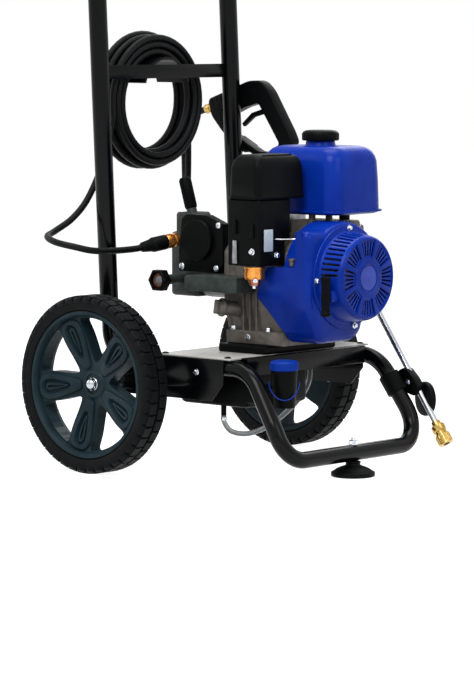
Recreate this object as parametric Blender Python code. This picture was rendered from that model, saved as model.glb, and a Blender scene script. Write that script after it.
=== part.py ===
"""Petrol pressure washer: an engine and pump on a two-wheeled trolley, with its gun, lance and hose.

Metres, +Z up. The front, with the foot and the recoil starter, faces -Y, and the wheels turn about X.
The origin lies on the ground under the middle of the machine. Places are given as (x, ahead, z): across,
ahead of the wheel axle and above the ground, and place() turns them into world coordinates.
"""

import math

import bmesh
import bpy
from mathutils import Matrix, Vector

# ---------------------------------------------------------------- driving dimensions
GAP = 0.0003  # clearance wherever two separate pieces meet

# Wheels and axle
TYRE_R = 0.1525
TYRE_WIDTH = 0.0515
TYRE_SIDES = 28
TRACK = 0.514  # between the two wheels' middles
RIM_SEAT_R = 0.1212
RIM_LIP = 0.0046  # how far the rim's lips stand above the tyre's seat
RIM_WIDTH = 0.047
RIM_LIP_WIDTH = 0.003
RIM_WALL = 0.0115
WEB_HALF = 0.012  # half the thickness of the spokes
SPOKES = 5
SPOKE_TURN = math.radians(42)
SPOKE_HALF_WIDTH = 0.0262
SPOKE_WAIST_R = 0.034  # where two neighbouring spokes run together
GROOVE_WIDTH = 0.009
GROOVE_DEPTH = 0.008
HUB_R = 0.026
HUB_INNER = 0.028  # from the wheel's middle to the hub's inner and outer ends
HUB_OUTER = 0.014
AXLE_R = 0.0075
AXLE_STICK_OUT = 0.009  # past the hub, inside the cap nut
SPACER_R = 0.011
CAP_NUT_R = 0.0115
CAP_NUT_LENGTH = 0.013

# Lower frame, one bent tube
FRAME_TUBE_R = 0.014
FRAME_HALF_WIDTH = 0.170
RAIL_Z = 0.188
RAIL_FRONT = 0.275  # ahead of the axle, where the rails turn down
FOOT_REACH = 0.361
BAR_Z = 0.040
REAR_BEND_R = 0.052
FRONT_BEND_R = 0.060
BAR_BEND_R = 0.050

# Handle
HANDLE_TUBE_R = 0.016
HANDLE_BOTTOM_Z = 0.252
HANDLE_TOP_Z = 1.000
HANDLE_BACK = 0.043  # how far behind the axle its posts begin
HANDLE_LEAN = math.radians(2.8)
HANDLE_BEND_R = 0.060
SOCKET_DEPTH = 0.078
GRIP_LENGTH = 0.210
GRIP_WALL = 0.0042

# Deck, side panels, crossmember
DECK_THICKNESS = 0.003
DECK_OVERHANG = 0.014
DECK_BACK = 0.080
DECK_FRONT = 0.245
PANEL_THICKNESS = 0.0025
PANEL_BOTTOM_Z = 0.132
PANEL_BACK = -0.050
PANEL_FRONT = 0.246
CROSSMEMBER_DEPTH = 0.040
CROSSMEMBER_BOTTOM_Z = 0.160
CROSSMEMBER_WALL = 0.003

# Rubber foot and its bolt
FOOT_R = 0.0375
FOOT_RIM_HEIGHT = 0.008
FOOT_NECK_R = 0.0125
FOOT_BOLT_R = 0.004
FOOT_NUT_R = 0.0075
FOOT_NUT_HEIGHT = 0.0065

# Detergent tank
TANK_LEFT_X = 0.020
TANK_SIDE_CLEARANCE = 0.030  # inside the frame rail's middle
TANK_BACK = 0.092
TANK_BOTTOM_Z = 0.118
TANK_WALL = 0.003
FILLER_INSET = 0.016  # from the tank's right side
FILLER_CLEARANCE = 0.002
FILLER_TOP_Z = 0.186
FILLER_R = 0.0225
FILLER_FOOT_R = 0.0185
DETERGENT_CAP_R = 0.0262
DETERGENT_CAP_HEIGHT = 0.0175
NIPPLE_X = -0.128
NIPPLE_AHEAD = 0.182
NIPPLE_R = 0.0048
NIPPLE_LENGTH = 0.017

# Engine
CRANK_Z = 0.338
CRANK_R = 0.0125
CRANK_THROW = 0.022
BASE_BOTTOM_Z = 0.220
BASE_THICKNESS = 0.023
BASE_HALF_WIDTH = 0.080
BASE_BACK = 0.145
BASE_FRONT = 0.272
CASE_BACK = 0.150
CASE_FRONT = 0.285
CASE_HALF_WIDTH = 0.076
CASE_TOP_Z = 0.400
CASE_BORE_R = 0.060
CASE_FRONT_WALL = 0.015
COVER_THICKNESS = 0.0122
MOUNT_HALF_WIDTH = 0.095
MOUNT_BACK = 0.140
BLOWER_DEPTH = 0.060
BLOWER_R = 0.093
BLOWER_WALL = 0.0025
BLOWER_SIDE_X = -0.100
BLOWER_TOP_Z = 0.4185
BLOWER_FLOOR_Z = 0.2275
BLOWER_STEP_AHEAD = 0.3170  # above the step its near wall begins this far ahead
BLOWER_STEP_Z = 0.3570
BLOWER_INTAKE_R = 0.070
RECOIL_DEPTH = 0.0480
RECOIL_FLANGE_R = 0.0885
RECOIL_BASE_R = 0.0765
RECOIL_FACE_R = 0.0660
RECOIL_WALL = 0.0026
SLOT_GROUPS = 8
SLOTS_PER_GROUP = 4
SLOT_WIDTH = 0.0028
SLOT_PITCH = 0.0060
SLOT_INNER_R = 0.0385
SLOT_OUTER_R = 0.0625
SIDE_SLOTS = 9
FLYWHEEL_R = 0.078
FLYWHEEL_THICKNESS = 0.016
FINS_ON_FLYWHEEL = 10
STARTER_HANDLE_LENGTH = 0.067
STARTER_HANDLE_R = 0.0072
ROPE_HOLE_R = 0.003

# Fuel tank
FUEL_TANK_Z = 0.440
FUEL_TANK_HEIGHT = 0.116
FUEL_TANK_X = 0.054
FUEL_TANK_AHEAD = 0.2430
FUEL_TANK_WIDTH = 0.146
FUEL_TANK_LENGTH = 0.184
FUEL_TANK_LIP = 0.004
FUEL_TANK_WALL = 0.0025
FUEL_NECK_R = 0.025
FUEL_NECK_BORE_R = 0.0195
FUEL_CAP_R = 0.032
FUEL_CAP_HEIGHT = 0.018

# Cylinder, head and exhaust
CYLINDER_AHEAD = 0.205
CYLINDER_Z = 0.370
CYLINDER_BORE_R = 0.030
CYLINDER_R = 0.039
CYLINDER_LENGTH = 0.054
COOLING_FINS = 6
COOLING_FIN_THICKNESS = 0.003
HEAD_THICKNESS = 0.022
HEAD_HALF_LENGTH = 0.048
HEAD_HALF_HEIGHT = 0.054
VALVE_COVER_DEPTH = 0.022
SPARK_PLUG_HEIGHT = 0.046
MUFFLER_BACK = 0.032
MUFFLER_FRONT = 0.136
MUFFLER_X = 0.108
MUFFLER_HALF_WIDTH = 0.044
MUFFLER_BOTTOM_Z = 0.384
MUFFLER_HEIGHT = 0.088
EXHAUST_R = 0.011

# Carburettor and air cleaner
CARB_X = -0.123
CARB_AHEAD = 0.2465
CARB_HALF_WIDTH = 0.0185
CARB_HALF_LENGTH = 0.019
CARB_BOTTOM_Z = 0.3570
CARB_HEIGHT = 0.040
CARB_STUB_R = 0.011
BOWL_R = 0.0188
BOWL_HEIGHT = 0.022
BOWL_BOLT_R = 0.0058
BOX_NEAR_X = -0.145
BOX_FAR_X = -0.062
AIR_COVER_FAR_X = -0.023
BOX_BACK = 0.205
BOX_FRONT = 0.275
BOX_SKIRT_Z = 0.3585
BOX_SPLIT_Z = 0.470
BOX_TOP_Z = 0.545
BOX_WALL = 0.0025
LEVER_THICKNESS = 0.003
SWITCH_R = 0.0085

# Oil filler
OIL_FOOT = (-0.064, 0.1675, 0.2765)
OIL_SLOPE = (-1.0, -0.35, 0.15)
OIL_BOSS_R = 0.0130
OIL_BOSS_LENGTH = 0.037
OIL_CAP_R = 0.0160
OIL_CAP_LENGTH = 0.017
OIL_PLUG_R = 0.008
OIL_PLUG_LENGTH = 0.012

# Pump
PUMP_R = 0.050
PUMP_FLANGE_THICKNESS = 0.010
PUMP_FLANGE_HALF = 0.062
PUMP_BODY_BACK = 0.045
PUMP_HEAD_LENGTH = 0.066
PUMP_HEAD_HALF_WIDTH = 0.038
PUMP_HEAD_BOTTOM_Z = 0.290
PUMP_HEAD_TOP_Z = 0.402
LEDGE_NEAR_X = -0.130
LEDGE_BACK = 0.094
LEDGE_FRONT = 0.212
LEDGE_BOTTOM_Z = 0.310
LEDGE_TOP_Z = 0.336
COVER_NEAR_X = -0.080
COVER_WALL = 0.0025
COVER_BOSS_R = 0.035
COVER_BOSS_AHEAD = 0.083
COVER_BOSS_Z = 0.3930
COVER_BOSS_HEIGHT = 0.010
KNOB_R = 0.0110
KNOB_LENGTH = 0.056
KNOB_LEAN = math.radians(17)
KNOB_X = -0.020
KNOB_AHEAD = 0.012
KNOB_BLOCK_TOP_Z = 0.436
INLET_AHEAD = 0.0115
INLET_Z = 0.3212
INLET_R = 0.0088
INLET_COLLAR_R = 0.0130
INLET_LENGTH = 0.0668
INLET_NUT_R = 0.0205
INLET_NUT_LENGTH = 0.020
OUTLET_START = (-0.038, -0.003, 0.389)
OUTLET_SLOPE = (-1.0, -0.11, -0.13)
OUTLET_BOSS = 0.002
OUTLET_R = 0.0125
OUTLET_LENGTH = 0.028

# High pressure hose
HOSE_R = 0.00575
BOOT_R = 0.0130
BOOT_LENGTH = 0.056
COIL_LAYERS = 4
TURNS_PER_LAYER = 2.5
COIL_PITCH = 0.0125  # between neighbouring turns, across and along the coil
COIL_INNER_R = 0.0850  # of the innermost turn's centre line
COIL_STEPS = 24  # points in one turn
HOSE_BEND = 8 * HOSE_R  # the least radius the hose is laid in
LOOP_X = -0.2380  # the loop beside the pump, its middle
LOOP_BACK = 0.0620
LOOP_Z = 0.3780
LOOP_RISE = 0.0300
GUN_LOOP_DROP = 0.1000  # from the coil to where the hose turns up to the gun
COIL_BACK = 0.086  # behind the axle, the middle of its first layer

# Hose hook on the handle
HOOK_Z = 0.680
HOOK_BAR_HEIGHT = 0.024
HOOK_BAR_THICKNESS = 0.004
HOOK_DRUM_R = 0.060
HOOK_DRUM_WALL = 0.004
HOOK_DRUM_LENGTH = 0.072
HOOK_LIP = 0.016

# Lance and gun, laid along one slanting line on the left side
LANCE_OFFSET = 0.030  # outside the frame rail's middle
LANCE_FOOT_AHEAD = 0.400
LANCE_FOOT_Z = 0.050
LANCE_SLOPE = 0.69  # how far back it runs for each unit up
LANCE_R = 0.0055
LANCE_LENGTH = 0.568
COUPLER_R = 0.0135
COUPLER_LENGTH = 0.044
COUPLER_BORE_R = 0.006
COUPLER_SEAT = 0.012  # from the lance line's foot to the coupler's open end
GUN_HALF_WIDTH = 0.0115
GUARD_BOTTOM = ((0.024, 0.074), (0.108, 0.118))  # the ends of the guard's underside, in its plane
GUN_INLET_R = 0.009
GUN_INLET_LENGTH = 0.016
TRIGGER_HALF_WIDTH = 0.004
TRIGGER_PIVOT = (0.090, 0.011)  # along the lance from the gun's nose, and towards its grip
TRIGGER_EYE_R = 0.005
LOCK_HALF_WIDTH = 0.003
LOCK_BACK = ((0.1253, 0.0860), (0.1281, 0.0998))  # the lock's ends, along the guard window's rear edge
CLIP_UP = 0.105  # along the lance from its foot to the lower clip
CLIP_LENGTH = 0.030

# ---------------------------------------------------------------- worked out from them
LANCE_X = FRAME_HALF_WIDTH + LANCE_OFFSET
LANCE_UP = Vector((0.0, LANCE_SLOPE, 1.0)).normalized()
LANCE_OFF = Vector((0.0, LANCE_UP.z, -LANCE_UP.y))
FRONT_REACH = LANCE_FOOT_AHEAD + COUPLER_SEAT * LANCE_UP.y + COUPLER_R * LANCE_UP.z
AXLE_Y = (FRONT_REACH - TYRE_R) / 2  # the machine reaches from the coupler to the back of the tyres

DECK_BOTTOM_Z = RAIL_Z + FRAME_TUBE_R + GAP
DECK_TOP_Z = DECK_BOTTOM_Z + DECK_THICKNESS
PANEL_INNER_X = FRAME_HALF_WIDTH + FRAME_TUBE_R + GAP
PANEL_OUTER_X = PANEL_INNER_X + PANEL_THICKNESS
BASE_TOP_Z = BASE_BOTTOM_Z + BASE_THICKNESS
COVER_BACK = CASE_BACK - GAP - COVER_THICKNESS
PUMP_FRONT = COVER_BACK - GAP
PUMP_FLANGE_BACK = PUMP_FRONT - PUMP_FLANGE_THICKNESS
HEAD_FRONT = PUMP_BODY_BACK - GAP
HEAD_BACK = HEAD_FRONT - PUMP_HEAD_LENGTH
BLOWER_BACK = CASE_FRONT + GAP
BLOWER_FRONT = BLOWER_BACK + BLOWER_DEPTH
RECOIL_BACK = BLOWER_FRONT + GAP
RECOIL_FRONT = RECOIL_BACK + RECOIL_DEPTH
HEAD_X = CASE_HALF_WIDTH + GAP
CYLINDER_END_X = HEAD_X + CYLINDER_LENGTH
HEAD_END_X = CYLINDER_END_X + HEAD_THICKNESS
BOX_SPLIT_TOP_Z = BOX_SPLIT_Z + GAP
TANK_RIGHT_X = TANK_SIDE_CLEARANCE - FRAME_HALF_WIDTH
FILLER_X = TANK_RIGHT_X + FILLER_INSET
FILLER_AHEAD = DECK_FRONT + CROSSMEMBER_DEPTH + DETERGENT_CAP_R + FILLER_CLEARANCE
RAIL_INNER_X = FRAME_HALF_WIDTH - FRAME_TUBE_R
COIL_OUTER_R = COIL_INNER_R + TURNS_PER_LAYER * COIL_PITCH
HOOK_DRUM_Z = HOOK_Z - 0.035
COIL_Z = HOOK_DRUM_Z + HOOK_DRUM_R + GAP - (COIL_INNER_R - HOSE_R)


# ---------------------------------------------------------------- modelling helpers
def place(x, ahead, z):
    """A world point from its distance across, ahead of the axle and above the ground."""
    return Vector((x, AXLE_Y - ahead, z))


def direction_of(slope):
    """The unit vector of an (across, ahead, up) slope."""
    across, ahead, up = slope
    return Vector((across, -ahead, up)).normalized()


def bore_radius(radius, sides):
    """The radius of a hole of so many sides that clears a round piece of this radius."""
    return (radius + GAP) / math.cos(math.pi / sides)


def add_object(name, mesh):
    obj = bpy.data.objects.new(name, mesh)
    bpy.context.scene.collection.objects.link(obj)
    return obj


def from_bmesh(name, bm):
    """An object of this bmesh, with its faces turned outwards."""
    bmesh.ops.recalc_face_normals(bm, faces=bm.faces)
    mesh = bpy.data.meshes.new(name)
    bm.to_mesh(mesh)
    bm.free()
    return add_object(name, mesh)


def block(name, across, ahead, up, bevel=0.0, segments=1):
    """A box between pairs of values, its edges rounded by bevel."""
    bm = bmesh.new()
    bmesh.ops.create_cube(bm, size=1.0)
    low = place(min(across), max(ahead), min(up))
    high = place(max(across), min(ahead), max(up))
    for vertex in bm.verts:
        vertex.co = Vector(high[i] if vertex.co[i] > 0 else low[i] for i in range(3))
    if bevel:
        bmesh.ops.bevel(
            bm, geom=bm.edges[:], offset=bevel, segments=segments, affect="EDGES", profile=0.5
        )
    return from_bmesh(name, bm)


def turned(name, profile, start, axis, sides=24, loop=False, turn=0.0):
    """A profile of (along, radius) points turned about the axis through start.

    A loop is a closed ring off the axis. Otherwise the profile's two ends are closed on the axis.
    """
    axis = Vector(axis).normalized()
    side = axis.cross(Vector((0.0, 0.0, 1.0)))
    if side.length < 0.5:
        side = Vector((1.0, 0.0, 0.0))
    side.normalize()
    other = axis.cross(side)
    bm = bmesh.new()
    rings = []
    for along, radius in profile:
        middle = Vector(start) + axis * along
        if radius < 1e-9:
            rings.append([bm.verts.new(middle)])
            continue
        ring = []
        for step in range(sides):
            angle = turn + 2 * math.pi * step / sides
            ring.append(bm.verts.new(middle + (side * math.cos(angle) + other * math.sin(angle)) * radius))
        rings.append(ring)
    pairs = list(zip(rings, rings[1:]))
    if loop:
        pairs.append((rings[-1], rings[0]))
    for first, second in pairs:
        for step in range(sides):
            after = (step + 1) % sides
            if len(first) == 1 and len(second) == 1:
                continue
            if len(first) == 1:
                bm.faces.new((first[0], second[after], second[step]))
            elif len(second) == 1:
                bm.faces.new((first[step], first[after], second[0]))
            else:
                bm.faces.new((first[step], first[after], second[after], second[step]))
    if not loop:
        for ring in (rings[0], rings[-1]):
            if len(ring) > 1:
                bm.faces.new(ring)
    return from_bmesh(name, bm)


def rod(name, start, end, radius, sides=18, end_radius=None, turn=0.0):
    """A straight round bar between two points."""
    start, end = Vector(start), Vector(end)
    span = end - start
    last = radius if end_radius is None else end_radius
    return turned(name, [(0.0, radius), (span.length, last)], start, span, sides, turn=turn)


def extrusion(name, outline, axis, low, high):
    """An outline extruded along x, ahead or z. Its points leave that axis out of (x, ahead, z)."""
    def point(first, second, third):
        if axis == "x":
            return place(third, first, second)
        if axis == "ahead":
            return place(first, third, second)
        return place(first, second, third)

    return loft(name, [[point(u, v, end) for u, v in outline] for end in (low, high)])


def loft(name, sections):
    """A closed skin over sections, each a list of as many world points as the others."""
    bm = bmesh.new()
    rings = [[bm.verts.new(point) for point in section] for section in sections]
    for first, second in zip(rings, rings[1:]):
        for step in range(len(first)):
            after = (step + 1) % len(first)
            bm.faces.new((first[step], first[after], second[after], second[step]))
    bm.faces.new(rings[0])
    bm.faces.new(rings[-1])
    return from_bmesh(name, bm)


def rounded_rectangle(middle_u, middle_v, width, height, radius, steps=3):
    """The outline of a rectangle with round corners, as (u, v) points."""
    points = []
    for corner in range(4):
        begin = corner * math.pi / 2
        sign_u = (1, -1, -1, 1)[corner]
        sign_v = (1, 1, -1, -1)[corner]
        for step in range(steps + 1):
            angle = begin + math.pi / 2 * step / steps
            points.append(
                (
                    middle_u + sign_u * (width / 2 - radius) + radius * math.cos(angle),
                    middle_v + sign_v * (height / 2 - radius) + radius * math.sin(angle),
                )
            )
    return points


def bend(corners, radii, steps=4):
    """A path through the corners, each one but the ends replaced by an arc of its radius."""
    path = [Vector(corners[0])]
    for before, corner, after, radius in zip(corners, corners[1:], corners[2:], radii):
        before, corner, after = Vector(before), Vector(corner), Vector(after)
        into = (corner - before).normalized()
        out = (after - corner).normalized()
        half = into.angle(out) / 2
        reach = radius * math.tan(half)
        begin = corner - into * reach
        centre = corner + (out - into).normalized() * (radius / math.cos(half))
        spoke = begin - centre
        normal = into.cross(out).normalized()
        for step in range(steps + 1):
            path.append(centre + Matrix.Rotation(2 * half * step / steps, 3, normal) @ spoke)
    path.append(Vector(corners[-1]))
    return path


def smooth_path(points, spacing):
    """Points about this far apart along a smooth curve through the given ones."""
    points = [Vector(point) for point in points]
    ends = [points[0] * 2 - points[1], *points, points[-1] * 2 - points[-2]]
    path = [points[0]]
    for p0, p1, p2, p3 in zip(ends, ends[1:], ends[2:], ends[3:]):
        steps = max(1, round((p2 - p1).length / spacing))
        for step in range(1, steps + 1):
            t = step / steps
            path.append(
                0.5
                * (
                    2 * p1
                    + (p2 - p0) * t
                    + (2 * p0 - 5 * p1 + 4 * p2 - p3) * t**2
                    + (3 * p1 - p0 - 3 * p2 + p3) * t**3
                )
            )
    return path


def tube(name, path, radius, resolution=2):
    """A curve with a round section along the path, its ends closed."""
    curve = bpy.data.curves.new(name, "CURVE")
    curve.dimensions = "3D"
    curve.bevel_depth = radius
    curve.bevel_resolution = resolution
    curve.use_fill_caps = True
    spline = curve.splines.new("POLY")
    spline.points.add(len(path) - 1)
    for point, position in zip(spline.points, path):
        point.co = (*position, 1.0)
    return add_object(name, curve)


def as_mesh(obj):
    """The same shape as a plain mesh object."""
    graph = bpy.context.evaluated_depsgraph_get()
    mesh = bpy.data.meshes.new_from_object(obj.evaluated_get(graph))
    name = obj.name
    bpy.data.objects.remove(obj)
    bm = bmesh.new()
    bm.from_mesh(mesh)
    bmesh.ops.remove_doubles(bm, verts=bm.verts, dist=1e-6)
    return from_bmesh(name, bm)


def joined(base, operation, others):
    """The base with the others united with it or cut from it."""
    for other in others:
        modifier = base.modifiers.new(other.name, "BOOLEAN")
        modifier.operation = operation
        modifier.solver = "EXACT"
        modifier.object = other
    bpy.context.view_layer.update()
    graph = bpy.context.evaluated_depsgraph_get()
    mesh = bpy.data.meshes.new_from_object(base.evaluated_get(graph))
    base.modifiers.clear()
    base.data = mesh
    for other in others:
        bpy.data.objects.remove(other)
    return base


def unite(base, *others):
    return joined(base, "UNION", others)


def cut(base, *others):
    return joined(base, "DIFFERENCE", others)


MATERIALS = {}


def finish(colour, roughness, metallic=0.0):
    """A material of this colour, made once."""
    key = (colour, roughness, metallic)
    if key not in MATERIALS:
        material = bpy.data.materials.new(f"finish_{len(MATERIALS)}")
        material.use_nodes = True
        shader = material.node_tree.nodes["Principled BSDF"]
        shader.inputs["Base Color"].default_value = (*colour, 1.0)
        shader.inputs["Roughness"].default_value = roughness
        shader.inputs["Metallic"].default_value = metallic
        MATERIALS[key] = material
    return MATERIALS[key]


BLUE = ((0.010, 0.050, 0.420), 0.35, 0.0)
CAP_BLUE = ((0.006, 0.060, 0.640), 0.40, 0.0)
BLACK_GLOSS = ((0.010, 0.010, 0.012), 0.25, 0.0)
BLACK_PLASTIC = ((0.014, 0.014, 0.015), 0.55, 0.0)
RUBBER = ((0.012, 0.012, 0.012), 0.85, 0.0)
RIM_GREY = ((0.030, 0.045, 0.050), 0.55, 0.0)
DECK_GREY = ((0.560, 0.550, 0.520), 0.45, 0.0)
CAST_GREY = ((0.170, 0.160, 0.140), 0.55, 0.6)
STEEL = ((0.620, 0.620, 0.630), 0.30, 1.0)
CHROME = ((0.800, 0.800, 0.810), 0.12, 1.0)
ORANGE_BRASS = ((0.750, 0.300, 0.040), 0.30, 0.8)
BRASS = ((0.620, 0.380, 0.100), 0.28, 1.0)
CLEAR = ((0.600, 0.620, 0.600), 0.15, 0.0)


def piece(name, obj, look, pivot=None, sharp=35):
    """The finished sub-part: named, shaded, coloured and, if it moves, with its origin on its pivot."""
    obj.name = name
    obj.data.name = name
    obj.data.materials.clear()
    obj.data.materials.append(finish(*look))
    if obj.type == "MESH":
        obj.data.shade_smooth()
        obj.data.set_sharp_from_angle(angle=math.radians(sharp))
    if pivot is not None:
        obj.data.transform(Matrix.Translation(-Vector(pivot)))
        obj.location = pivot
    return obj


# ---------------------------------------------------------------- trolley
def build_wheel(side, word):
    """The wheel on this side (-1 right, 1 left): rim with five spokes, tyre and cap nut."""
    hub = place(side * TRACK / 2, 0.0, TYRE_R)
    outward = (side, 0.0, 0.0)
    half = RIM_WIDTH / 2
    lip_r = RIM_SEAT_R + RIM_LIP
    seat_half = half - RIM_LIP_WIDTH
    inner_r = RIM_SEAT_R - RIM_WALL
    barrel = [
        (-half, lip_r),
        (-seat_half, lip_r),
        (-seat_half + 0.0005, RIM_SEAT_R),
        (seat_half - 0.0005, RIM_SEAT_R),
        (seat_half, lip_r),
        (half, lip_r),
        (half, inner_r + 0.002),
        (WEB_HALF, inner_r),
        (-half, inner_r),
    ]
    rim = turned("rim", barrel, hub, outward, TYRE_SIDES, loop=True)
    spoke_end = inner_r + 0.004
    outline = []
    for spoke in range(SPOKES):
        angle = SPOKE_TURN + 2 * math.pi * spoke / SPOKES
        before = angle - math.pi / SPOKES
        outline.append((SPOKE_WAIST_R * math.cos(before), TYRE_R + SPOKE_WAIST_R * math.sin(before)))
        for along, across in (
            (0.046, -0.80),
            (0.084, -1.00),
            (spoke_end, -0.92),
            (spoke_end, 0.92),
            (0.084, 1.00),
            (0.046, 0.80),
        ):
            offset = across * SPOKE_HALF_WIDTH
            outline.append(
                (
                    along * math.cos(angle) - offset * math.sin(angle),
                    TYRE_R + along * math.sin(angle) + offset * math.cos(angle),
                )
            )
    middle_x = side * TRACK / 2
    web = extrusion("web", outline, "x", middle_x - WEB_HALF, middle_x + WEB_HALF)
    boss = rod("boss", hub - Vector(outward) * HUB_INNER, hub + Vector(outward) * HUB_OUTER, HUB_R)
    rim = unite(rim, web, boss)
    cutters = [
        rod(
            "bore",
            hub - Vector(outward) * 0.05,
            hub + Vector(outward) * 0.05,
            bore_radius(AXLE_R, 16),
            16,
        )
    ]
    for spoke in range(SPOKES):
        angle = SPOKE_TURN + 2 * math.pi * spoke / SPOKES
        slot = rounded_rectangle(0.078, 0.0, 0.044, GROOVE_WIDTH, GROOVE_WIDTH / 2 - 1e-4, 1)
        turned_slot = [
            (
                u * math.cos(angle) - v * math.sin(angle),
                TYRE_R + u * math.sin(angle) + v * math.cos(angle),
            )
            for u, v in slot
        ]
        face_x = middle_x + side * WEB_HALF
        cutters.append(
            extrusion("groove", turned_slot, "x", face_x - side * GROOVE_DEPTH, face_x + side * 0.004)
        )
    piece(f"wheel_rim_{word}", cut(rim, *cutters), RIM_GREY, hub)

    bead = seat_half - GAP
    width = TYRE_WIDTH / 2
    section = [
        (-bead, RIM_SEAT_R + GAP),
        (bead - 0.0005, RIM_SEAT_R + GAP),
        (bead, lip_r + GAP),
        (width, lip_r + 0.0065),
        (width, TYRE_R - 0.0095),
        (width - 0.0033, TYRE_R - 0.0026),
        (width - 0.0095, TYRE_R),
    ]
    ring = section[1:] + [(-along, radius) for along, radius in reversed(section[1:])]
    tyre = turned("tyre", ring, hub, outward, TYRE_SIDES, loop=True)
    piece(f"tyre_{word}", tyre, RUBBER, hub)

    seat = HUB_OUTER + GAP
    bore = bore_radius(AXLE_R, 16)
    nut = [
        (HUB_OUTER + AXLE_STICK_OUT + GAP, 0.0),
        (HUB_OUTER + AXLE_STICK_OUT + GAP, bore),
        (seat, bore),
        (seat, CAP_NUT_R),
        (seat + CAP_NUT_LENGTH * 0.45, CAP_NUT_R),
        (seat + CAP_NUT_LENGTH * 0.85, CAP_NUT_R * 0.62),
        (seat + CAP_NUT_LENGTH, 0.0),
    ]
    piece(f"axle_nut_{word}", turned("nut", nut, hub, outward, 16), CHROME)


def build_axle():
    """The axle with a spacer each side, between the side panel and the hub."""
    end = TRACK / 2 + HUB_OUTER + AXLE_STICK_OUT
    hub_x = TRACK / 2 - HUB_INNER - GAP
    panel_x = PANEL_OUTER_X + GAP
    profile = [
        (-end, AXLE_R),
        (-hub_x, AXLE_R),
        (-hub_x, SPACER_R),
        (-panel_x, SPACER_R),
        (-panel_x, AXLE_R),
        (panel_x, AXLE_R),
        (panel_x, SPACER_R),
        (hub_x, SPACER_R),
        (hub_x, AXLE_R),
        (end, AXLE_R),
    ]
    axle = turned("axle", profile, place(0.0, 0.0, TYRE_R), (1.0, 0.0, 0.0), 12)
    piece("axle", axle, STEEL)


def post_back(z):
    """How far behind the axle the handle's posts lie at this height."""
    return HANDLE_BACK + (z - HANDLE_BOTTOM_Z) * math.tan(HANDLE_LEAN)


def build_frame():
    """The lower frame: one tube, up inside each handle post, along the rails and round the foot bar."""
    top_z = HANDLE_BOTTOM_Z + SOCKET_DEPTH - GAP
    side = [
        (-FRAME_HALF_WIDTH, -post_back(top_z), top_z),
        (-FRAME_HALF_WIDTH, -post_back(RAIL_Z), RAIL_Z),
        (-FRAME_HALF_WIDTH, RAIL_FRONT, RAIL_Z),
        (-FRAME_HALF_WIDTH, FOOT_REACH, BAR_Z),
    ]
    corners = [place(*point) for point in side]
    corners += [place(-x, ahead, z) for x, ahead, z in reversed(side)]
    radii = [REAR_BEND_R, FRONT_BEND_R, BAR_BEND_R, BAR_BEND_R, FRONT_BEND_R, REAR_BEND_R]
    frame = as_mesh(tube("frame", bend(corners, radii), FRAME_TUBE_R, 2))
    hole = rod(
        "hole",
        place(0.0, FOOT_REACH, BAR_Z - 2 * FRAME_TUBE_R),
        place(0.0, FOOT_REACH, BAR_Z + 2 * FRAME_TUBE_R),
        bore_radius(FOOT_BOLT_R, 12),
        12,
    )
    piece("frame_tube", cut(frame, hole), BLACK_GLOSS)


def build_handle():
    """The handle: a U of tube whose posts sleeve over the frame, with a soft grip on its crossbar."""
    bar_z = HANDLE_TOP_Z - HANDLE_TUBE_R
    corners = [
        place(-FRAME_HALF_WIDTH, -post_back(HANDLE_BOTTOM_Z), HANDLE_BOTTOM_Z),
        place(-FRAME_HALF_WIDTH, -post_back(bar_z), bar_z),
        place(FRAME_HALF_WIDTH, -post_back(bar_z), bar_z),
        place(FRAME_HALF_WIDTH, -post_back(HANDLE_BOTTOM_Z), HANDLE_BOTTOM_Z),
    ]
    handle = as_mesh(tube("handle", bend(corners, [HANDLE_BEND_R] * 2), HANDLE_TUBE_R, 2))
    sockets = []
    lean = math.tan(HANDLE_LEAN)
    for side in (-1, 1):
        middle = place(side * FRAME_HALF_WIDTH, -post_back(HANDLE_BOTTOM_Z), HANDLE_BOTTOM_Z)
        upward = Vector((0.0, lean, 1.0))
        sockets.append(
            rod(
                "socket",
                middle - upward * 0.02,
                middle + upward * SOCKET_DEPTH,
                bore_radius(FRAME_TUBE_R, 12),
                12,
            )
        )
    piece("handle_tube", cut(handle, *sockets), BLACK_GLOSS)

    bore = bore_radius(HANDLE_TUBE_R, 18)
    outer = HANDLE_TUBE_R + GRIP_WALL
    half = GRIP_LENGTH / 2
    sleeve = [(-half, bore), (-half, outer - 0.001), (-half + 0.001, outer)]
    sleeve += [(half - 0.001, outer), (half, outer - 0.001), (half, bore)]
    start = place(0.0, -post_back(bar_z), bar_z)
    grip = turned("grip", sleeve, start, (1.0, 0.0, 0.0), 18, loop=True)
    piece("handle_grip", grip, RUBBER)


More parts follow.
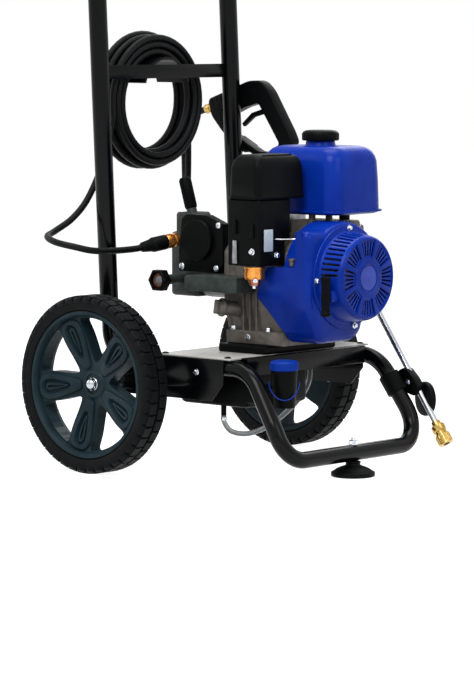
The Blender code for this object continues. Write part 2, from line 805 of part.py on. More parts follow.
def build_deck():
    """The deck plate on the rails, the side panels that carry the axle, and the front crossmember."""
    edge = FRAME_HALF_WIDTH + DECK_OVERHANG
    deck = block("deck", (-edge, edge), (DECK_BACK, DECK_FRONT), (DECK_BOTTOM_Z, DECK_TOP_Z))
    grommet = rod(
        "grommet",
        place(HOSE_HOLE_X, HOSE_HOLE_AHEAD, DECK_BOTTOM_Z - 0.01),
        place(HOSE_HOLE_X, HOSE_HOLE_AHEAD, DECK_TOP_Z + 0.01),
        SIPHON_R + 0.003,
        12,
    )
    piece("deck_plate", cut(deck, grommet), DECK_GREY)

    top = DECK_BOTTOM_Z - GAP
    outline = [
        (PANEL_BACK, PANEL_BOTTOM_Z + 0.010),
        (PANEL_BACK, top - 0.010),
        (PANEL_BACK + 0.010, top),
        (PANEL_FRONT, top),
        (PANEL_FRONT, PANEL_BOTTOM_Z + 0.030),
        (PANEL_FRONT - 0.024, PANEL_BOTTOM_Z),
        (PANEL_BACK + 0.010, PANEL_BOTTOM_Z),
    ]
    for side, word in ((-1, "right"), (1, "left")):
        inner, outer = side * PANEL_INNER_X, side * PANEL_OUTER_X
        panel = extrusion("panel", outline, "x", inner, outer)
        hole = rod(
            "hole",
            place(inner - side * 0.01, 0.0, TYRE_R),
            place(outer + side * 0.01, 0.0, TYRE_R),
            bore_radius(AXLE_R, 16),
            16,
        )
        piece(f"side_panel_{word}", cut(panel, hole), BLACK_GLOSS)

    back = DECK_FRONT + GAP
    front = back + CROSSMEMBER_DEPTH
    cap_top = BASE_BOTTOM_Z - GAP
    wall = CROSSMEMBER_WALL
    channel = [
        (front, CROSSMEMBER_BOTTOM_Z),
        (front, cap_top),
        (back, cap_top),
        (back, DECK_BOTTOM_Z),
        (front - wall, DECK_BOTTOM_Z),
        (front - wall, CROSSMEMBER_BOTTOM_Z + wall),
        (back, CROSSMEMBER_BOTTOM_Z + wall),
        (back, CROSSMEMBER_BOTTOM_Z),
    ]
    inner = RAIL_INNER_X - GAP
    lower = extrusion("channel", channel, "x", -inner, inner)
    half = FRAME_HALF_WIDTH
    cap = block("cap", (-half, half), (back, front), (DECK_BOTTOM_Z, cap_top), 0.006, 2)
    piece("front_crossmember", unite(lower, cap), BLACK_GLOSS)


def build_foot():
    """The rubber foot under the bar, and the bolt and nut that hold it."""
    seat_z = BAR_Z - FRAME_TUBE_R - GAP
    bolt_z = FOOT_RIM_HEIGHT
    bore = bore_radius(FOOT_BOLT_R, 12)
    profile = [
        (0.0, 0.0),
        (0.0, FOOT_R - 0.0015),
        (0.0015, FOOT_R),
        (FOOT_RIM_HEIGHT, FOOT_R),
        (FOOT_RIM_HEIGHT + 0.0015, FOOT_R - 0.004),
        (FOOT_RIM_HEIGHT + 0.0055, FOOT_R - 0.009),
        (FOOT_RIM_HEIGHT + 0.0090, FOOT_NECK_R + 0.004),
        (FOOT_RIM_HEIGHT + 0.0105, FOOT_NECK_R),
        (seat_z, FOOT_NECK_R),
        (seat_z, bore),
        (bolt_z, bore),
        (bolt_z, 0.0),
    ]
    foot = turned("foot", profile, place(0.0, FOOT_REACH, 0.0), (0.0, 0.0, 1.0), 14)
    piece("rubber_foot", foot, RUBBER)

    nut_z = BAR_Z + FRAME_TUBE_R + GAP
    bolt = rod(
        "bolt",
        place(0.0, FOOT_REACH, bolt_z + GAP),
        place(0.0, FOOT_REACH, nut_z + FOOT_NUT_HEIGHT + 0.006),
        FOOT_BOLT_R,
        12,
    )
    nut = rod(
        "nut",
        place(0.0, FOOT_REACH, nut_z),
        place(0.0, FOOT_REACH, nut_z + FOOT_NUT_HEIGHT),
        FOOT_NUT_R,
        6,
    )
    piece("foot_bolt", unite(bolt, nut), STEEL)


# ---------------------------------------------------------------- detergent
SIPHON_R = 0.0045
HOSE_HOLE_X = 0.108
HOSE_HOLE_AHEAD = 0.172


def build_detergent():
    """The hollow detergent tank under the deck, with its filler cup in front, cap and clear siphon hose."""
    top = DECK_BOTTOM_Z - GAP
    tank_front = DECK_FRONT - 0.001
    arm_top = CROSSMEMBER_BOTTOM_Z - 0.002
    arm_bottom = TANK_BOTTOM_Z + 0.008
    arm_half = 0.021
    tank = block(
        "tank", (TANK_RIGHT_X, TANK_LEFT_X), (TANK_BACK, tank_front), (TANK_BOTTOM_Z, top), 0.008, 2
    )
    arm = block(
        "arm",
        (FILLER_X - arm_half + 0.006, FILLER_X + arm_half),
        (tank_front - 0.02, FILLER_AHEAD),
        (arm_bottom, arm_top),
        0.003,
    )
    cup = rod(
        "cup",
        place(FILLER_X, FILLER_AHEAD, arm_bottom - 0.002),
        place(FILLER_X, FILLER_AHEAD, FILLER_TOP_Z),
        FILLER_FOOT_R,
        16,
        FILLER_R,
    )
    nipple = rod(
        "nipple",
        place(NIPPLE_X, NIPPLE_AHEAD, TANK_BOTTOM_Z + 0.002),
        place(NIPPLE_X, NIPPLE_AHEAD, TANK_BOTTOM_Z - NIPPLE_LENGTH),
        NIPPLE_R,
        12,
    )
    wall = TANK_WALL
    inside = block(
        "inside",
        (TANK_RIGHT_X + wall, TANK_LEFT_X - wall),
        (TANK_BACK + wall, tank_front - wall),
        (TANK_BOTTOM_Z + wall, top - wall),
        0.006,
    )
    inside_arm = block(
        "inside_arm",
        (FILLER_X - arm_half + 0.006 + wall, FILLER_X + arm_half - wall),
        (tank_front - 0.02, FILLER_AHEAD),
        (arm_bottom + wall, arm_top - wall),
    )
    inside_cup = rod(
        "inside_cup",
        place(FILLER_X, FILLER_AHEAD, arm_bottom + wall - 0.0008),
        place(FILLER_X, FILLER_AHEAD, FILLER_TOP_Z + 0.01),
        FILLER_FOOT_R - wall,
        16,
    )
    shell = unite(tank, arm, cup, nipple)
    piece("detergent_tank", cut(shell, unite(inside, inside_arm, inside_cup)), BLACK_PLASTIC)

    seat = FILLER_TOP_Z + GAP
    plug = (FILLER_FOOT_R - wall - GAP) * math.cos(math.pi / 20)
    profile = [
        (-0.008, 0.0),
        (-0.008, plug - 0.0005),
        (0.0, plug - 0.0005),
        (0.0, DETERGENT_CAP_R - 0.002),
        (0.002, DETERGENT_CAP_R),
        (DETERGENT_CAP_HEIGHT - 0.004, DETERGENT_CAP_R),
        (DETERGENT_CAP_HEIGHT, DETERGENT_CAP_R - 0.005),
        (DETERGENT_CAP_HEIGHT, 0.0),
    ]
    middle = place(FILLER_X, FILLER_AHEAD, seat)
    cap = turned("cap", profile, middle, (0.0, 0.0, 1.0), 16)
    piece("detergent_cap", cap, CAP_BLUE, middle)

    start = place(NIPPLE_X, NIPPLE_AHEAD, TANK_BOTTOM_Z - NIPPLE_LENGTH - GAP)
    route = [
        start,
        start - Vector((0.0, 0.0, 2 * SIPHON_R)),
        place(-0.116, 0.187, 0.074),
        place(-0.082, 0.190, 0.066),
        place(-0.043, 0.190, 0.069),
        place(0.002, 0.190, 0.082),
        place(0.060, 0.189, 0.112),
        place(0.095, 0.184, 0.142),
        place(HOSE_HOLE_X, HOSE_HOLE_AHEAD + 0.003, 0.178),
        place(HOSE_HOLE_X, HOSE_HOLE_AHEAD, DECK_TOP_Z),
        place(0.107, 0.160, 0.245),
        place(0.100, 0.120, 0.282),
        place(0.086, 0.070, 0.306),
        place(0.074, 0.030, SIPHON_PORT_Z),
        place(PUMP_HEAD_HALF_WIDTH + 4 * SIPHON_R, SIPHON_PORT_AHEAD, SIPHON_PORT_Z),
        place(PUMP_HEAD_HALF_WIDTH + GAP, SIPHON_PORT_AHEAD, SIPHON_PORT_Z),
    ]
    piece("detergent_hose", tube("siphon", smooth_path(route, 0.0170), SIPHON_R, 1), CLEAR)


SIPHON_PORT_AHEAD = 0.004
SIPHON_PORT_Z = 0.322


# ---------------------------------------------------------------- engine
def case_outline(grow, bottom):
    """The crankcase seen along the crank, from this height up, grown all round."""
    half = CASE_HALF_WIDTH + grow
    return [
        (-half + 0.012, bottom),
        (-half, 0.285),
        (-half, CASE_TOP_Z - 0.024),
        (-half + 0.022, CASE_TOP_Z + grow),
        (half - 0.022, CASE_TOP_Z + grow),
        (half, CASE_TOP_Z - 0.024),
        (half, 0.285),
        (half - 0.012, bottom),
    ]


def build_crankcase():
    """The crankcase on its base flange, the mount under it, its cover and the crankshaft."""
    mount = block(
        "mount",
        (-MOUNT_HALF_WIDTH, MOUNT_HALF_WIDTH),
        (MOUNT_BACK, DECK_FRONT - GAP),
        (DECK_TOP_Z + GAP, BASE_BOTTOM_Z - GAP),
        0.002,
    )
    window = block(
        "window",
        (-MOUNT_HALF_WIDTH + 0.045, MOUNT_HALF_WIDTH - 0.045),
        (MOUNT_BACK + 0.030, DECK_FRONT - 0.030),
        (DECK_TOP_Z - 0.01, BASE_BOTTOM_Z + 0.01),
    )
    piece("engine_mount", cut(mount, window), BLACK_PLASTIC)

    base = block(
        "base",
        (-BASE_HALF_WIDTH, BASE_HALF_WIDTH),
        (BASE_BACK, BASE_FRONT),
        (BASE_BOTTOM_Z, BASE_TOP_Z),
        0.0015,
    )
    body = extrusion("body", case_outline(0.0, BASE_TOP_Z - 0.006), "ahead", CASE_BACK, CASE_FRONT)
    ribs = [
        block(
            "rib",
            (-CASE_HALF_WIDTH - 0.005, -CASE_HALF_WIDTH + 0.012),
            (ahead - 0.0016, ahead + 0.0016),
            (BASE_TOP_Z - 0.004, LEDGE_BOTTOM_Z - 0.003),
        )
        for ahead in (0.1845, 0.1990, 0.2135)
    ]
    intake = block(
        "intake",
        (CARB_X + CARB_HALF_WIDTH + 0.0285, -0.050),
        (CARB_AHEAD - 0.016, CARB_AHEAD + 0.016),
        (CARB_STUB_Z - 0.015, CASE_TOP_Z - 0.004),
    )
    oil_foot, oil_axis = place(*OIL_FOOT), direction_of(OIL_SLOPE)
    oil_end = oil_foot + oil_axis * OIL_BOSS_LENGTH
    oil_boss = rod("oil_boss", oil_foot, oil_end, OIL_BOSS_R, 16)
    posts = [
        rod(
            "post",
            place(x, ahead, CASE_TOP_Z - 0.01),
            place(x, ahead, FUEL_TANK_Z - GAP),
            0.006,
            12,
        )
        for x, ahead in ((0.002, 0.172), (0.047, 0.172), (0.002, 0.268), (0.047, 0.268))
    ]
    case = unite(base, body, *ribs, intake, oil_boss, *posts)
    crank_line = place(0.0, CASE_BACK - 0.02, CRANK_Z)
    cavity = rod(
        "cavity",
        crank_line,
        place(0.0, CASE_FRONT - CASE_FRONT_WALL, CRANK_Z),
        CASE_BORE_R,
        24,
    )
    bearing = rod(
        "bearing",
        place(0.0, CASE_FRONT - 2 * CASE_FRONT_WALL, CRANK_Z),
        place(0.0, CASE_FRONT + 0.02, CRANK_Z),
        bore_radius(CRANK_R, 16),
        16,
    )
    barrel = rod(
        "barrel",
        place(0.030, CYLINDER_AHEAD, CYLINDER_Z),
        place(CASE_HALF_WIDTH + 0.02, CYLINDER_AHEAD, CYLINDER_Z),
        0.024,
        18,
    )
    dipstick = rod(
        "dipstick",
        oil_end + oil_axis * 0.01,
        oil_end - oil_axis * (OIL_PLUG_LENGTH + GAP),
        bore_radius(OIL_PLUG_R, 12),
        12,
    )
    piece("crankcase", cut(case, cavity, bearing, barrel, dipstick), CAST_GREY)

    cover = extrusion(
        "cover", case_outline(0.0, BASE_TOP_Z + 2 * GAP), "ahead", COVER_BACK, CASE_BACK - GAP
    )
    hole = rod(
        "hole",
        place(0.0, COVER_BACK - 0.01, CRANK_Z),
        place(0.0, CASE_BACK + 0.01, CRANK_Z),
        bore_radius(CRANK_R, 16),
        16,
    )
    piece("crankcase_cover", cut(cover, hole), CAST_GREY)

    middle = (CASE_BACK + CASE_FRONT - CASE_FRONT_WALL) / 2
    web_gap, web = 0.011, 0.012
    shaft_front = rod(
        "shaft",
        place(0.0, middle + web_gap + web / 2, CRANK_Z),
        place(0.0, BLOWER_FRONT - 0.012, CRANK_Z),
        CRANK_R,
        12,
    )
    shaft_back = rod(
        "shaft_back",
        place(0.0, PUMP_BODY_BACK + 0.020, CRANK_Z),
        place(0.0, middle - web_gap - web / 2, CRANK_Z),
        CRANK_R,
        12,
    )
    webs = [
        rod(
            "web",
            place(0.0, middle + side * web_gap, CRANK_Z),
            place(0.0, middle + side * (web_gap + web), CRANK_Z),
            CRANK_THROW + 0.014,
            14,
        )
        for side in (-1, 1)
    ]
    pin = rod(
        "pin",
        place(0.0, middle - web_gap - 0.004, CRANK_Z + CRANK_THROW),
        place(0.0, middle + web_gap + 0.004, CRANK_Z + CRANK_THROW),
        CRANK_R - 0.002,
        12,
    )
    crank = unite(shaft_front, webs[1], pin, webs[0], shaft_back)
    piece("crankshaft", crank, STEEL, place(0.0, middle, CRANK_Z))

    disc_back = CASE_FRONT + 0.008
    disc_front = disc_back + FLYWHEEL_THICKNESS
    wheel = rod(
        "wheel",
        place(0.0, disc_back, CRANK_Z),
        place(0.0, disc_front, CRANK_Z),
        FLYWHEEL_R,
        24,
    )
    blades = []
    for number in range(FINS_ON_FLYWHEEL):
        blade = block(
            "blade",
            (-0.0014, 0.0014),
            (disc_front - 0.004, disc_front + 0.012),
            (CRANK_Z + 0.046, CRANK_Z + FLYWHEEL_R - 0.004),
        )
        centre = place(0.0, 0.0, CRANK_Z)
        spin = Matrix.Rotation(2 * math.pi * number / FINS_ON_FLYWHEEL, 4, "Y")
        blade.data.transform(Matrix.Translation(centre) @ spin @ Matrix.Translation(-centre))
        blades.append(blade)
    hole = rod(
        "hole",
        place(0.0, disc_back - 0.02, CRANK_Z),
        place(0.0, disc_front + 0.03, CRANK_Z),
        bore_radius(CRANK_R, 16),
        16,
    )
    flywheel = cut(unite(wheel, *blades), hole)
    piece("flywheel", flywheel, CAST_GREY, place(0.0, disc_back, CRANK_Z))


CARB_STUB_Z = CARB_BOTTOM_Z + 0.024


SHOULDER_BEND_Z = 0.300


def shoulder_outline(inset):
    """The blower housing's near part seen from the front, as (x, z) points, drawn in all round."""
    side = BLOWER_SIDE_X + inset
    floor = BLOWER_FLOOR_Z + inset
    return [
        (-0.020, BLOWER_TOP_Z - inset),
        (side, BLOWER_TOP_Z - inset),
        (side, SHOULDER_BEND_Z),
        (side + 0.028, floor + 0.007),
        (side + 0.042, floor),
        (0.026 - inset, floor),
        (0.048 - inset, floor + 0.016),
        (0.048 - inset, SHOULDER_BEND_Z),
    ]


def build_blower():
    """The blower housing round the flywheel, and the slotted recoil cover with its pull handle."""
    depth = BLOWER_DEPTH
    profile = [
        (0.0, 0.0),
        (0.0, BLOWER_R),
        (depth - 0.005, BLOWER_R),
        (depth, BLOWER_R - 0.004),
        (depth, 0.0),
    ]
    middle = place(0.0, BLOWER_BACK, CRANK_Z)
    scroll = turned("scroll", profile, middle, (0.0, -1.0, 0.0), 28)
    edge = 0.012
    shoulder = loft(
        "shoulder",
        [
            [place(x, ahead, z) for x, z in shoulder_outline(inset)]
            for ahead, inset in (
                (BLOWER_BACK, 0.0),
                (BLOWER_FRONT - edge, 0.0),
                (BLOWER_FRONT - edge * 0.3, edge * 0.3),
                (BLOWER_FRONT, edge),
            )
        ],
    )
    behind = block(
        "behind",
        (BLOWER_SIDE_X - 0.01, 0.1),
        (BLOWER_BACK - 0.01, BLOWER_STEP_AHEAD),
        (BLOWER_STEP_Z, BLOWER_TOP_Z + 0.01),
    )
    shoulder = cut(shoulder, behind)
    side, floor, wall = BLOWER_SIDE_X, BLOWER_FLOOR_Z, BLOWER_WALL
    top = BLOWER_TOP_Z - 0.001
    strip = [
        (side, top),
        (side, SHOULDER_BEND_Z),
        (side + 0.028, floor + 0.007),
        (side + 0.042, floor),
        (side + 0.042, floor + wall),
        (side + 0.0292, floor + 0.007 + wall),
        (side + wall, SHOULDER_BEND_Z + wall * 0.3),
        (side + wall, top),
    ]
    lobe = [
        (BLOWER_FRONT - edge - 0.001, top + 0.01),
        (BLOWER_STEP_AHEAD - 0.0005, top + 0.01),
        (BLOWER_STEP_AHEAD - 0.0005, BLOWER_STEP_Z - 0.0005),
        (0.2545, BLOWER_STEP_Z - 0.0005),
        (0.2435, 0.3335),
        (0.2300, 0.3045),
        (0.2400, 0.2895),
        (0.2566, 0.2668),
        (0.2660, 0.2520),
        (BASE_FRONT + 0.002, BASE_TOP_Z + 0.002),
        (BASE_FRONT + 0.004, floor - 0.01),
        (BLOWER_FRONT - edge - 0.001, floor - 0.01),
    ]
    plate = extrusion("plate", strip, "ahead", 0.22, BLOWER_FRONT - edge)
    plate = joined(plate, "INTERSECT", [extrusion("lobe", lobe, "x", side - 0.01, side + 0.07)])
    inner_x = side + wall
    switch_boss = block(
        "switch_boss",
        (BLOWER_R - 0.014, SWITCH_FACE_X),
        (BLOWER_BACK + 0.016, BLOWER_BACK + 0.044),
        (CRANK_Z - 0.042, CRANK_Z - 0.006),
    )
    housing = unite(scroll, shoulder, plate, switch_boss)
    room = rod(
        "room",
        place(0.0, BLOWER_BACK - 0.01, CRANK_Z),
        place(0.0, BLOWER_FRONT - BLOWER_WALL - 0.003, CRANK_Z),
        BLOWER_R - BLOWER_WALL,
        28,
    )
    side_room = loft(
        "side_room",
        [
            [place(x, ahead, z) for x, z in shoulder_outline(inset)]
            for ahead, inset in (
                (BLOWER_BACK - 0.01, wall),
                (BLOWER_FRONT - edge, wall),
                (BLOWER_FRONT - wall, edge + wall),
            )
        ],
    )
    behind_room = block(
        "behind_room",
        (BLOWER_SIDE_X - 0.01, 0.1),
        (BLOWER_BACK - 0.02, BLOWER_STEP_AHEAD + wall),
        (BLOWER_STEP_Z - wall, BLOWER_TOP_Z + 0.01),
    )
    side_room = cut(side_room, behind_room)
    intake = rod(
        "intake",
        place(0.0, BLOWER_FRONT - 0.02, CRANK_Z),
        place(0.0, BLOWER_FRONT + 0.02, CRANK_Z),
        BLOWER_INTAKE_R,
        24,
    )
    piece("blower_housing", cut(housing, unite(room, side_room), intake), BLUE)

    wall = RECOIL_WALL
    back = 0.0
    face = RECOIL_DEPTH
    profile = [
        (face - wall, 0.0),
        (face - wall, RECOIL_FACE_R - 0.001),
        (face - wall - 0.0065, RECOIL_FACE_R + 0.0035),
        (back + 0.0042, RECOIL_BASE_R - wall),
        (back, RECOIL_BASE_R - wall),
        (back, RECOIL_FLANGE_R),
        (back + wall, RECOIL_FLANGE_R),
        (back + wall, RECOIL_BASE_R + 0.001),
        (back + 0.0042, RECOIL_BASE_R),
        (face - 0.0090, RECOIL_FACE_R + 0.0064),
        (face - 0.0025, RECOIL_FACE_R + 0.0040),
        (face, RECOIL_FACE_R),
        (face, 0.0),
    ]
    start = place(0.0, RECOIL_BACK, CRANK_Z)
    cover = turned("cover", profile, start, (0.0, -1.0, 0.0), 24)
    guide_z = CRANK_Z - 0.027
    guide_ahead = RECOIL_BACK + 0.0270
    guide = block(
        "guide",
        (-RECOIL_BASE_R - 0.004, -RECOIL_BASE_R + 0.011),
        (guide_ahead - 0.007, guide_ahead + 0.007),
        (guide_z - 0.009, guide_z + 0.009),
        0.002,
    )
    cover = unite(cover, guide)
    cutters = []
    centre = place(0.0, 0.0, CRANK_Z)
    for group in range(SLOT_GROUPS):
        for slot in range(SLOTS_PER_GROUP):
            offset = (slot - (SLOTS_PER_GROUP - 1) / 2) * SLOT_PITCH
            cutter = block(
                "slot",
                (offset - SLOT_WIDTH / 2, offset + SLOT_WIDTH / 2),
                (RECOIL_FRONT - 0.006, RECOIL_FRONT + 0.004),
                (CRANK_Z + SLOT_INNER_R, CRANK_Z + SLOT_OUTER_R),
            )
            spin = Matrix.Rotation(2 * math.pi * group / SLOT_GROUPS, 4, "Y")
            cutter.data.transform(Matrix.Translation(centre) @ spin @ Matrix.Translation(-centre))
            cutters.append(cutter)
    for slot in range(SIDE_SLOTS):
        cutter = block(
            "slot",
            (-0.0017, 0.0017),
            (RECOIL_BACK + 0.009, RECOIL_FRONT - 0.0115),
            (CRANK_Z + RECOIL_FACE_R - 0.004, CRANK_Z + RECOIL_BASE_R + 0.006),
        )
        angle = math.radians(-14 - 8.2 * slot)
        spin = Matrix.Rotation(angle, 4, "Y")
        cutter.data.transform(Matrix.Translation(centre) @ spin @ Matrix.Translation(-centre))
        cutters.append(cutter)
    cutters.append(
        rod(
            "rope_hole",
            place(-RECOIL_BASE_R - 0.01, guide_ahead, guide_z),
            place(-RECOIL_BASE_R + 0.02, guide_ahead, guide_z),
            ROPE_HOLE_R,
            12,
        )
    )
    piece("recoil_cover", cut(cover, *cutters), BLUE)

    handle_x = -RECOIL_BASE_R - 0.004 - GAP - STARTER_HANDLE_R
    half = STARTER_HANDLE_LENGTH / 2
    radius = STARTER_HANDLE_R
    profile = [
        (-half, 0.0),
        (-half, radius * 0.6),
        (-half + 0.004, radius),
        (-0.008, radius * 0.94),
        (0.008, radius * 0.94),
        (half - 0.004, radius),
        (half, radius * 0.6),
        (half, 0.0),
    ]
    middle = place(handle_x, guide_ahead, guide_z)
    handle = turned("handle", profile, middle, (0.0, 0.0, 1.0), 12)
    tail = rod("tail", middle, middle + Vector((STARTER_HANDLE_R + 0.006, 0.0, 0.0)), 0.0022, 10)
    piece("recoil_handle", unite(handle, tail), BLACK_PLASTIC, middle)

    switch_middle = place(SWITCH_FACE_X + GAP, BLOWER_BACK + 0.030, CRANK_Z - 0.024)
    knob = [(0.0, SWITCH_R), (0.004, SWITCH_R), (0.0045, SWITCH_R - 0.001)]
    switch = turned("switch", knob, switch_middle, (1.0, 0.0, 0.0), 12)
    fin = block(
        "fin",
        (SWITCH_FACE_X + 0.003, SWITCH_FACE_X + 0.011),
        (BLOWER_BACK + 0.0282, BLOWER_BACK + 0.0318),
        (CRANK_Z - 0.024 - SWITCH_R + 0.001, CRANK_Z - 0.024 + SWITCH_R - 0.001),
    )
    piece("engine_switch", unite(switch, fin), BLACK_PLASTIC, switch_middle)


SWITCH_FACE_X = BLOWER_R + 0.0045


def fuel_section(z, inset):
    """The fuel tank's outline at this height, drawn in all round."""
    outline = rounded_rectangle(
        FUEL_TANK_X,
        FUEL_TANK_AHEAD,
        FUEL_TANK_WIDTH - 2 * inset,
        FUEL_TANK_LENGTH - 2 * inset,
        0.030,
        4,
    )
    return [place(x, ahead, z) for x, ahead in outline]


def build_fuel():
    """The hollow fuel tank with its seam, filler neck and screw cap."""
    top = FUEL_TANK_Z + FUEL_TANK_HEIGHT
    lip = FUEL_TANK_LIP
    heights = [
        (FUEL_TANK_Z, 0.012),
        (FUEL_TANK_Z + 0.0035, 0.004),
        (FUEL_TANK_Z + 0.0040, 0.0),
        (FUEL_TANK_Z + 0.0070, 0.0),
        (FUEL_TANK_Z + 0.0075, lip),
        (top - 0.026, lip + 0.003),
        (top - 0.010, lip + 0.009),
        (top - 0.002, lip + 0.019),
        (top, lip + 0.030),
    ]
    tank = loft("tank", [fuel_section(z, inset) for z, inset in heights])
    neck_top = top + 0.008
    neck = rod(
        "neck",
        place(FUEL_TANK_X, FUEL_TANK_AHEAD, top - 0.004),
        place(FUEL_TANK_X, FUEL_TANK_AHEAD, neck_top),
        FUEL_NECK_R,
        18,
    )
    wall = FUEL_TANK_WALL
    room = loft(
        "room",
        [
            fuel_section(FUEL_TANK_Z + wall + 0.002, 0.012 + wall),
            fuel_section(FUEL_TANK_Z + 0.009, lip + wall),
            fuel_section(top - 0.027, lip + 0.003 + wall),
            fuel_section(top - 0.008 - wall, lip + 0.016 + wall),
        ],
    )
    mouth = rod(
        "mouth",
        place(FUEL_TANK_X, FUEL_TANK_AHEAD, top - 0.030),
        place(FUEL_TANK_X, FUEL_TANK_AHEAD, neck_top + 0.01),
        FUEL_NECK_BORE_R,
        18,
    )
    piece("fuel_tank", cut(unite(tank, neck), unite(room, mouth)), BLUE)

    middle = place(FUEL_TANK_X, FUEL_TANK_AHEAD, neck_top + GAP)
    plug = FUEL_NECK_BORE_R * math.cos(math.pi / 18) - GAP
    profile = [
        (-0.008, 0.0),
        (-0.008, plug),
        (0.0, plug),
        (0.0, FUEL_CAP_R - 0.001),
        (0.001, FUEL_CAP_R),
        (FUEL_CAP_HEIGHT - 0.005, FUEL_CAP_R),
        (FUEL_CAP_HEIGHT, FUEL_CAP_R - 0.006),
        (FUEL_CAP_HEIGHT, 0.0),
    ]
    cap = turned("cap", profile, middle, (0.0, 0.0, 1.0), 16)
    piece("fuel_cap", cap, BLACK_PLASTIC, middle)


def build_cylinder():
    """The finned cylinder and head on the left, with its valve cover, spark plug and muffler."""
    core = rod(
        "core",
        place(HEAD_X, CYLINDER_AHEAD, CYLINDER_Z),
        place(CYLINDER_END_X + 0.004, CYLINDER_AHEAD, CYLINDER_Z),
        CYLINDER_R,
        14,
    )
    bottom = CYLINDER_Z - HEAD_HALF_HEIGHT
    top = CYLINDER_Z + HEAD_HALF_HEIGHT
    length = (CYLINDER_AHEAD - HEAD_HALF_LENGTH, CYLINDER_AHEAD + HEAD_HALF_LENGTH)
    fins = []
    pitch = CYLINDER_LENGTH / COOLING_FINS
    for number in range(COOLING_FINS):
        x = HEAD_X + pitch * (number + 0.35)
        fins.append(block("fin", (x, x + COOLING_FIN_THICKNESS), length, (bottom, top)))
    head = block("head", (CYLINDER_END_X, HEAD_END_X), length, (bottom, top), 0.003)
    bore = rod(
        "bore",
        place(HEAD_X - 0.01, CYLINDER_AHEAD, CYLINDER_Z),
        place(CYLINDER_END_X, CYLINDER_AHEAD, CYLINDER_Z),
        CYLINDER_BORE_R,
        14,
    )
    plug_x = (CYLINDER_END_X + HEAD_END_X) / 2
    seat = rod(
        "seat",
        place(plug_x, CYLINDER_AHEAD + 0.020, top - 0.009),
        place(plug_x, CYLINDER_AHEAD + 0.020, top + 0.01),
        bore_radius(0.006, 12),
        12,
    )
    piece("cylinder_head", cut(unite(core, *fins, head), bore, seat), CAST_GREY)

    inset = 0.008
    cover = block(
        "cover",
        (HEAD_END_X + GAP, HEAD_END_X + GAP + VALVE_COVER_DEPTH),
        (length[0] + inset, length[1] - inset),
        (bottom + inset, top - inset),
        0.006,
        2,
    )
    piece("valve_cover", cover, CAST_GREY)

    base = top - 0.009 + GAP
    profile = [
        (base, 0.006),
        (top + GAP, 0.006),
        (top + GAP, 0.0095),
        (top + 0.010, 0.0095),
        (top + 0.011, 0.0085),
        (top + SPARK_PLUG_HEIGHT - 0.006, 0.0085),
        (top + SPARK_PLUG_HEIGHT, 0.0055),
    ]
    plug = turned(
        "plug", profile, place(plug_x, CYLINDER_AHEAD + 0.020, 0.0), (0.0, 0.0, 1.0), 12
    )
    piece("spark_plug", plug, BLACK_PLASTIC)

    muffler = block(
        "muffler",
        (MUFFLER_X - MUFFLER_HALF_WIDTH, MUFFLER_X + MUFFLER_HALF_WIDTH),
        (MUFFLER_BACK, MUFFLER_FRONT),
        (MUFFLER_BOTTOM_Z, MUFFLER_BOTTOM_Z + MUFFLER_HEIGHT),
        0.014,
        2,
    )
    pipe_z = top - EXHAUST_R - 0.003
    pipe = rod(
        "pipe",
        place(plug_x, MUFFLER_FRONT - 0.010, pipe_z),
        place(plug_x, length[0] - GAP, pipe_z),
        EXHAUST_R,
        12,
    )
    outlet = rod(
        "outlet",
        place(MUFFLER_X, MUFFLER_BACK + 0.004, MUFFLER_BOTTOM_Z + MUFFLER_HEIGHT / 2),
        place(MUFFLER_X, MUFFLER_BACK - 0.012, MUFFLER_BOTTOM_Z + MUFFLER_HEIGHT / 2),
        0.010,
        12,
    )
    hollow = rod(
        "hollow",
        place(MUFFLER_X, MUFFLER_BACK + 0.010, MUFFLER_BOTTOM_Z + MUFFLER_HEIGHT / 2),
        place(MUFFLER_X, MUFFLER_BACK - 0.020, MUFFLER_BOTTOM_Z + MUFFLER_HEIGHT / 2),
        0.008,
        12,
    )
    piece("muffler", cut(unite(muffler, pipe, outlet), hollow), STEEL)


def lever(name, pivot, axis, outline, look):
    """A flat lever on a pivot: its outline of (along, across) points lies square to the axis."""
    axis = Vector(axis)
    across = Vector((0.0, 0.0, 1.0))
    along = across.cross(axis)
    sections = []
    for depth in (0.0, LEVER_THICKNESS):
        sections.append([pivot + axis * depth + along * u + across * v for u, v in outline])
    piece(name, loft("lever", sections), look, pivot)


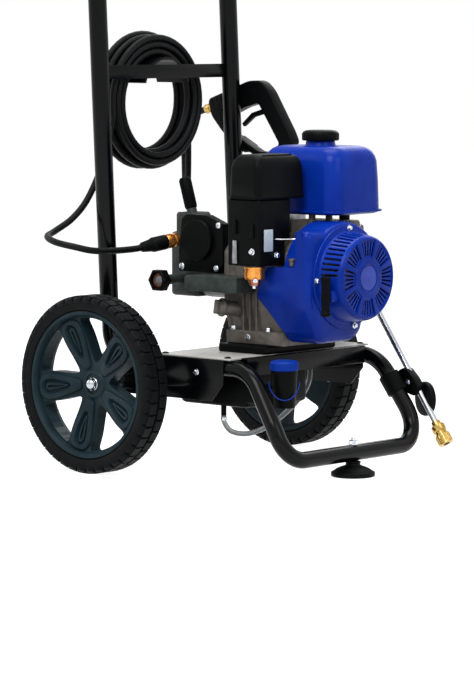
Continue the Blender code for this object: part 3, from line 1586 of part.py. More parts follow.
def build_carburettor():
    """The carburettor with its float bowl, the air cleaner above it, and the three control levers."""
    body = block(
        "body",
        (CARB_X - CARB_HALF_WIDTH, CARB_X + CARB_HALF_WIDTH),
        (CARB_AHEAD - CARB_HALF_LENGTH, CARB_AHEAD + CARB_HALF_LENGTH),
        (CARB_BOTTOM_Z, CARB_BOTTOM_Z + CARB_HEIGHT),
        0.002,
    )
    stub = rod(
        "stub",
        place(CARB_X + CARB_HALF_WIDTH - 0.005, CARB_AHEAD, CARB_STUB_Z),
        place(CARB_X + CARB_HALF_WIDTH + 0.0285 - GAP, CARB_AHEAD, CARB_STUB_Z),
        CARB_STUB_R,
        16,
    )
    piece("carburettor", unite(body, stub), CAST_GREY)

    top = CARB_BOTTOM_Z - GAP
    drop = BOWL_HEIGHT
    profile = [
        (0.0, 0.0),
        (0.0, BOWL_R),
        (drop - 0.002, BOWL_R),
        (drop, BOWL_R - 0.003),
        (drop + 0.001, BOWL_R - 0.007),
        (drop + 0.009, BOWL_R - 0.010),
        (drop + 0.010, BOWL_BOLT_R),
        (drop + 0.017, BOWL_BOLT_R),
        (drop + 0.017, 0.0),
    ]
    middle = place(CARB_X, CARB_AHEAD, top)
    bowl = turned("bowl", profile, middle, (0.0, 0.0, -1.0), 18)
    drain = rod(
        "drain",
        middle + Vector((-0.010, 0.010, -drop + 0.002)),
        middle + Vector((-0.019, 0.019, -drop - 0.004)),
        0.0035,
        10,
    )
    piece("float_bowl", unite(bowl, drain), ORANGE_BRASS)

    box = block(
        "box",
        (BOX_NEAR_X, BOX_FAR_X),
        (BOX_BACK, BOX_FRONT),
        (BOX_SKIRT_Z, BOX_SPLIT_Z),
        0.0025,
    )
    room = block(
        "room",
        (BOX_NEAR_X + BOX_WALL, BOX_FAR_X + 0.02),
        (BOX_BACK + BOX_WALL, BOX_FRONT - BOX_WALL),
        (BOX_SKIRT_Z - 0.02, CARB_BOTTOM_Z + CARB_HEIGHT + GAP),
    )
    step = block(
        "step",
        (-CASE_HALF_WIDTH - 0.002, BOX_FAR_X + 0.02),
        (BOX_BACK - 0.02, BOX_FRONT + 0.02),
        (BOX_SKIRT_Z - 0.02, CASE_TOP_Z + 0.002),
    )
    piece("air_cleaner_base", cut(box, room, step), BLACK_PLASTIC)
    sections = []
    for z, inset in (
        (BOX_SPLIT_TOP_Z, 0.0),
        (BOX_SPLIT_TOP_Z + 0.004, -0.0015),
        (BOX_TOP_Z - 0.020, 0.001),
        (BOX_TOP_Z - 0.004, 0.006),
        (BOX_TOP_Z, 0.012),
    ):
        outline = rounded_rectangle(
            (BOX_NEAR_X + AIR_COVER_FAR_X) / 2,
            (BOX_BACK + BOX_FRONT) / 2,
            AIR_COVER_FAR_X - BOX_NEAR_X - 2 * inset,
            BOX_FRONT - BOX_BACK - 2 * inset,
            0.012,
            3,
        )
        sections.append([place(x, ahead, z) for x, ahead in outline])
    piece("air_cleaner_cover", loft("cover", sections), BLACK_PLASTIC)

    outline = [(-0.004, -0.004), (0.004, -0.004), (0.004, 0.003), (0.003, 0.020), (-0.003, 0.020)]
    outline.append((-0.004, 0.003))
    near = (-1.0, 0.0, 0.0)
    lever(
        "choke_lever",
        place(BOX_NEAR_X - GAP, BOX_BACK + 0.018, BOX_SKIRT_Z + 0.058),
        near,
        outline,
        BLACK_PLASTIC,
    )
    lever(
        "fuel_lever",
        place(BOX_NEAR_X - GAP, BOX_FRONT - 0.014, BOX_SKIRT_Z + 0.052),
        near,
        outline,
        BLACK_PLASTIC,
    )
    throttle = [(-0.005, -0.005), (0.005, -0.005), (0.005, 0.004), (0.004, 0.034), (-0.004, 0.034)]
    throttle.append((-0.005, 0.004))
    lever(
        "throttle_lever",
        place(BOX_NEAR_X - GAP, BOX_BACK + 0.0185, BOX_SKIRT_Z + 0.009),
        near,
        throttle,
        STEEL,
    )

    oil_axis = direction_of(OIL_SLOPE)
    middle = place(*OIL_FOOT) + oil_axis * (OIL_BOSS_LENGTH + GAP)
    profile = [
        (-OIL_PLUG_LENGTH, 0.0),
        (-OIL_PLUG_LENGTH, OIL_PLUG_R),
        (0.0, OIL_PLUG_R),
        (0.0, OIL_CAP_R),
        (0.005, OIL_CAP_R),
        (0.006, OIL_CAP_R - 0.003),
        (OIL_CAP_LENGTH, OIL_CAP_R - 0.004),
        (OIL_CAP_LENGTH, 0.0),
    ]
    cap = turned("cap", profile, middle, oil_axis, 12)
    piece("oil_filler_cap", cap, CAST_GREY, middle)


# ---------------------------------------------------------------- pump
def knob_axis():
    """The regulator's axis: leaning back from upright."""
    return Vector((0.0, math.sin(KNOB_LEAN), math.cos(KNOB_LEAN)))




def build_pump():
    """The pump on the crankcase cover: body, head, near cover, regulator, inlet nut and outlet."""
    flange = block(
        "flange",
        (-PUMP_FLANGE_HALF, PUMP_FLANGE_HALF),
        (PUMP_FLANGE_BACK, PUMP_FRONT),
        (CRANK_Z - PUMP_FLANGE_HALF, CRANK_Z + PUMP_FLANGE_HALF),
        0.003,
    )
    body = rod(
        "body",
        place(0.0, PUMP_BODY_BACK, CRANK_Z),
        place(0.0, PUMP_FRONT - 0.002, CRANK_Z),
        PUMP_R,
        24,
    )
    ledge = extrusion(
        "ledge",
        [
            (LEDGE_BACK, LEDGE_BOTTOM_Z + 0.006),
            (LEDGE_BACK, LEDGE_TOP_Z - 0.004),
            (LEDGE_BACK + 0.004, LEDGE_TOP_Z),
            (LEDGE_FRONT, LEDGE_TOP_Z),
            (LEDGE_FRONT, LEDGE_BOTTOM_Z),
            (LEDGE_BACK + 0.010, LEDGE_BOTTOM_Z),
        ],
        "x",
        LEDGE_NEAR_X,
        -CASE_HALF_WIDTH - 0.004,
    )
    link = block(
        "link",
        (-CASE_HALF_WIDTH - 0.012, -0.030),
        (LEDGE_BACK + 0.002, PUMP_FRONT - 0.001),
        (LEDGE_BOTTOM_Z + 0.002, LEDGE_TOP_Z - 0.002),
    )
    bore = rod(
        "bore",
        place(0.0, PUMP_BODY_BACK + 0.018, CRANK_Z),
        place(0.0, PUMP_FRONT + 0.02, CRANK_Z),
        bore_radius(CRANK_R, 16),
        16,
    )
    piece("pump_body", cut(unite(flange, body, link, ledge), bore), CAST_GREY)

    head = block(
        "head",
        (-PUMP_HEAD_HALF_WIDTH, PUMP_HEAD_HALF_WIDTH),
        (HEAD_BACK, HEAD_FRONT),
        (PUMP_HEAD_BOTTOM_Z, PUMP_HEAD_TOP_Z),
        0.006,
        2,
    )
    valve = block(
        "valve",
        (KNOB_X - 0.017, KNOB_X + 0.034),
        (HEAD_BACK + 0.010, KNOB_AHEAD + 0.018),
        (PUMP_HEAD_TOP_Z - 0.010, KNOB_BLOCK_TOP_Z),
        0.004,
    )
    axis = knob_axis()
    knob_start = place(KNOB_X, KNOB_AHEAD, KNOB_BLOCK_TOP_Z + 0.006)
    collar = rod("collar", knob_start - axis * 0.016, knob_start, KNOB_R - 0.002, 16)
    inlet_end = -PUMP_HEAD_HALF_WIDTH - INLET_LENGTH
    lip = inlet_end + 0.005
    profile = [
        (-0.020, INLET_R),
        (INLET_LENGTH - 0.005, INLET_R),
        (INLET_LENGTH - 0.005, INLET_COLLAR_R),
        (INLET_LENGTH, INLET_COLLAR_R),
        (INLET_LENGTH, 0.006),
        (INLET_LENGTH - 0.030, 0.006),
        (INLET_LENGTH - 0.030, 0.0),
    ]
    inlet = turned(
        "inlet",
        [(-0.020, 0.0), *profile],
        place(-PUMP_HEAD_HALF_WIDTH, INLET_AHEAD, INLET_Z),
        (-1.0, 0.0, 0.0),
        16,
    )
    direction = direction_of(OUTLET_SLOPE)
    start = place(*OUTLET_START)
    boss = rod("boss", start - direction * 0.012, start + direction * OUTLET_BOSS, OUTLET_R - 0.002, 16)
    piece("pump_head", unite(head, valve, collar, inlet, boss), CAST_GREY)

    inner = INLET_LENGTH - 0.005 - GAP
    neck = bore_radius(INLET_R, 16)
    socket = bore_radius(INLET_COLLAR_R, 16)
    nut_start = inner - 0.008
    nut_end = nut_start + INLET_NUT_LENGTH
    middle = place(-PUMP_HEAD_HALF_WIDTH, INLET_AHEAD, INLET_Z)
    outside = [(nut_start, 0.0), (nut_start, INLET_NUT_R - 0.003), (nut_start + 0.003, INLET_NUT_R)]
    outside += [(nut_end - 0.002, INLET_NUT_R), (nut_end, INLET_NUT_R - 0.002), (nut_end, 0.0)]
    nut = turned("nut", outside, middle, (-1.0, 0.0, 0.0), 6)
    hole = [(nut_start - 0.005, 0.0), (nut_start - 0.005, neck), (inner, neck), (inner, socket)]
    hole += [(nut_end + 0.005, socket), (nut_end + 0.005, 0.0)]
    nut = cut(nut, turned("hole", hole, middle, (-1.0, 0.0, 0.0), 16))
    piece("inlet_nut", nut, BLACK_PLASTIC, place(lip, INLET_AHEAD, INLET_Z))

    begin = start + direction * (OUTLET_BOSS + GAP)
    profile = [
        (0.0, 0.0),
        (0.0, OUTLET_R - 0.001),
        (OUTLET_LENGTH * 0.35, OUTLET_R - 0.001),
        (OUTLET_LENGTH * 0.36, OUTLET_R - 0.003),
        (OUTLET_LENGTH * 0.44, OUTLET_R - 0.003),
        (OUTLET_LENGTH * 0.45, OUTLET_R),
        (OUTLET_LENGTH, OUTLET_R),
        (OUTLET_LENGTH, 0.0),
    ]
    piece("outlet_fitting", turned("outlet", profile, begin, direction, 16), ORANGE_BRASS)

    knob_start = knob_start + axis * GAP
    profile = [
        (0.0, 0.0),
        (0.0, KNOB_R - 0.001),
        (0.002, KNOB_R),
        (KNOB_LENGTH - 0.003, KNOB_R),
        (KNOB_LENGTH, KNOB_R - 0.003),
        (KNOB_LENGTH, 0.0),
    ]
    knob = turned("knob", profile, knob_start, axis, 16)
    piece("regulator_knob", knob, BLACK_PLASTIC, knob_start)

    inner_x = -PUMP_FLANGE_HALF - GAP
    outline = [
        (0.036, 0.340),
        (0.036, 0.372),
        (0.042, 0.428),
        (0.052, 0.436),
        (0.100, 0.436),
        (COVER_BACK - GAP, 0.422),
        (COVER_BACK - GAP, 0.352),
        (0.124, 0.3375),
        (0.040, 0.3375),
    ]
    centre_ahead = sum(ahead for ahead, _ in outline) / len(outline)
    centre_z = sum(z for _, z in outline) / len(outline)
    inset = 1 - 2 * COVER_WALL / (0.436 - 0.3375)
    inside = [
        (centre_ahead + (ahead - centre_ahead) * inset, centre_z + (z - centre_z) * inset)
        for ahead, z in outline
    ]
    shell = extrusion("shell", outline, "x", COVER_NEAR_X, inner_x)
    boss = rod(
        "boss",
        place(COVER_NEAR_X + 0.004, COVER_BOSS_AHEAD, COVER_BOSS_Z),
        place(COVER_NEAR_X - COVER_BOSS_HEIGHT, COVER_BOSS_AHEAD, COVER_BOSS_Z),
        COVER_BOSS_R,
        24,
    )
    room = extrusion("room", inside, "x", COVER_NEAR_X + COVER_WALL, inner_x + 0.01)
    piece("pump_cover", cut(unite(shell, boss), room), BLACK_PLASTIC)


# ---------------------------------------------------------------- hose
def coil_path():
    """The coil's centre line: flat spirals in and out, climbing a layer where the spiral reverses."""
    turns = COIL_LAYERS * TURNS_PER_LAYER
    path = []
    total = (turns + 0.5) * COIL_STEPS
    for step in range(int(total) + 1):
        turn = step / COIL_STEPS
        layer = min(int(turn / TURNS_PER_LAYER), COIL_LAYERS - 1)
        into = turn - layer * TURNS_PER_LAYER
        share = into if layer % 2 == 0 else TURNS_PER_LAYER - into
        radius = COIL_OUTER_R - COIL_PITCH * share
        nearest = round(turn / TURNS_PER_LAYER)
        off = turn - nearest * TURNS_PER_LAYER
        depth = layer
        if 0 < nearest < COIL_LAYERS and abs(off) < 0.25:
            depth = nearest - 0.5 + off / 0.5
        angle = math.pi - 2 * math.pi * turn
        path.append(
            place(
                radius * math.cos(angle),
                -COIL_BACK - depth * COIL_PITCH,
                COIL_Z + radius * math.sin(angle),
            )
        )
    return path


def least_gap(path, radius):
    """The least distance between two stretches of the tube more than half a turn apart along it."""
    least = math.inf
    apart = COIL_STEPS // 2
    for first in range(len(path)):
        for second in range(first + apart, len(path)):
            least = min(least, (path[first] - path[second]).length)
    return least - 2 * radius


def build_hose():
    """The high pressure hose: boot, run to the coil on the hook, the coil, and the run to the gun."""
    direction = direction_of(OUTLET_SLOPE)
    begin = place(*OUTLET_START) + direction * (OUTLET_BOSS + OUTLET_LENGTH + 2 * GAP)
    profile = [
        (0.0, 0.0),
        (0.0, BOOT_R),
        (BOOT_LENGTH * 0.55, BOOT_R),
        (BOOT_LENGTH * 0.62, BOOT_R - 0.0025),
        (BOOT_LENGTH, HOSE_R + 0.0022),
        (BOOT_LENGTH, 0.0),
    ]
    piece("hose_boot", turned("boot", profile, begin, direction, 12), RUBBER)

    coil = coil_path()
    gap = least_gap(coil, HOSE_R)
    print(f"least gap between the coil's turns: {gap * 1000:.2f} mm")
    up = Vector((0.0, 0.0, 1.0))
    straight = 2 * HOSE_R
    coil_start = [coil[0] - up * straight, *coil, coil[-1] - up * straight]
    piece("hose_coil", tube("coil", coil_start, HOSE_R, 1), RUBBER)

    start = begin + direction * (BOOT_LENGTH + GAP)
    end = coil[0] - up * (straight + GAP)
    route = [
        start,
        start + direction * straight,
        place(-0.180, -0.0160, 0.3755),
    ]
    for step in range(5):
        angle = math.radians(-90 + 45 * step)
        route.append(
            place(
                LOOP_X - HOSE_BEND * math.cos(angle),
                -LOOP_BACK - HOSE_BEND * math.sin(angle),
                LOOP_Z + LOOP_RISE * step / 4,
            )
        )
    route += [
        place(-0.196, -0.1055, 0.4290),
        place(-0.160, -0.1020, 0.4640),
        end + Vector((-0.012, 0.009, -0.085)),
        end - up * straight,
        end,
    ]
    run = tube("run", smooth_path(route, 3.6 * HOSE_R), HOSE_R, 2)
    piece("pressure_hose_lower", run, RUBBER)

    start = coil[-1] - up * (straight + GAP)
    inlet_end = gun_point(*GUN_GRIP_END) + GRIP_ALONG * (GUN_INLET_LENGTH + GAP)
    route = [
        start,
        start - up * straight,
        start - up * GUN_LOOP_DROP / 2,
    ]
    rise = inlet_end + Vector((0.0, HOSE_BEND + 0.008, 0.0))
    bottom = start.z - GUN_LOOP_DROP
    middle = Vector(((start.x + rise.x) / 2, (start.y + rise.y) / 2, bottom))
    reach = Vector((rise.x - middle.x, rise.y - middle.y, 0.0))
    for step in range(5):
        angle = math.radians(180 - 45 * step)
        route.append(middle + reach * math.cos(angle) - up * reach.length * math.sin(angle))
    route += [
        rise - up * HOSE_BEND * 1.3,
        inlet_end + GRIP_ALONG * HOSE_BEND * 0.85 - up * HOSE_BEND * 0.12,
        inlet_end + GRIP_ALONG * straight,
        inlet_end,
    ]
    run = tube("run", smooth_path(route, 3.6 * HOSE_R), HOSE_R, 2)
    piece("pressure_hose_upper", run, RUBBER)


def build_hook():
    """The hose hook: a bar between the handle posts with a half drum and an upturned lip behind it."""
    back = post_back(HOOK_Z)
    half = FRAME_HALF_WIDTH - HANDLE_TUBE_R - GAP
    bar = block(
        "bar",
        (-half, half),
        (-back - HOOK_BAR_THICKNESS / 2, -back + HOOK_BAR_THICKNESS / 2),
        (HOOK_Z - HOOK_BAR_HEIGHT / 2, HOOK_Z + HOOK_BAR_HEIGHT / 2),
    )
    end = back + HOOK_DRUM_LENGTH
    def half_ring(name, inner, outer, begin, finish_at):
        steps = 9
        low, high = math.radians(15), math.radians(165)
        outline = []
        for radius, order in ((outer, range(steps + 1)), (inner, range(steps, -1, -1))):
            for step in order:
                angle = low + (high - low) * step / steps
                outline.append((radius * math.cos(angle), HOOK_DRUM_Z + radius * math.sin(angle)))
        return extrusion(name, outline, "ahead", -finish_at, -begin)

    inner = HOOK_DRUM_R - HOOK_DRUM_WALL
    drum = half_ring("drum", inner, HOOK_DRUM_R, back - 0.001, end)
    lip = half_ring("lip", inner - 0.0005, HOOK_DRUM_R + HOOK_LIP, end - 0.003, end + 0.0005)
    piece("hose_hook", unite(bar, drum, lip), BLACK_GLOSS)


# ---------------------------------------------------------------- lance and gun
GUN_GRIP_END = (0.1645, 0.1190)  # the middle of the grip's end, in the gun's own (along, off) plane
GRIP_ALONG = (LANCE_UP * 0.34 + LANCE_OFF * 0.94).normalized()


def lance_point(along, off=0.0, across=0.0):
    """A point on the lance's line, this far up it, off it towards the grip, and across."""
    foot = place(LANCE_X, LANCE_FOOT_AHEAD, LANCE_FOOT_Z)
    return foot + LANCE_UP * along + LANCE_OFF * off + Vector((across, 0.0, 0.0))


def gun_start():
    return COUPLER_LENGTH - COUPLER_SEAT + GAP + LANCE_LENGTH + GAP


def gun_point(along, off, across=0.0):
    """A point of the gun, along the lance from its nose and off towards its grip."""
    return lance_point(gun_start() + along, off, across)


def gun_extrusion(name, outline, half_width):
    return loft(
        name,
        [[gun_point(u, v, side * half_width) for u, v in outline] for side in (-1, 1)],
    )


def build_lance():
    """The lance with its nozzle coupler, the gun with its trigger and lock, and what holds them."""
    seat = COUPLER_LENGTH - COUPLER_SEAT
    profile = [
        (-COUPLER_SEAT + 0.012, 0.0),
        (-COUPLER_SEAT + 0.012, COUPLER_BORE_R),
        (-COUPLER_SEAT, COUPLER_BORE_R),
        (-COUPLER_SEAT, COUPLER_R),
        (0.006, COUPLER_R),
        (0.007, COUPLER_R - 0.003),
        (0.012, COUPLER_R - 0.003),
        (0.013, COUPLER_R - 0.001),
        (0.024, COUPLER_R - 0.001),
        (0.025, COUPLER_R - 0.005),
        (seat, COUPLER_R - 0.005),
        (seat, 0.0),
    ]
    coupler = turned("coupler", profile, lance_point(0.0), LANCE_UP, 12)
    piece("nozzle_coupler", coupler, BRASS)

    lance = rod(
        "lance",
        lance_point(seat + GAP),
        lance_point(seat + GAP + LANCE_LENGTH),
        LANCE_R,
        12,
    )
    piece("lance_tube", lance, CHROME)

    outline = [
        (0.000, -0.010),
        (0.020, -0.014),
        (0.112, -0.017),
        (0.136, -0.010),
        (0.152, 0.014),
        (0.164, 0.060),
        (0.179, 0.114),
        (0.150, 0.124),
        GUARD_BOTTOM[1],
        GUARD_BOTTOM[0],
        (0.008, 0.052),
        (0.000, 0.012),
    ]
    gap = [
        (0.018, 0.018),
        (0.106, 0.018),
        (0.118, 0.050),
        (0.129, 0.104),
        (0.108, 0.106),
        (0.034, 0.066),
        (0.019, 0.046),
    ]
    body = gun_extrusion("gun", outline, GUN_HALF_WIDTH)
    inlet = rod(
        "inlet",
        gun_point(*GUN_GRIP_END) - GRIP_ALONG * 0.010,
        gun_point(*GUN_GRIP_END) + GRIP_ALONG * GUN_INLET_LENGTH,
        GUN_INLET_R,
        12,
    )
    window = gun_extrusion("window", gap, GUN_HALF_WIDTH + 0.01)
    pivot_u, pivot_v = TRIGGER_PIVOT
    eye = TRIGGER_EYE_R + 0.0012
    slot = gun_extrusion(
        "slot",
        [
            (pivot_u - eye, pivot_v - eye),
            (pivot_u + eye + 0.003, pivot_v - eye),
            (pivot_u + eye + 0.003, 0.020),
            (pivot_u - eye, 0.020),
        ],
        TRIGGER_HALF_WIDTH + GAP,
    )
    piece("gun_body", cut(unite(body, inlet), window, slot), BLACK_PLASTIC)

    radius = TRIGGER_EYE_R
    outline = []
    for step in range(7):
        angle = math.radians(180 + 30 * step)
        outline.append((pivot_u + radius * math.cos(angle), pivot_v + radius * math.sin(angle)))
    outline += [
        (pivot_u + radius, pivot_v + 0.010),
        (pivot_u + 0.013, pivot_v + 0.034),
        (pivot_u + 0.010, pivot_v + 0.064),
        (pivot_u + 0.003, pivot_v + 0.064),
        (pivot_u + 0.004, pivot_v + 0.034),
        (pivot_u - radius, pivot_v + 0.010),
    ]
    trigger = gun_extrusion("trigger", outline, TRIGGER_HALF_WIDTH)
    piece("trigger", trigger, BLACK_PLASTIC, gun_point(pivot_u, pivot_v))

    (tip_u, tip_v), (root_u, root_v) = LOCK_BACK
    outline = [
        (tip_u - 0.0005, tip_v),
        (root_u - 0.0013, root_v - 0.004),
        (root_u - 0.0036, root_v + 0.0002),
        (root_u - 0.0070, root_v + 0.001),
        (tip_u - 0.0040, tip_v),
    ]
    lock = gun_extrusion("lock", outline, LOCK_HALF_WIDTH)
    piece("trigger_lock", lock, BLACK_PLASTIC, gun_point(root_u - 0.0045, root_v - 0.003))

    build_lance_holders()


def build_lance_holders():
    """The clip on the frame's left upright that the lance snaps into, and the gun's rest on the post."""
    middle = lance_point(CLIP_UP)
    ahead = AXLE_Y - middle.y
    half = CLIP_LENGTH / 2
    outer = block(
        "clip",
        (PANEL_INNER_X, LANCE_X + LANCE_R + 0.006),
        (ahead - 0.012, ahead + 0.012),
        (middle.z - half, middle.z + half),
        0.003,
    )
    plate_x = (PANEL_INNER_X, PANEL_INNER_X + 0.0045)
    plate = block("plate", plate_x, (ahead - 0.046, ahead), (middle.z - 0.013, middle.z + 0.013))
    disc = rod(
        "disc",
        place(plate_x[0], ahead + 0.010, middle.z - 0.007),
        place(plate_x[1], ahead + 0.010, middle.z - 0.007),
        0.0265,
        18,
    )
    outer = unite(outer, plate, disc)
    bore = rod(
        "bore",
        lance_point(CLIP_UP - 0.05),
        lance_point(CLIP_UP + 0.05),
        bore_radius(LANCE_R, 12),
        12,
    )
    piece("lance_clip", cut(outer, bore), BLACK_PLASTIC)

    begin_u, begin_v = GUARD_BOTTOM[0]
    end_u, end_v = GUARD_BOTTOM[1]
    length = math.hypot(end_u - begin_u, end_v - begin_v)
    along_u, along_v = (end_u - begin_u) / length, (end_v - begin_v) / length

    def guard_point(along, out, x):
        """A point this far along the guard's underside and out from it."""
        u = begin_u + along_u * along - along_v * out
        v = begin_v + along_v * along + along_u * out
        return gun_point(u, v, x - LANCE_X)

    def slab(name, along, out, across):
        corners = [(along[0], out[0]), (along[1], out[0]), (along[1], out[1]), (along[0], out[1])]
        return loft(name, [[guard_point(u, v, x) for u, v in corners] for x in across])

    post_x = FRAME_HALF_WIDTH + HANDLE_TUBE_R + GAP
    lip_x = LANCE_X + GUN_HALF_WIDTH + 0.0015
    shelf = slab("shelf", (0.030, 0.066), (GAP, 0.0045), (post_x, lip_x + 0.003))
    lip = slab("lip", (0.030, 0.066), (-0.010, 0.004), (lip_x, lip_x + 0.003))
    plate = slab("plate", (0.036, 0.060), (0.001, 0.040), (post_x, post_x + 0.003))
    piece("gun_holder", unite(shelf, lip, plate), BLACK_PLASTIC)


# ---------------------------------------------------------------- the whole machine
def main():
    for obj in list(bpy.data.objects):
        bpy.data.objects.remove(obj, do_unlink=True)
    for side, word in ((-1, "right"), (1, "left")):
        build_wheel(side, word)
    build_axle()
    build_frame()
    build_handle()
    build_deck()
    build_foot()
    build_detergent()
    build_crankcase()
    build_blower()
    build_fuel()
    build_cylinder()
    build_carburettor()
    build_pump()
    build_hook()
    build_lance()
    build_hose()


main()
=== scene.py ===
"""The looks of a petrol pressure washer: trolley, engine, pump, hose, lance and gun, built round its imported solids.

Places are given as (across, ahead, up) in metres: across to the machine's left, ahead of the wheel axle and
above the ground. place() turns them into the frame's own coordinates, where the front faces -Y.
"""

import logging
import math
from collections.abc import Callable, Sequence
from dataclasses import dataclass, field
from enum import Enum

import bmesh
import bpy
from mathutils import Matrix, Vector


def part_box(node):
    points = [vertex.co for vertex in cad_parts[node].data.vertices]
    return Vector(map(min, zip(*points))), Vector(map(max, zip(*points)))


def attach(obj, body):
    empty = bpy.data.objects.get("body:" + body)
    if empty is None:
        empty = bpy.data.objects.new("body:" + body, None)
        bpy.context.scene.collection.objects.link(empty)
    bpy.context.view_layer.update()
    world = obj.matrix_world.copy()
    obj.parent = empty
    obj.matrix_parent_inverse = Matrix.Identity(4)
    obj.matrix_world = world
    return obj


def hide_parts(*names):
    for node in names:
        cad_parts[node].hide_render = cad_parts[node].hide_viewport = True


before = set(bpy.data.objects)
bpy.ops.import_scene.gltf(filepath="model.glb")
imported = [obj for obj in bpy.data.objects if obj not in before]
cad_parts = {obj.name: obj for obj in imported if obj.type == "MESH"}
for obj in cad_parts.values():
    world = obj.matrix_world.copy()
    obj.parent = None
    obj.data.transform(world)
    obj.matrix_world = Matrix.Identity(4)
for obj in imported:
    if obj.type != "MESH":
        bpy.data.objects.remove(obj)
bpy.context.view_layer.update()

LOG = logging.getLogger("pressure_washer")
Point2 = tuple[float, float]
Point3 = tuple[float, float, float]
Piece = bpy.types.Object

AXLE_Y = sum(corner[1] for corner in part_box("axle")) / 2
GAP = 0.0003  # clearance between the solids
CRANK_Z = 0.338  # the crankshaft's height
UP = Vector((0.0, 0.0, 1.0))
FRONT = Vector((0.0, -1.0, 0.0))
NEAR = Vector((-1.0, 0.0, 0.0))
LEFT = Vector((1.0, 0.0, 0.0))
OUTLET_FOOT = (-0.038, -0.003, 0.389)  # the pump's outlet, as (across, ahead, up)
OUTLET_SLOPE = (-1.0, -0.11, -0.13)  # the way that it points


def place(across: float, ahead: float, up: float) -> Vector:
    """The frame's point that lies this far to the machine's left, ahead of the wheel axle and above the ground."""
    return Vector((across, AXLE_Y - ahead, up))


def heading(slope: Point3) -> Vector:
    """The frame's unit vector along an (across, ahead, up) slope."""
    across, ahead, up = slope
    return Vector((across, -ahead, up)).normalized()


def mm(*numbers: float) -> list[Point2]:
    """Pairs in metres, from numbers in millimetres that are given one after the other."""
    metres = [number / 1000 for number in numbers]
    return list(zip(metres[::2], metres[1::2]))


def shifted(pairs: Sequence[Point2], first: float, second: float = 0.0) -> list[Point2]:
    """The pairs with these amounts added to their first and second numbers."""
    return [(u + first, v + second) for u, v in pairs]


# ---------------------------------------------------------------- mesh making
def linked(name: str, data: bpy.types.ID) -> Piece:
    """A new object in the scene, at the origin, that shows the data."""
    piece = bpy.data.objects.new(name, data)
    bpy.context.scene.collection.objects.link(piece)
    return piece


def mesh_piece(name: str, bm: bmesh.types.BMesh, outwards: bool = True) -> Piece:
    """An object made from a finished bmesh.

    Args:
        name: the object's name.
        bm: the mesh data, freed here.
        outwards: whether its faces are turned outwards.

    Returns:
        The new object.
    """
    if outwards:
        bmesh.ops.recalc_face_normals(bm, faces=bm.faces)
    mesh = bpy.data.meshes.new(name)
    bm.to_mesh(mesh)
    bm.free()
    return linked(name, mesh)


def skin(name: str, sections: Sequence[Sequence[Vector]], loop: bool = False) -> Piece:
    """A closed skin over sections that have as many points each.

    Args:
        name: the object's name.
        sections: rings of points, in order.
        loop: whether the last section joins the first instead of being capped.

    Returns:
        The new object.
    """
    bm = bmesh.new()
    rings = [[bm.verts.new(point) for point in section] for section in sections]
    pairs = list(zip(rings, rings[1:]))
    if loop:
        pairs.append((rings[-1], rings[0]))
    for first, second in pairs:
        for step in range(len(first)):
            after = (step + 1) % len(first)
            bm.faces.new((first[step], first[after], second[after], second[step]))
    if not loop:
        bm.faces.new(rings[0])
        bm.faces.new(rings[-1])
    return mesh_piece(name, bm)


def prism(name: str, outline: Sequence[Point2], axis: str, low: float, high: float) -> Piece:
    """An outline drawn out along one axis.

    Args:
        name: the object's name.
        outline: points that leave the axis out of (across, ahead, up).
        axis: "across", "ahead" or "up".
        low: where the prism begins along the axis.
        high: where it ends.

    Returns:
        The new object.
    """
    builders: dict[str, Callable[[float, float, float], Vector]] = {
        "across": lambda u, v, w: place(w, u, v),
        "ahead": lambda u, v, w: place(u, w, v),
        "up": lambda u, v, w: place(u, v, w),
    }
    build = builders[axis]
    return skin(name, [[build(u, v, end) for u, v in outline] for end in (low, high)])


def block(name: str, across: Point2, ahead: Point2, up: Point2) -> Piece:
    """A box between its two sides, its back and front, and its bottom and top."""
    outline = [(across[0], ahead[0]), (across[1], ahead[0]), (across[1], ahead[1]), (across[0], ahead[1])]
    return prism(name, outline, "up", up[0], up[1])


def axes_of(axis: Vector) -> tuple[Vector, Vector, Vector]:
    """The unit axis and two directions square to it.

    Args:
        axis: any direction.

    Returns:
        The axis and the two directions, all of unit length.
    """
    axis = axis.normalized()
    side = axis.cross(UP)
    if side.length < 0.5:
        side = Vector((1.0, 0.0, 0.0)) - axis * axis.x
    side.normalize()
    return axis, side, axis.cross(side)


def circle(middle: Vector, side: Vector, other: Vector, radius: float, sides: int) -> list[Vector]:
    """Points round a middle, in the plane of two unit vectors square to each other."""
    angles = [2 * math.pi * step / sides for step in range(sides)]
    return [middle + (side * math.cos(angle) + other * math.sin(angle)) * radius for angle in angles]


def turned(
    name: str,
    profile: Sequence[Point2],
    start: Vector,
    axis: Vector,
    sides: int = 72,
    loop: bool = False,
) -> Piece:
    """A profile turned round an axis, as on a lathe.

    Args:
        name: the object's name.
        profile: (along, radius) points. Unless it is a loop, it begins and ends on the axis.
        start: the point of the axis that along counts from.
        axis: the axis.
        sides: faces round the axis.
        loop: whether the profile is a closed ring off the axis.

    Returns:
        The new object.
    """
    axis, side, other = axes_of(axis)
    bm = bmesh.new()
    rings: list[list[bmesh.types.BMVert]] = []
    for along, radius in profile:
        middle = start + axis * along
        points = [middle] if radius < 1e-7 else circle(middle, side, other, radius, sides)
        rings.append([bm.verts.new(point) for point in points])
    pairs = list(zip(rings, rings[1:]))
    if loop:
        pairs.append((rings[-1], rings[0]))
    for first, second in pairs:
        for step in range(sides):
            after = (step + 1) % sides
            if len(first) == 1 and len(second) == 1:
                continue
            if len(first) == 1:
                bm.faces.new((first[0], second[after], second[step]))
            elif len(second) == 1:
                bm.faces.new((first[step], first[after], second[0]))
            else:
                bm.faces.new((first[step], first[after], second[after], second[step]))
    if not loop:
        for ring in (rings[0], rings[-1]):
            if len(ring) > 1:
                bm.faces.new(ring)
    return mesh_piece(name, bm)


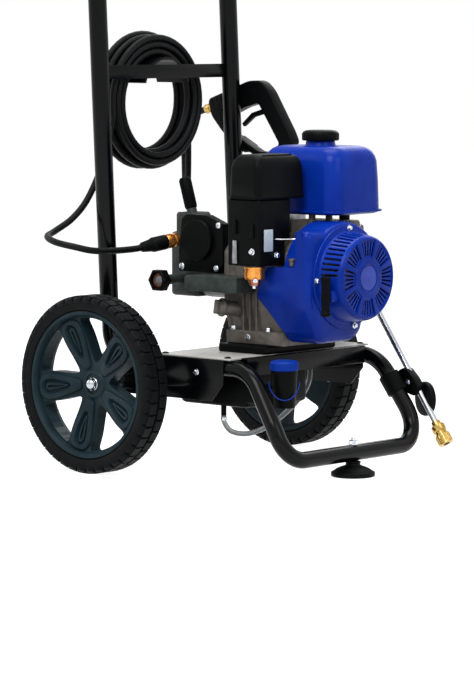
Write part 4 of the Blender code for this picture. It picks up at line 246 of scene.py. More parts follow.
def rod(
    name: str, start: Vector, end: Vector, radius: float, sides: int = 48, end_radius: float | None = None
) -> Piece:
    """A straight round bar, its ends slightly rounded.

    Args:
        name: the object's name.
        start: the middle of one end.
        end: the middle of the other.
        radius: its radius at the start.
        sides: faces round it.
        end_radius: its radius at the end, if that differs.

    Returns:
        The new object.
    """
    span = (end - start).length
    last = radius if end_radius is None else end_radius
    ease = min(radius, last, span) * 0.12
    profile = [(0.0, 0.0), (0.0, radius - ease), (ease, radius), (span - ease, last), (span, last - ease), (span, 0.0)]
    return turned(name, profile, start, end - start, sides)


def swept(name: str, path: Sequence[Vector], radius: float, sides: int = 32) -> Piece:
    """A round tube along a path, with a UV map: once round it in U, and metres along it in V.

    Args:
        name: the object's name.
        path: the middles of its rings.
        radius: the tube's radius.
        sides: faces round it.

    Returns:
        The new object.
    """
    bm = bmesh.new()
    uv = bm.loops.layers.uv.new("UVMap")
    tangent = (path[1] - path[0]).normalized()
    _, side, _ = axes_of(tangent)
    rings = []
    along = [0.0]
    for number, point in enumerate(path):
        if number:
            along.append(along[-1] + (point - path[number - 1]).length)
        before = path[max(number - 1, 0)]
        after = path[min(number + 1, len(path) - 1)]
        ahead = (after - before).normalized()
        side = (side - ahead * side.dot(ahead)).normalized()
        ring = circle(point, side, ahead.cross(side), radius, sides)
        rings.append([bm.verts.new(spot) for spot in ring])
    for number, (first, second) in enumerate(zip(rings, rings[1:])):
        for step in range(sides):
            after_step = (step + 1) % sides
            face = bm.faces.new((first[step], first[after_step], second[after_step], second[step]))
            corners = ((step, number), (step + 1, number), (step + 1, number + 1), (step, number + 1))
            for loop, (turn, row) in zip(face.loops, corners):
                loop[uv].uv = (turn / sides, along[row])
    bm.faces.new(rings[0])
    bm.faces.new(rings[-1])
    return mesh_piece(name, bm)


def bent(corners: Sequence[Vector], radii: Sequence[float], steps: int = 18) -> list[Vector]:
    """A path through corners, with an arc of its own radius at each one between the ends.

    Args:
        corners: the route's corner points.
        radii: the bend radius at each inner corner.
        steps: points in each arc.

    Returns:
        The path's points.
    """
    path = [corners[0]]
    for before, corner, after, radius in zip(corners, corners[1:], corners[2:], radii):
        into = (corner - before).normalized()
        out = (after - corner).normalized()
        half = into.angle(out) / 2
        begin = corner - into * radius * math.tan(half)
        centre = corner + (out - into).normalized() * (radius / math.cos(half))
        normal = into.cross(out).normalized()
        for step in range(steps + 1):
            path.append(centre + Matrix.Rotation(2 * half * step / steps, 3, normal) @ (begin - centre))
    path.append(corners[-1])
    return path


def flowing(points: Sequence[Vector], spacing: float) -> list[Vector]:
    """Points about this far apart along a smooth curve through the given ones.

    Args:
        points: what the curve passes through.
        spacing: the distance between the points returned.

    Returns:
        The curve's points.
    """
    ends = [points[0] * 2 - points[1], *points, points[-1] * 2 - points[-2]]
    path = [points[0]]
    for p0, p1, p2, p3 in zip(ends, ends[1:], ends[2:], ends[3:]):
        steps = max(1, round((p2 - p1).length / spacing))
        for step in range(1, steps + 1):
            t = step / steps
            curve = (2 * p0 - 5 * p1 + 4 * p2 - p3) * t**2 + (3 * p1 - p0 - 3 * p2 + p3) * t**3
            path.append(0.5 * (2 * p1 + (p2 - p0) * t + curve))
    return path


def rounded(
    outline: Sequence[Point2], radius: float | Sequence[float], steps: int = 6, share: float = 0.48
) -> list[Point2]:
    """A closed outline with its corners rounded.

    Args:
        outline: its corner points.
        radius: how far the rounding reaches, for all corners or for each.
        steps: points in each rounding.
        share: the most of a side that one rounding may take.

    Returns:
        The rounded outline.
    """
    points: list[Point2] = []
    count = len(outline)
    radii = [radius] * count if isinstance(radius, float) else radius
    for number, reach in enumerate(radii):
        before = Vector(outline[number - 1])
        corner = Vector(outline[number])
        after = Vector(outline[(number + 1) % count])
        begin = corner + (before - corner).normalized() * min(reach, share * (before - corner).length)
        end = corner + (after - corner).normalized() * min(reach, share * (after - corner).length)
        for step in range(steps + 1):
            t = step / steps
            point = begin * (1 - t) ** 2 + corner * 2 * t * (1 - t) + end * t**2
            points.append((point.x, point.y))
    return points


def oblong(middle: Point2, width: float, height: float, radius: float, steps: int = 6) -> list[Point2]:
    """The outline of a rectangle with round corners.

    Args:
        middle: its centre.
        width: its size along the first axis.
        height: its size along the second.
        radius: its corners' radius.
        steps: points in each corner.

    Returns:
        The outline.
    """
    points: list[Point2] = []
    for corner in range(4):
        sign_u, sign_v = (1, -1, -1, 1)[corner], (1, 1, -1, -1)[corner]
        for step in range(steps + 1):
            angle = (corner + step / steps) * math.pi / 2
            u = middle[0] + sign_u * (width / 2 - radius) + radius * math.cos(angle)
            v = middle[1] + sign_v * (height / 2 - radius) + radius * math.sin(angle)
            points.append((u, v))
    return points


def hexagon(radius: float) -> list[Point2]:
    """A hexagon's corners round the origin, the first one on the first axis."""
    return [(radius * math.cos(math.pi * n / 3), radius * math.sin(math.pi * n / 3)) for n in range(6)]


def stacked(name: str, outline: Sequence[Point2], *levels: Point2) -> Piece:
    """An outline in X and Y, set at (height, scale) levels along Z."""
    return skin(name, [[Vector((u * scale, v * scale, height)) for u, v in outline] for height, scale in levels])


def plain(piece: Piece) -> Piece:
    """The piece with its modifiers worked into its mesh.

    Args:
        piece: the object, kept.

    Returns:
        The same object, without modifiers.
    """
    bpy.context.view_layer.update()
    graph = bpy.context.evaluated_depsgraph_get()
    mesh = bpy.data.meshes.new_from_object(piece.evaluated_get(graph))
    piece.modifiers.clear()
    old = piece.data
    piece.data = mesh
    mesh.name = piece.name
    if old.users == 0:
        bpy.data.meshes.remove(old)
    return piece


class Cut(Enum):
    """How one mesh works on another."""

    AWAY = "DIFFERENCE"
    ONTO = "UNION"
    COMMON = "INTERSECT"


def carve(base: Piece, how: Cut, *tools: Piece) -> Piece:
    """The base cut by the tools, or joined with them, which are then gone.

    Args:
        base: the piece that is worked on.
        how: what the tools do.
        tools: the other meshes.

    Returns:
        The base.
    """
    for tool in tools:
        modifier = base.modifiers.new(tool.name, "BOOLEAN")
        modifier.operation = how.value
        modifier.solver = "EXACT"
        modifier.object = tool
    plain(base)
    for tool in tools:
        bpy.data.objects.remove(tool)
    return base


def gathered(name: str, *parts: Piece) -> Piece:
    """Several closed meshes put together in one object.

    Args:
        name: the object's name.
        parts: the meshes, which are then gone.

    Returns:
        The new object.
    """
    bm = bmesh.new()
    for part in parts:
        bm.from_mesh(part.data)
        bpy.data.objects.remove(part)
    return mesh_piece(name, bm, outwards=False)


def moved(piece: Piece, matrix: Matrix) -> Piece:
    """The piece with its mesh moved by the matrix, while the object itself stays at the origin."""
    piece.data.transform(matrix)
    return piece


def frame_at(origin: Vector, x_axis: Vector, z_axis: Vector) -> Matrix:
    """The matrix that sets a shape drawn round the origin on a face.

    Args:
        origin: where the shape's own origin goes.
        x_axis: where its X points.
        z_axis: where its Z points, square to X.

    Returns:
        The matrix.
    """
    z_axis = z_axis.normalized()
    x_axis = (x_axis - z_axis * x_axis.dot(z_axis)).normalized()
    y_axis = z_axis.cross(x_axis)
    matrix = Matrix((x_axis, y_axis, z_axis)).transposed().to_4x4()
    matrix.translation = origin
    return matrix


def eased(piece: Piece, width: float, segments: int = 2, angle: float = 32.0, smooth: float = 42.0) -> Piece:
    """The piece with its edges rounded and its shading smoothed.

    Args:
        piece: the object.
        width: how wide the rounding is.
        segments: faces across it.
        angle: the least angle, in degrees, of an edge that is rounded.
        smooth: the least angle, in degrees, that still shows as an edge.

    Returns:
        The same object, without modifiers.
    """
    if width > 0:
        edge = piece.modifiers.new("edge", "BEVEL")
        edge.width = width
        edge.segments = segments
        edge.limit_method = "ANGLE"
        edge.angle_limit = math.radians(angle)
        edge.use_clamp_overlap = True
        edge.miter_outer = "MITER_ARC"
        plain(piece)
    piece.data.shade_smooth()
    piece.data.set_sharp_from_angle(angle=math.radians(smooth))
    return piece


def solid_copy(node: str, width: float = 0.0008, segments: int = 2, angle: float = 32.0) -> Piece:
    """A solid's mesh with its loose triangles merged into faces and its edges rounded.

    Args:
        node: the solid's name.
        width: how wide the edges are rounded.
        segments: faces across the rounding.
        angle: the least angle, in degrees, of an edge that is rounded.

    Returns:
        A new object, called after the node.
    """
    bm = bmesh.new()
    bm.from_mesh(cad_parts[node].data)
    bmesh.ops.remove_doubles(bm, verts=bm.verts, dist=2e-5)
    bmesh.ops.dissolve_limit(bm, angle_limit=math.radians(1.0), verts=bm.verts, edges=bm.edges)
    return eased(mesh_piece(f"{node}_look", bm), width, segments, angle)


# ---------------------------------------------------------------- node trees
def add_node(
    tree: bpy.types.NodeTree, kind: str, inputs: dict[str | int, object] | None = None, **settings: object
) -> bpy.types.Node:
    """A new node with its settings, values and links.

    Args:
        tree: the tree that it joins.
        kind: Blender's name of the node.
        inputs: a value or another node's output for each named or numbered input.
        settings: the node's own properties.

    Returns:
        The node.
    """
    node = tree.nodes.new(kind)
    for name, value in settings.items():
        setattr(node, name, value)
    for key, value in (inputs or {}).items():
        if isinstance(value, bpy.types.NodeSocket):
            tree.links.new(value, node.inputs[key])
        else:
            node.inputs[key].default_value = value
    return node


def reckoned(tree: bpy.types.NodeTree, operation: str, *values: float | bpy.types.NodeSocket) -> bpy.types.NodeSocket:
    """What a Math node of this operation makes of values and other nodes' outputs."""
    return add_node(tree, "ShaderNodeMath", dict(enumerate(values)), operation=operation).outputs[0]


class Repeat(Enum):
    """The ways in which a small shape is repeated."""

    ROUND = "round_an_axis"
    ROW = "in_a_row"
    POINTS = "at_points"


def repeat_tree(kind: Repeat) -> bpy.types.NodeTree:
    """The Geometry Nodes tree that repeats a shape, made once for each kind.

    Args:
        kind: ROUND turns copies about Z, ROW sets them one step apart, and POINTS puts an item on each point
            of the mesh with its Z along the point's "facing" attribute.

    Returns:
        The tree. Its inputs are named for what they are.
    """
    name = f"repeat_{kind.value}"
    if name in bpy.data.node_groups:
        return bpy.data.node_groups[name]
    tree = bpy.data.node_groups.new(name, "GeometryNodeTree")
    sockets = [("Geometry", "NodeSocketGeometry")]
    if kind is Repeat.ROUND:
        sockets += [("Count", "NodeSocketInt"), ("First", "NodeSocketFloat"), ("Step", "NodeSocketFloat")]
    elif kind is Repeat.ROW:
        sockets += [("Count", "NodeSocketInt"), ("Offset", "NodeSocketVector")]
    else:
        sockets += [("Item", "NodeSocketObject")]
    for label, socket_type in (*sockets, ("Material", "NodeSocketMaterial")):
        tree.interface.new_socket(label, in_out="INPUT", socket_type=socket_type)
    tree.interface.new_socket("Geometry", in_out="OUTPUT", socket_type="NodeSocketGeometry")
    given = add_node(tree, "NodeGroupInput").outputs
    if kind is Repeat.ROUND:
        index = add_node(tree, "GeometryNodeInputIndex").outputs[0]
        angle = reckoned(tree, "MULTIPLY_ADD", index, given["Step"], given["First"])
        turn = add_node(tree, "ShaderNodeCombineXYZ", {"Z": angle}).outputs[0]
        points = add_node(tree, "GeometryNodePoints", {"Count": given["Count"]}).outputs[0]
        links = {"Points": points, "Instance": given["Geometry"], "Rotation": turn}
    elif kind is Repeat.ROW:
        line = add_node(tree, "GeometryNodeMeshLine", {"Count": given["Count"], "Offset": given["Offset"]})
        links = {"Points": line.outputs[0], "Instance": given["Geometry"]}
    else:
        item = add_node(tree, "GeometryNodeObjectInfo", {"Object": given["Item"]}).outputs["Geometry"]
        facing = add_node(
            tree, "GeometryNodeInputNamedAttribute", {"Name": "facing"}, data_type="FLOAT_VECTOR"
        ).outputs[0]
        turn = add_node(tree, "FunctionNodeAlignRotationToVector", {"Vector": facing}, axis="Z").outputs[0]
        links = {"Points": given["Geometry"], "Instance": item, "Rotation": turn}
    copies = add_node(tree, "GeometryNodeInstanceOnPoints", links).outputs[0]
    real = add_node(tree, "GeometryNodeRealizeInstances", {0: copies}).outputs[0]
    dressed = add_node(tree, "GeometryNodeSetMaterial", {"Geometry": real, "Material": given["Material"]})
    add_node(tree, "NodeGroupOutput", {0: dressed.outputs[0]})
    return tree


def repeated(piece: Piece, kind: Repeat, finish: "Finish | None" = None, **values: object) -> Piece:
    """The piece repeated by its tree, as one plain mesh.

    Args:
        piece: the shape, or for POINTS the points.
        kind: how it is repeated.
        finish: what the copies are made of.
        values: the tree's other inputs, by name.

    Returns:
        The same object.
    """
    tree = repeat_tree(kind)
    modifier = piece.modifiers.new("repeat", "NODES")
    modifier.node_group = tree
    if finish is not None:
        values["Material"] = finish.material()
    for item in tree.interface.items_tree:
        if item.in_out == "INPUT" and item.name in values:
            modifier[item.identifier] = values[item.name]
    return plain(piece)


def ring_of(piece: Piece, count: int, matrix: Matrix, first: float = 0.0, step: float | None = None) -> Piece:
    """The piece repeated round Z, then set in place.

    Args:
        piece: the shape, drawn with X outwards and Z along the ring's axis.
        count: how many there are.
        matrix: where the ring goes.
        first: the first one's angle from X, in radians.
        step: the angle between two, a full turn shared out if not given.

    Returns:
        The same object.
    """
    angle = 2 * math.pi / count if step is None else step
    return moved(repeated(piece, Repeat.ROUND, Count=count, First=first, Step=angle), matrix)


def knurl(ridge: Sequence[Point2], span: Point2, count: int, matrix: Matrix) -> Piece:
    """Ridges along a round part.

    Args:
        ridge: one ridge's section, as (outwards, sideways).
        span: where the ridges begin and end along the part.
        count: how many there are.
        matrix: the part's place, its axis along Z.

    Returns:
        All of them in one object.
    """
    return ring_of(stacked("ridge", ridge, (span[0], 1.0), (span[1], 1.0)), count, matrix)


# ---------------------------------------------------------------- finishes
def linear(code: str) -> tuple[float, float, float, float]:
    """An sRGB hex colour as linear values.

    Args:
        code: the colour, such as "#1a2b3c".

    Returns:
        Red, green, blue and alpha.
    """
    values = [int(code[start : start + 2], 16) / 255 for start in (1, 3, 5)]
    red, green, blue = (v / 12.92 if v <= 0.04045 else ((v + 0.055) / 1.055) ** 2.4 for v in values)
    return red, green, blue, 1.0


class Relief(Enum):
    """What made a surface's finest relief."""

    SPRAYED = "the slight waviness of sprayed or plated metal"
    MOULDED = "the fine pitting of an etched mould"
    CAST = "the pebbled skin of a sand casting"
    DRAWN = "fine lines along a drawn or brushed bar"
    WRAPPED = "the spiral ribs that a curing wrap leaves on a hose"
    FOAMED = "the open pores of foam rubber"


@dataclass(frozen=True)
class Finish:
    """A real material with the way its surface was made."""

    name: str  # the material's name
    slot: str  # the record's slot that it belongs to
    colour: str  # its common colour
    shade: str  # the colour its darker patches tend to
    roughness: float  # its middle roughness
    metallic: float = 0.0  # 1 for bare metal
    relief: Relief = Relief.SPRAYED  # what made its finest relief
    grain_mm: float = 1.5  # the size of that relief
    depth_mm: float = 0.01  # its depth
    patch_mm: float = 60.0  # the size of its patches of colour and gloss
    uneven: float = 0.05  # how far its roughness strays from the middle
    coat: float = 0.0  # how much clear gloss lies over it
    specular: float = 0.5  # the level of its own reflection
    transmission: float = 0.0  # how much light it lets through

    def material(self) -> bpy.types.Material:
        """The procedural material, made once.

        Returns:
            The material.
        """
        if self.name in bpy.data.materials:
            return bpy.data.materials[self.name]
        material = bpy.data.materials.new(self.name)
        material.use_nodes = True
        tree = material.node_tree
        shader = tree.nodes["Principled BSDF"]
        plain_inputs = {"Metallic": self.metallic, "Coat Weight": self.coat, "Coat Roughness": 0.06}
        plain_inputs |= {"Specular IOR Level": self.specular, "Transmission Weight": self.transmission}
        for label, value in plain_inputs.items():
            shader.inputs[label].default_value = value
        where = add_node(tree, "ShaderNodeTexCoord")
        patches = add_node(
            tree,
            "ShaderNodeTexNoise",
            {"Vector": where.outputs["Object"], "Scale": 1000 / self.patch_mm, "Detail": 4.0, "Roughness": 0.6},
        ).outputs["Fac"]
        ramp = add_node(tree, "ShaderNodeValToRGB", {"Fac": patches})
        for stop, position, colour in zip(ramp.color_ramp.elements, (0.34, 0.62), (self.shade, self.colour)):
            stop.position = position
            stop.color = linear(colour)
        tree.links.new(ramp.outputs["Color"], shader.inputs["Base Color"])
        gloss = add_node(
            tree,
            "ShaderNodeMapRange",
            {
                "Value": patches,
                "From Min": 0.3,
                "From Max": 0.7,
                "To Min": min(self.roughness + self.uneven, 1.0),
                "To Max": max(self.roughness - self.uneven, 0.02),
            },
        )
        tree.links.new(gloss.outputs[0], shader.inputs["Roughness"])
        bump = add_node(
            tree,
            "ShaderNodeBump",
            {"Height": self.height(tree, where), "Strength": 1.0, "Distance": self.depth_mm / 1000},
        )
        tree.links.new(bump.outputs[0], shader.inputs["Normal"])
        return material

    def height(self, tree: bpy.types.NodeTree, where: bpy.types.Node) -> bpy.types.NodeSocket:
        """The height pattern of the finest relief.

        Args:
            tree: the material's tree.
            where: its Texture Coordinate node.

        Returns:
            The pattern's output, from 0 to about 1.
        """
        scale = 1000 / self.grain_mm
        spot = where.outputs["Object"]
        if self.relief is Relief.WRAPPED:
            # Ribs one grain apart climb round the hose on its UV map, whose V is in metres.
            parts = add_node(tree, "ShaderNodeSeparateXYZ", {0: where.outputs["UV"]}).outputs
            turn = reckoned(tree, "ADD", parts["X"], reckoned(tree, "MULTIPLY", parts["Y"], scale))
            return reckoned(tree, "PINGPONG", turn, 1.0, 0.0)
        if self.relief is Relief.DRAWN:
            # Lines a grain wide and sixty long run up the bar.
            stretched = add_node(tree, "ShaderNodeMapping", {"Vector": spot, "Scale": (1.0, 0.4, 1 / 60)}).outputs[0]
            return add_node(
                tree, "ShaderNodeTexNoise", {"Vector": stretched, "Scale": scale, "Detail": 2.0}
            ).outputs["Fac"]
        if self.relief in (Relief.CAST, Relief.FOAMED):
            cells = add_node(
                tree, "ShaderNodeTexVoronoi", {"Vector": spot, "Scale": scale, "Randomness": 1.0}, feature="SMOOTH_F1"
            ).outputs["Distance"]
            if self.relief is Relief.FOAMED:
                return cells
            waves = add_node(
                tree, "ShaderNodeTexNoise", {"Vector": spot, "Scale": scale / 6, "Detail": 5.0}
            ).outputs["Fac"]
            return reckoned(tree, "ADD", cells, waves)
        detail = 1.0 if self.relief is Relief.SPRAYED else 3.0
        return add_node(
            tree, "ShaderNodeTexNoise", {"Vector": spot, "Scale": scale, "Detail": detail, "Roughness": 0.55}
        ).outputs["Fac"]


# Enamel sprayed on pressed steel and baked: deep colour under a clear gloss, with a faint orange peel.
BLUE_ENAMEL = Finish(
    "sprayed_blue_enamel", "blue", "#0735a8", "#052b94", 0.28, grain_mm=4.0, depth_mm=0.02, specular=0.12
)
# Polypropylene coloured in the mass and moulded: an even, slightly soft blue.
BLUE_CAP = Finish(
    "moulded_blue_polypropylene", "blue_plastic", "#083aa6", "#062f8e", 0.42, relief=Relief.MOULDED, grain_mm=0.8,
    specular=0.15,
)
# Powder coat on steel tube: near-black, glossy, with the orange peel of melted powder.
BLACK_POWDER_COAT = Finish(
    "black_powder_coat", "frame_black", "#060709", "#040506", 0.2, grain_mm=3.0, depth_mm=0.025, specular=0.14,
)
# Glass-filled nylon from an etched mould: black, dull, with fine pitting.
BLACK_NYLON = Finish(
    "moulded_black_nylon", "black_plastic", "#0a0b0c", "#060708", 0.42, relief=Relief.MOULDED, grain_mm=0.7,
    depth_mm=0.03, patch_mm=35.0, specular=0.055,
)
# Polypropylene for the wheels: a dull blue-grey that shows mould flow as faint patches.
RIM_PLASTIC = Finish(
    "moulded_grey_polypropylene", "rim", "#1f333a", "#16262c", 0.45, relief=Relief.MOULDED, grain_mm=0.9,
    depth_mm=0.03, patch_mm=45.0, specular=0.12,
)
# Solid rubber from a steel mould: black and dull, a little dusty in patches.
TYRE_RUBBER = Finish(
    "moulded_tyre_rubber", "tyre", "#0d0f11", "#08090a", 0.55, relief=Relief.MOULDED, grain_mm=1.1,
    depth_mm=0.05, patch_mm=22.0, specular=0.08,
)
# Small rubber mouldings: the foot, seals and boots.
SOFT_RUBBER = Finish(
    "moulded_soft_rubber", "rubber", "#0b0c0d", "#070808", 0.55, relief=Relief.MOULDED, grain_mm=0.8, depth_mm=0.04,
    patch_mm=18.0, specular=0.08,
)
# Foam rubber sleeve: matt, with open pores about a millimetre across.
FOAM_RUBBER = Finish(
    "foam_rubber_grip", "rubber", "#111213", "#0b0c0d", 0.86, relief=Relief.FOAMED, grain_mm=1.3, depth_mm=0.25,
    patch_mm=25.0, specular=0.08,
)
# Hose cover cured under a fabric wrap: black rubber with a fine spiral rib, drawn 1.6 mm apart.
HOSE_RUBBER = Finish(
    "wrapped_hose_rubber", "rubber", "#0e0f11", "#090a0b", 0.48, relief=Relief.WRAPPED, grain_mm=1.6, depth_mm=0.12,
    patch_mm=80.0, specular=0.12,
)
# Aluminium cast in sand: warm grey, pebbled, half dull. Real grains of half a millimetre are drawn at 1.2 mm.
CAST_ALUMINIUM = Finish(
    "sand_cast_aluminium", "cast", "#77716a", "#5a554f", 0.5, metallic=0.75, relief=Relief.CAST, grain_mm=1.2,
    depth_mm=0.09, patch_mm=30.0, uneven=0.09,
)
# The same casting under thin grey-black engine paint.
PAINTED_CASTING = Finish(
    "painted_aluminium_casting", "cast", "#756f69", "#58544f", 0.46, metallic=0.25, relief=Relief.CAST,
    grain_mm=1.4, depth_mm=0.08, patch_mm=26.0, uneven=0.08, specular=0.2,
)
# The pump's casting: the same skin under thicker, darker paint with a trace of green.
PUMP_CASTING = Finish(
    "dark_painted_pump_casting", "cast", "#414945", "#2f3633", 0.44, metallic=0.15, relief=Relief.CAST,
    grain_mm=1.4, depth_mm=0.08, patch_mm=26.0, uneven=0.08, specular=0.15,
)
# Steel bar and sheet, ground and lightly oiled.
GROUND_STEEL = Finish(
    "ground_steel", "steel", "#9b9da0", "#75777a", 0.32, metallic=1.0, relief=Relief.DRAWN, grain_mm=0.5,
    depth_mm=0.02, patch_mm=15.0, uneven=0.08,
)
# Zinc plate on bolts and screws: pale, bright, faintly blue, with a fine frost.
ZINC_PLATE = Finish(
    "zinc_plated_steel", "steel", "#dfe3ea", "#b4bac4", 0.24, metallic=1.0, grain_mm=0.6, depth_mm=0.008,
    patch_mm=6.0, uneven=0.08,
)
# Chromium over nickel on steel tube: mirror-bright.
CHROME_PLATE = Finish(
    "chromium_plated_steel", "chrome", "#c3c7cc", "#aeb3b9", 0.16, metallic=1.0, grain_mm=8.0, depth_mm=0.004,
    uneven=0.03,
)
# Zinc plate with a yellow passivate: orange gold that shifts in patches.
GOLD_PASSIVATE = Finish(
    "yellow_passivated_zinc", "orange_brass", "#e69e50", "#c97c32", 0.26, metallic=0.9, grain_mm=1.0,
    depth_mm=0.01, patch_mm=9.0, uneven=0.07,
)
# Turned brass, a little tarnished.
TURNED_BRASS = Finish(
    "turned_brass", "brass", "#cfae68", "#aa8a48", 0.22, metallic=1.0, grain_mm=0.5, depth_mm=0.01, patch_mm=12.0,
    uneven=0.07,
)
# Drawn copper, browned by heat.
DRAWN_COPPER = Finish(
    "drawn_copper", "brass", "#b87352", "#935439", 0.3, metallic=1.0, grain_mm=0.8, depth_mm=0.01, patch_mm=8.0,
    uneven=0.08,
)
# Soft clear PVC hose: milky where it is thick, with soft gloss.
CLEAR_VINYL = Finish(
    "extruded_clear_vinyl", "clear", "#b4b9bb", "#9da3a6", 0.14, grain_mm=6.0, depth_mm=0.02, patch_mm=30.0,
    uneven=0.04, transmission=0.6,
)
# Sheet steel under pale grey paint: satin, slightly warm.
GREY_PAINT = Finish(
    "grey_painted_sheet_steel", "deck", "#c6c4bf", "#b5b3ae", 0.4, grain_mm=3.0, depth_mm=0.015, coat=0.15
)
# Lacquered foil of the starter's badge, left bare: a paler blue than the enamel round it.
BADGE_FOIL = Finish(
    "lacquered_blue_foil", "blue_plastic", "#4659c2", "#384cb0", 0.35, grain_mm=2.0, patch_mm=20.0, specular=0.2
)
# Aluminium foil plate left bare where a label would be.
BARE_PLATE = Finish(
    "anodised_aluminium_plate", "steel", "#d3e2ec", "#c2d3df", 0.42, metallic=0.1, relief=Relief.DRAWN,
    grain_mm=0.6, depth_mm=0.01, patch_mm=12.0,
)
# Stainless gauze of the inlet's strainer: dull grey.
STRAINER = Finish(
    "woven_stainless_gauze", "steel", "#8c8f92", "#6d7073", 0.45, metallic=0.8, relief=Relief.CAST, grain_mm=0.8,
    depth_mm=0.2, patch_mm=5.0,
)


def settle(piece: Piece, finish: Finish, body: str = "trolley", replaces: Sequence[str] = ()) -> Piece:
    """Dresses a finished piece and ties it to its body.

    Args:
        piece: the piece, in place.
        finish: what it is made of.
        body: the body that it moves with.
        replaces: the solids that it stands for.

    Returns:
        The piece.
    """
    piece.data.materials.clear()
    piece.data.materials.append(finish.material())
    if replaces:
        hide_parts(*replaces)
    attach(piece, body)
    LOG.info("%s: %s on %s, %d faces", piece.name, finish.name, body, len(piece.data.polygons))
    return piece


def dress(node: str, finish: Finish, width: float, segments: int = 2, body: str = "trolley") -> None:
    """Shows a solid as it is, but for its edges, rounded to this width in so many faces."""
    settle(solid_copy(node, width, segments), finish, body, (node,))


class Fastener(Enum):
    """The screws and bolts on the machine."""

    FLANGE_BOLT = "hexagon flange bolt"
    HEX_NUT = "hexagon nut with its bolt's end"
    PAN_SCREW = "pan head screw with a cross recess"
    CARRIAGE_BOLT = "mushroom head bolt"


def fastener(kind: Fastener, size: float) -> Piece:
    """One fastener, its seat at the origin and its head along Z.

    Args:
        kind: which fastener.
        size: the radius of its head, flange included.

    Returns:
        The object.
    """
    origin = Vector((0.0, 0.0, 0.0))
    if kind is Fastener.CARRIAGE_BOLT:
        dome = [(0.0, 0.0), (0.0, size)]
        dome += [(size * 0.5 * math.sin(t), size * math.cos(t)) for t in (0.3, 0.6, 0.9, 1.2)]
        dome.append((size * 0.5, 0.0))
        return eased(turned("dome", dome, origin, UP, 24), 0.0)
    if kind is Fastener.PAN_SCREW:
        dome = [(0.0, 0.0), (0.0, size), (size * 0.22, size)]
        dome += [(size * (0.22 + 0.33 * math.sin(t)), size * math.cos(t)) for t in (0.35, 0.7, 1.05)]
        dome.append((size * 0.55, 0.0))
        head = turned("head", dome, origin, UP, 24)
        reach, half, floor = size * 0.55, size * 0.11, size * 0.22
        cross = []
        for u, v in ((reach, half), (half, reach)):
            cross.append(stacked("slot", [(-u, -v), (u, -v), (u, v), (-u, v)], (floor, 1.0), (size, 1.0)))
        return eased(carve(head, Cut.AWAY, *cross), 0.0)
    if kind is Fastener.FLANGE_BOLT:
        profile = [(0.0, 0.0), (0.0, size), (size * 0.14, size), (size * 0.3, size * 0.72), (size * 0.3, 0.0)]
        base = turned("flange", profile, origin, UP, 24)
        across, low, high = size * 0.76, size * 0.1, size * 0.95
    else:
        thread = size * 0.5
        profile = [(0.0, 0.0), (0.0, thread), (size * 1.25, thread), (size * 1.35, size * 0.4), (size * 1.35, 0.0)]
        base = turned("thread", profile, origin, UP, 18)
        across, low, high = size, 0.0, size * 0.85
    flats = stacked("hexagon", hexagon(across), (low, 1.0), (high - size * 0.12, 1.0), (high, 0.86))
    return eased(gathered("bolt", base, flats), 0.0)


def fasten(
    name: str,
    kind: Fastener,
    size: float,
    spots: Sequence[tuple[Vector, Vector]],
    finish: Finish = ZINC_PLATE,
    body: str = "trolley",
) -> Piece:
    """Fasteners of one kind set at spots on one body.

    Args:
        name: the piece's name.
        kind: which fastener.
        size: its head's radius.
        spots: each one's seat and the way that its head points.
        finish: what they are made of.
        body: the body that they ride on.

    Returns:
        The piece.
    """
    mesh = bpy.data.meshes.new(name)
    mesh.from_pydata([tuple(seat) for seat, _ in spots], [], [])
    facing = mesh.attributes.new("facing", "FLOAT_VECTOR", "POINT")
    for item, (_, direction) in zip(facing.data, spots):
        item.vector = direction
    piece = linked(name, mesh)
    item_piece = fastener(kind, size)
    repeated(piece, Repeat.POINTS, finish, Item=item_piece)
    bpy.data.objects.remove(item_piece)
    return settle(piece, finish, body)


